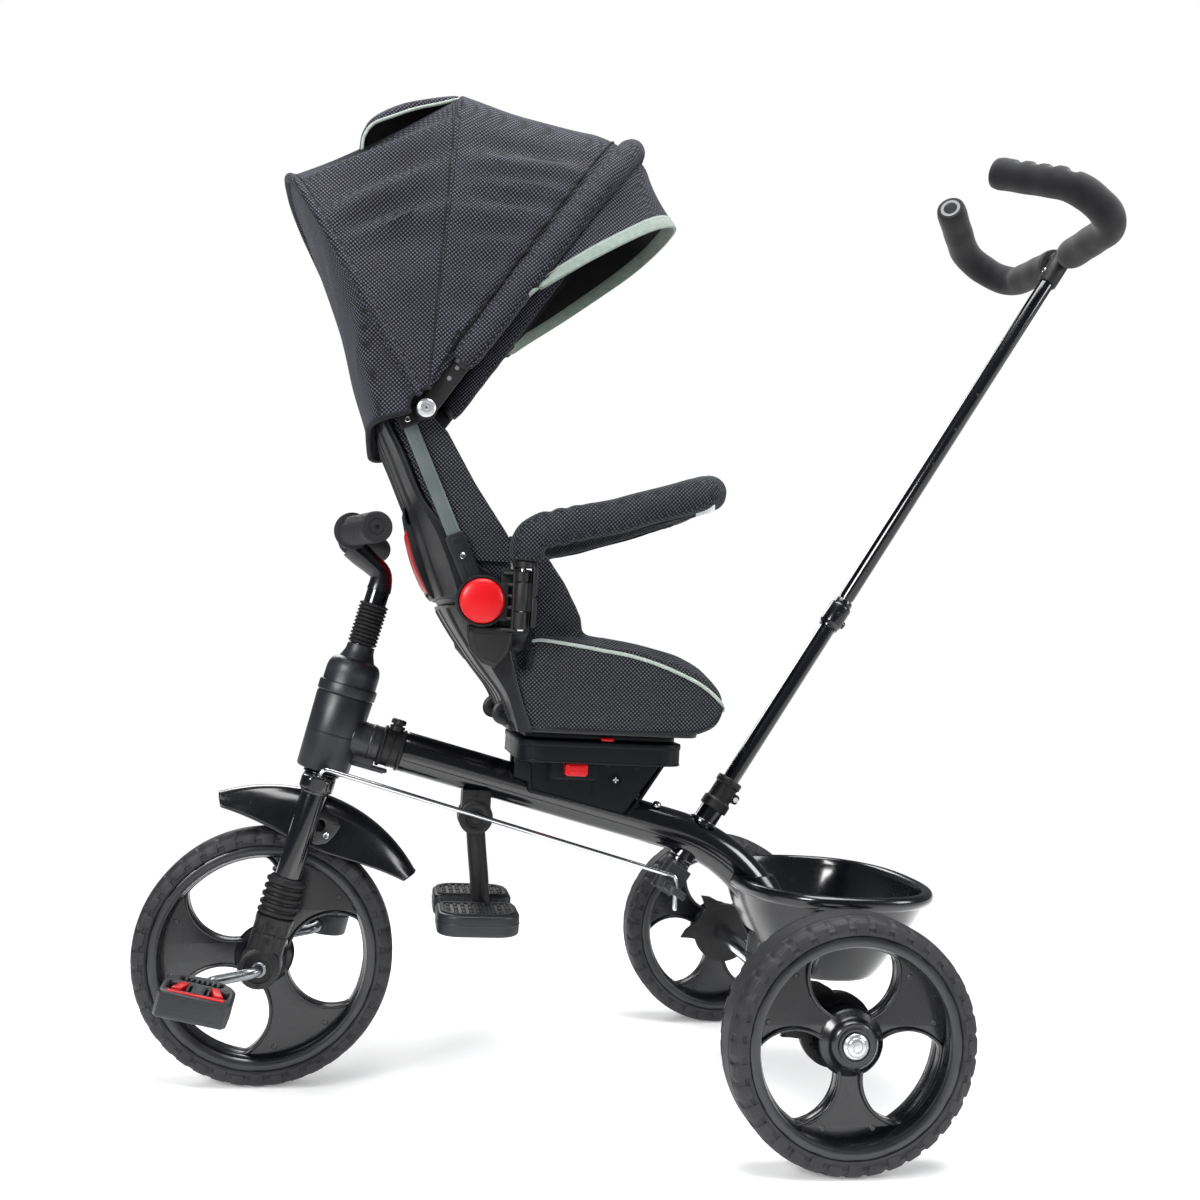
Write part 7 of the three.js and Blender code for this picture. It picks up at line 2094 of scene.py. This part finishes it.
count = 96
visor_start = math.hypot(VISOR_FOOT.x - CANOPY_X, VISOR_FOOT.z - CANOPY_Z) - 4
top = canopy_arch(HOOP_ANGLE, HOOP_REACH - 2, VISOR_HALF, shift=-11.9, start=visor_start, steps=count)
low_edge = visor_edge(count)
visor_grid = []
rows = 20
for k in range(rows + 1):
    share = k / rows
    row = [p.lerp(q, share) for p, q in zip(top, low_edge)]
    if k == 0:
        row = [p + plane * 6 for p in row]
    tuck = 6 * (1 - edged(share, 0, 0.25)) ** 2
    row = [p + (at(190, 0, 745) - p).normalized() * tuck for p in row]
    visor_grid.append(row)
a, n = grid_normals(visor_grid, VISOR_INSIDE)
for r, row in enumerate(visor_grid):
    u = r / rows
    lengths = run_lengths(row)
    for i in range(len(row)):
        s = lengths[i] / lengths[-1]
        deep = -3.6 * math.sin(math.pi * u) * math.sin(math.pi * s) ** 0.5
        deep += 1.3 * math.sin(s * 41 + 2 * u) * math.sin(math.pi * u) ** 0.8 * math.sin(math.pi * s)
        deep += 1.1 * u * u * math.sin(s * 29 + 1) * math.sin(math.pi * s) - 0.6 * u * u
        visor_grid[r][i] = Vector(a[r, i] + n[r, i] * deep)
visor = piece("visor_fabric", cloth_shape(visor_grid, 2.0, VISOR_INSIDE), [CLOTH, LINING], "canopy_visor",
              ["visor"], smooth=75)

a, n = grid_normals(visor_grid, VISOR_INSIDE)
edge_dir = a[-1] - a[-3]
edge_dir /= np.linalg.norm(edge_dir, axis=1, keepdims=True)
columns = a.shape[1]
bands = Shape()
rings = []


def from_edge(i):
    """A column of the visor from its edge inwards: its points, its normals, and how far in each point is."""
    column, normals = a[::-1, i], n[::-1, i]
    run = np.concatenate([[0], np.cumsum(np.linalg.norm(np.diff(column, axis=0), axis=1))])
    return column, normals, run


def at_depth(i, depth):
    """The place this far in from the visor's edge, and the direction out of the cloth there."""
    column, normals, run = from_edge(i)
    k = min(len(run) - 2, int(np.searchsorted(run, depth, side="right")) - 1)
    t = (depth - run[k]) / max(run[k + 1] - run[k], 1e-9)
    direction = normals[k] * (1 - t) + normals[k + 1] * t
    return column[k] * (1 - t) + column[k + 1] * t, direction / np.linalg.norm(direction)


BAND = 13.0
for i in range(1, columns - 1):
    run = from_edge(i)[2]
    if run[-1] < BAND:
        continue
    depth = min(BAND, run[-1] * 0.9)
    ring = []
    for d, lift in ((depth, 0.05), (depth - 0.8, 0.55), (depth * 0.5, 0.7), (1.2, 0.75)):
        spot, direction = at_depth(i, max(0.0, d))
        ring.append(Vector(spot + direction * lift))
    spot, direction = at_depth(i, 0.0)
    for lift, beyond in ((0.3, 0.5), (-1.0, 0.9), (-2.3, 0.5)):
        ring.append(Vector(spot + direction * lift + edge_dir[i] * beyond))
    for d, lift in ((1.2, 2.75), (depth * 0.5, 2.7), (depth - 0.8, 2.55), (depth, 2.05)):
        spot, direction = at_depth(i, max(0.0, d))
        ring.append(Vector(spot - direction * lift))
    rings.append(ring)
bands.rings(rings)
band = piece("visor_binding", bands, [TRIM], "canopy_visor", smooth=50)
threads = Shape()
STITCH_IN = 10.8
row = []
for i in range(2, columns - 2):
    column, normals, run = from_edge(i)
    if run[-1] < STITCH_IN + 3:
        continue
    k = int(np.searchsorted(run, STITCH_IN, side="right")) - 1
    t = (STITCH_IN - run[k]) / (run[k + 1] - run[k])
    row.append(Vector(column[k] * (1 - t) + column[k + 1] * t + normals[k] * 0.55))
threads.tube(resampled(row, 3), 0.35, 8, 0, "round")
piece("visor_thread", threads, [PIPING], "canopy_visor")
declare_cloth(visor_grid)


# ---- Basket ----
BRIM, BASKET_X, BASKET_HALF = REAR_RADIUS + 102, (WHEELBASE - 48, WHEELBASE + 146), 130


def basket_ring(z, share, inset=0.0, count=112):
    """An egg-shaped ring. share narrows it towards the bottom, mostly at its rear, and inset is the wall."""
    front, rear = BASKET_X[0] + 34 * share + inset, BASKET_X[1] - 46 * share - inset
    half, middle = BASKET_HALF - 34 * share - inset, (front + rear) / 2
    ring = []
    for i in range(count):
        c, s = math.cos(2 * math.pi * i / count), math.sin(2 * math.pi * i / count)
        c, s = math.copysign(abs(c) ** 0.8, c), math.copysign(abs(s) ** 0.8, s)
        ring.append(at(middle + (rear - front) / 2 * c, half * s, z))
    return ring


def combined(obj, shape, operation):
    """Cuts a shape out of the object, joins the two or keeps what they share, and leaves one mesh."""
    tool = piece("cutter", shape, [], None)
    change = obj.modifiers.new("shape", "BOOLEAN")
    change.operation, change.solver, change.object = operation, "EXACT", tool
    applied(obj)
    mesh = tool.data
    bpy.data.objects.remove(tool)
    bpy.data.meshes.remove(mesh)


low = BRIM - 87
wall = [(low, 1.2, 0), (low + 1.2, 1.145, 0), (low + 4, 1.07, 0), (low + 8, 1.0, 0), (low + 14, 0.9, 0),
        (low + 24, 0.755, 0), (low + 36, 0.58, 0), (low + 50, 0.38, 0), (low + 62, 0.25, 0),
        (BRIM - 15, 0.145, 0), (BRIM - 12.6, 0.115, 0), (BRIM - 13, 0.09, 0), (BRIM - 13, 0.03, 0),
        (BRIM - 12.2, 0.0, 0), (BRIM - 10.6, -0.04, 0), (BRIM - 8.4, -0.07, 0), (BRIM - 6, -0.08, 0),
        (BRIM - 3.6, -0.07, 0), (BRIM - 1.6, -0.045, 0.2), (BRIM - 0.4, -0.012, 0.8), (BRIM, 0.02, 1.2),
        (BRIM - 0.1, 0.055, 2.2), (BRIM - 0.8, 0.08, 2.7), (BRIM - 2.6, 0.1, 3), (BRIM - 8, 0.115, 3),
        (BRIM - 20, 0.185, 3), (low + 50, 0.37, 3), (low + 36, 0.57, 3), (low + 24, 0.745, 3),
        (low + 14.4, 0.89, 3), (low + 9, 0.985, 3), (low + 6, 1.05, 3), (low + 4, 1.12, 3),
        (low + 3, 1.22, 3)]
wrap = Shape().tube(tube_line(), 21.2, 48, 0, "flat", side=Y, other=24.2)
basket = piece("basket_wrap_start", wrap, [POLISHED], "frame")
outside = [(low + 0.4, 1.13), (low + 8, 1.0), (low + 14, 0.9), (low + 24, 0.755), (low + 50, 0.38),
           (BRIM - 12, 0.12), (BRIM - 1, 0.1)]
outer = Shape().rings([basket_ring(z, share) for z, share in outside])
combined(basket, outer, "INTERSECT")
combined(basket, Shape().rings([basket_ring(*row) for row in wall]), "UNION")
combined(basket, Shape().tube(tube_line(), 17.3, 48, 0, "flat", side=Y, other=20.3), "DIFFERENCE")
axle_hole = Shape().tube([at(WHEELBASE, -150, REAR_RADIUS), at(WHEELBASE, 150, REAR_RADIUS)], 13, 32)
combined(basket, axle_hole, "DIFFERENCE")
yoke_hole = Shape().block(WHEELBASE - 26, WHEELBASE + 25.5, -24, 24, REAR_RADIUS - 29, REAR_RADIUS + 59)
combined(basket, yoke_hole, "DIFFERENCE")
basket.name = basket.data.name = "basket_bowl"
basket.data.shade_smooth()
basket.data.set_sharp_from_angle(angle=rad(34))
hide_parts("basket")
ribs = Shape()
for k in range(4):
    x = BASKET_X[0] + 88 + k * 11
    half = 66 - k * 5
    ribs.tube([at(x, -half, low + 3.2), at(x, half, low + 3.2)], 1.5, 12, 0, "round")
for s in (-1, 1):
    for x in (535, 600):
        ribs.screw(at(x, s * 30, low + 3.4), Z, 3.2, 1.2, 1, 2)
# A near-black plate under the yoke's slit in the basket floor: painted shade where the floor would show
# through.
ribs.block(WHEELBASE - 27, WHEELBASE + 26.5, -25, 25, low + 1, low + 2, paint=2)
piece("basket_ribs", ribs, [POLISHED, CHROME, RECESS_SHADE], "frame")

# ---- Axle yoke ----
moulded("axle_yoke_bracket", "axle_yoke", GLOSS, "frame", voxel=1.1, rounds=4)
yoke = Shape()
cheek = [(-17, 50), (17, 38), (23, 18.6), (15.4, -8.6), (0, -15.2), (-13.4, -10.4), (-21.2, 11)]
place = upright_at(at(WHEELBASE, 0, REAR_RADIUS))
for s in (-1, 1):
    yoke.plate(s, even_loop(cheek, 72), 17.6, 23, place, edge=1.4,
               holes=[[(11.4 * math.cos(rad(a)), 11.4 * math.sin(rad(a))) for a in range(0, 360, 12)]])
    fillet(yoke, at(WHEELBASE, s * 23, REAR_RADIUS), Y * s, 11, 3)
    for u, v in ((-8, 36), (12, 24)):
        yoke.lathe([(0, 2.2), (2.6, 2.2), (4.4, 1.4), (5, 0), (0, 0)],
                   at(WHEELBASE + u, s * 23, REAR_RADIUS + v), Y * s, 28, 1)
        yoke.screw(at(WHEELBASE + u, s * 23.4, REAR_RADIUS + v), Y * s, 3.4, 1.9, 1, 2)
piece("axle_yoke_cheeks", yoke, [GLOSS, CHROME, RECESS_SHADE], "frame")

# ---- Footrest ----
FOOT_X, FOOT_Z = 195, 260.5
FOOT_BAR_X = 205
moulded("footrest_bracket_block", "footrest_bracket", MATT, "frame", voxel=0.9, rounds=4)
bracket = Shape()
for s in (-1, 1):
    bracket.turned(s, [(8.4, 16.8), (15.6, 16.8), (16.6, 17.2), (15.4, 18), (9.6, 18), (8.8, 17.4),
                       (8.4, 16.8)], at(FOOT_X, 0, FOOT_Z), 60)
    bracket.plate(s, oblong(FOOT_X - 11, FOOT_X + 11, FOOT_Z + 17.6, FOOT_Z + 27, 2), 16.8, 17.9, edge=0.5)
    bracket.screw(at(FOOT_X, s * 17.6, FOOT_Z + 22), Y * s, 3, 1.2, 0, 2)
piece("footrest_bracket_trim", bracket, [MATT, CHROME, RECESS_SHADE], "frame")

foot = Shape()
post_foot = FOOT_Z - 90.5
centre, foot_bar = at(FOOT_X, 0, FOOT_Z), at(FOOT_BAR_X, 0, post_foot)
foot.lathe([(0, -9.4), (12.2, -9.4), (13, -8.6), (13, 8.6), (12.2, 9.4), (0, 9.4)], centre, Y, 56)
foot.tube([at(FOOT_X, -18.8, FOOT_Z), at(FOOT_X, 18.8, FOOT_Z)], 3.9, 24, 2, "soft")
for s in (-1, 1):
    foot.turned(s, [(0, 18.2), (5.6, 18.2), (6.2, 18.8), (5.6, 20), (3.4, 20.6), (0, 20.7)], centre, 36, 1)
route = [centre, at(199, 0, FOOT_Z - 34), at(203, 0, FOOT_Z - 64.5), foot_bar]
post = resampled(smooth_line(route, 8), 4)
foot.tube(post, 9.3, 36, 0, "soft", side=Y,
          swell=lambda share, angle: 1 + 0.05 * math.exp(-((share - 0.9) / 0.06) ** 2))
for s in (-1, 1):
    foot.tube([p + Y * (s * 9.2) for p in post[6:-3]], 1.2, 10, 0, "round", other=2.6)
foot.tube([foot_bar - Y * 71.6, foot_bar + Y * 71.6], 6, 28, 0, "soft")
for s in (-1, 1):
    foot.lathe([(5.4, 4), (9.6, 4), (8.2, 11.5), (7.2, 16.5), (5.4, 16.5), (5.4, 4)], foot_bar, Y * s, 36)
piece("footrest_post", foot, [MATT, RUBBER, CHROME], "footrest", ["footrest"])


def pad_outline(grow=0.0):
    x0, x1, y0, y1 = 160 - grow, 238 + grow, 18 - grow, 84 + grow
    far, near = 22 + grow * 0.5, 8 + grow * 0.5
    far, near = max(3, far), max(2, near)
    return (arc(x0 + far, y1 - far, far, 180, 90, 9) + arc(x1 - far, y1 - far, far, 90, 0, 9)
            + arc(x1 - near, y0 + near, near, 0, -90, 6) + arc(x0 + near, y0 + near, near, -90, -180, 6))


pads = Shape()
sole, top = post_foot - 12, post_foot + 10
pads.slab(pad_outline(-0.2), sole, top - 1.6, edge=3.2, steps=5)
pads.slab(pad_outline(0.2), sole + 9, sole + 12.6, edge=1.2)
pads.slab(pad_outline(-3.4), top - 3, top - 0.1, holes=[pad_outline(-8)], edge=0.9, paint=1)
for k in range(9):
    x = 171 + k * 7
    reach = [28, 73] if 0 < k < 8 else [31, 66]
    for a, b in ((reach[0], 39.5), (43.5, 57.5), (61.5, reach[1])):
        pads.slab(oblong(x - 1.9, x + 1.9, a, b, 1.4, 4), top - 3, top, edge=0.8, paint=1)
for k in range(10):
    x = 168 + k * 7
    pads.tube([at(x, 17.9, sole + 4), at(x, 17.9, sole + 15)], 0.8, 8, 0, "round")
pads.both()
piece("footrest_pads", pads, [PAD, RUBBER], "footrest")
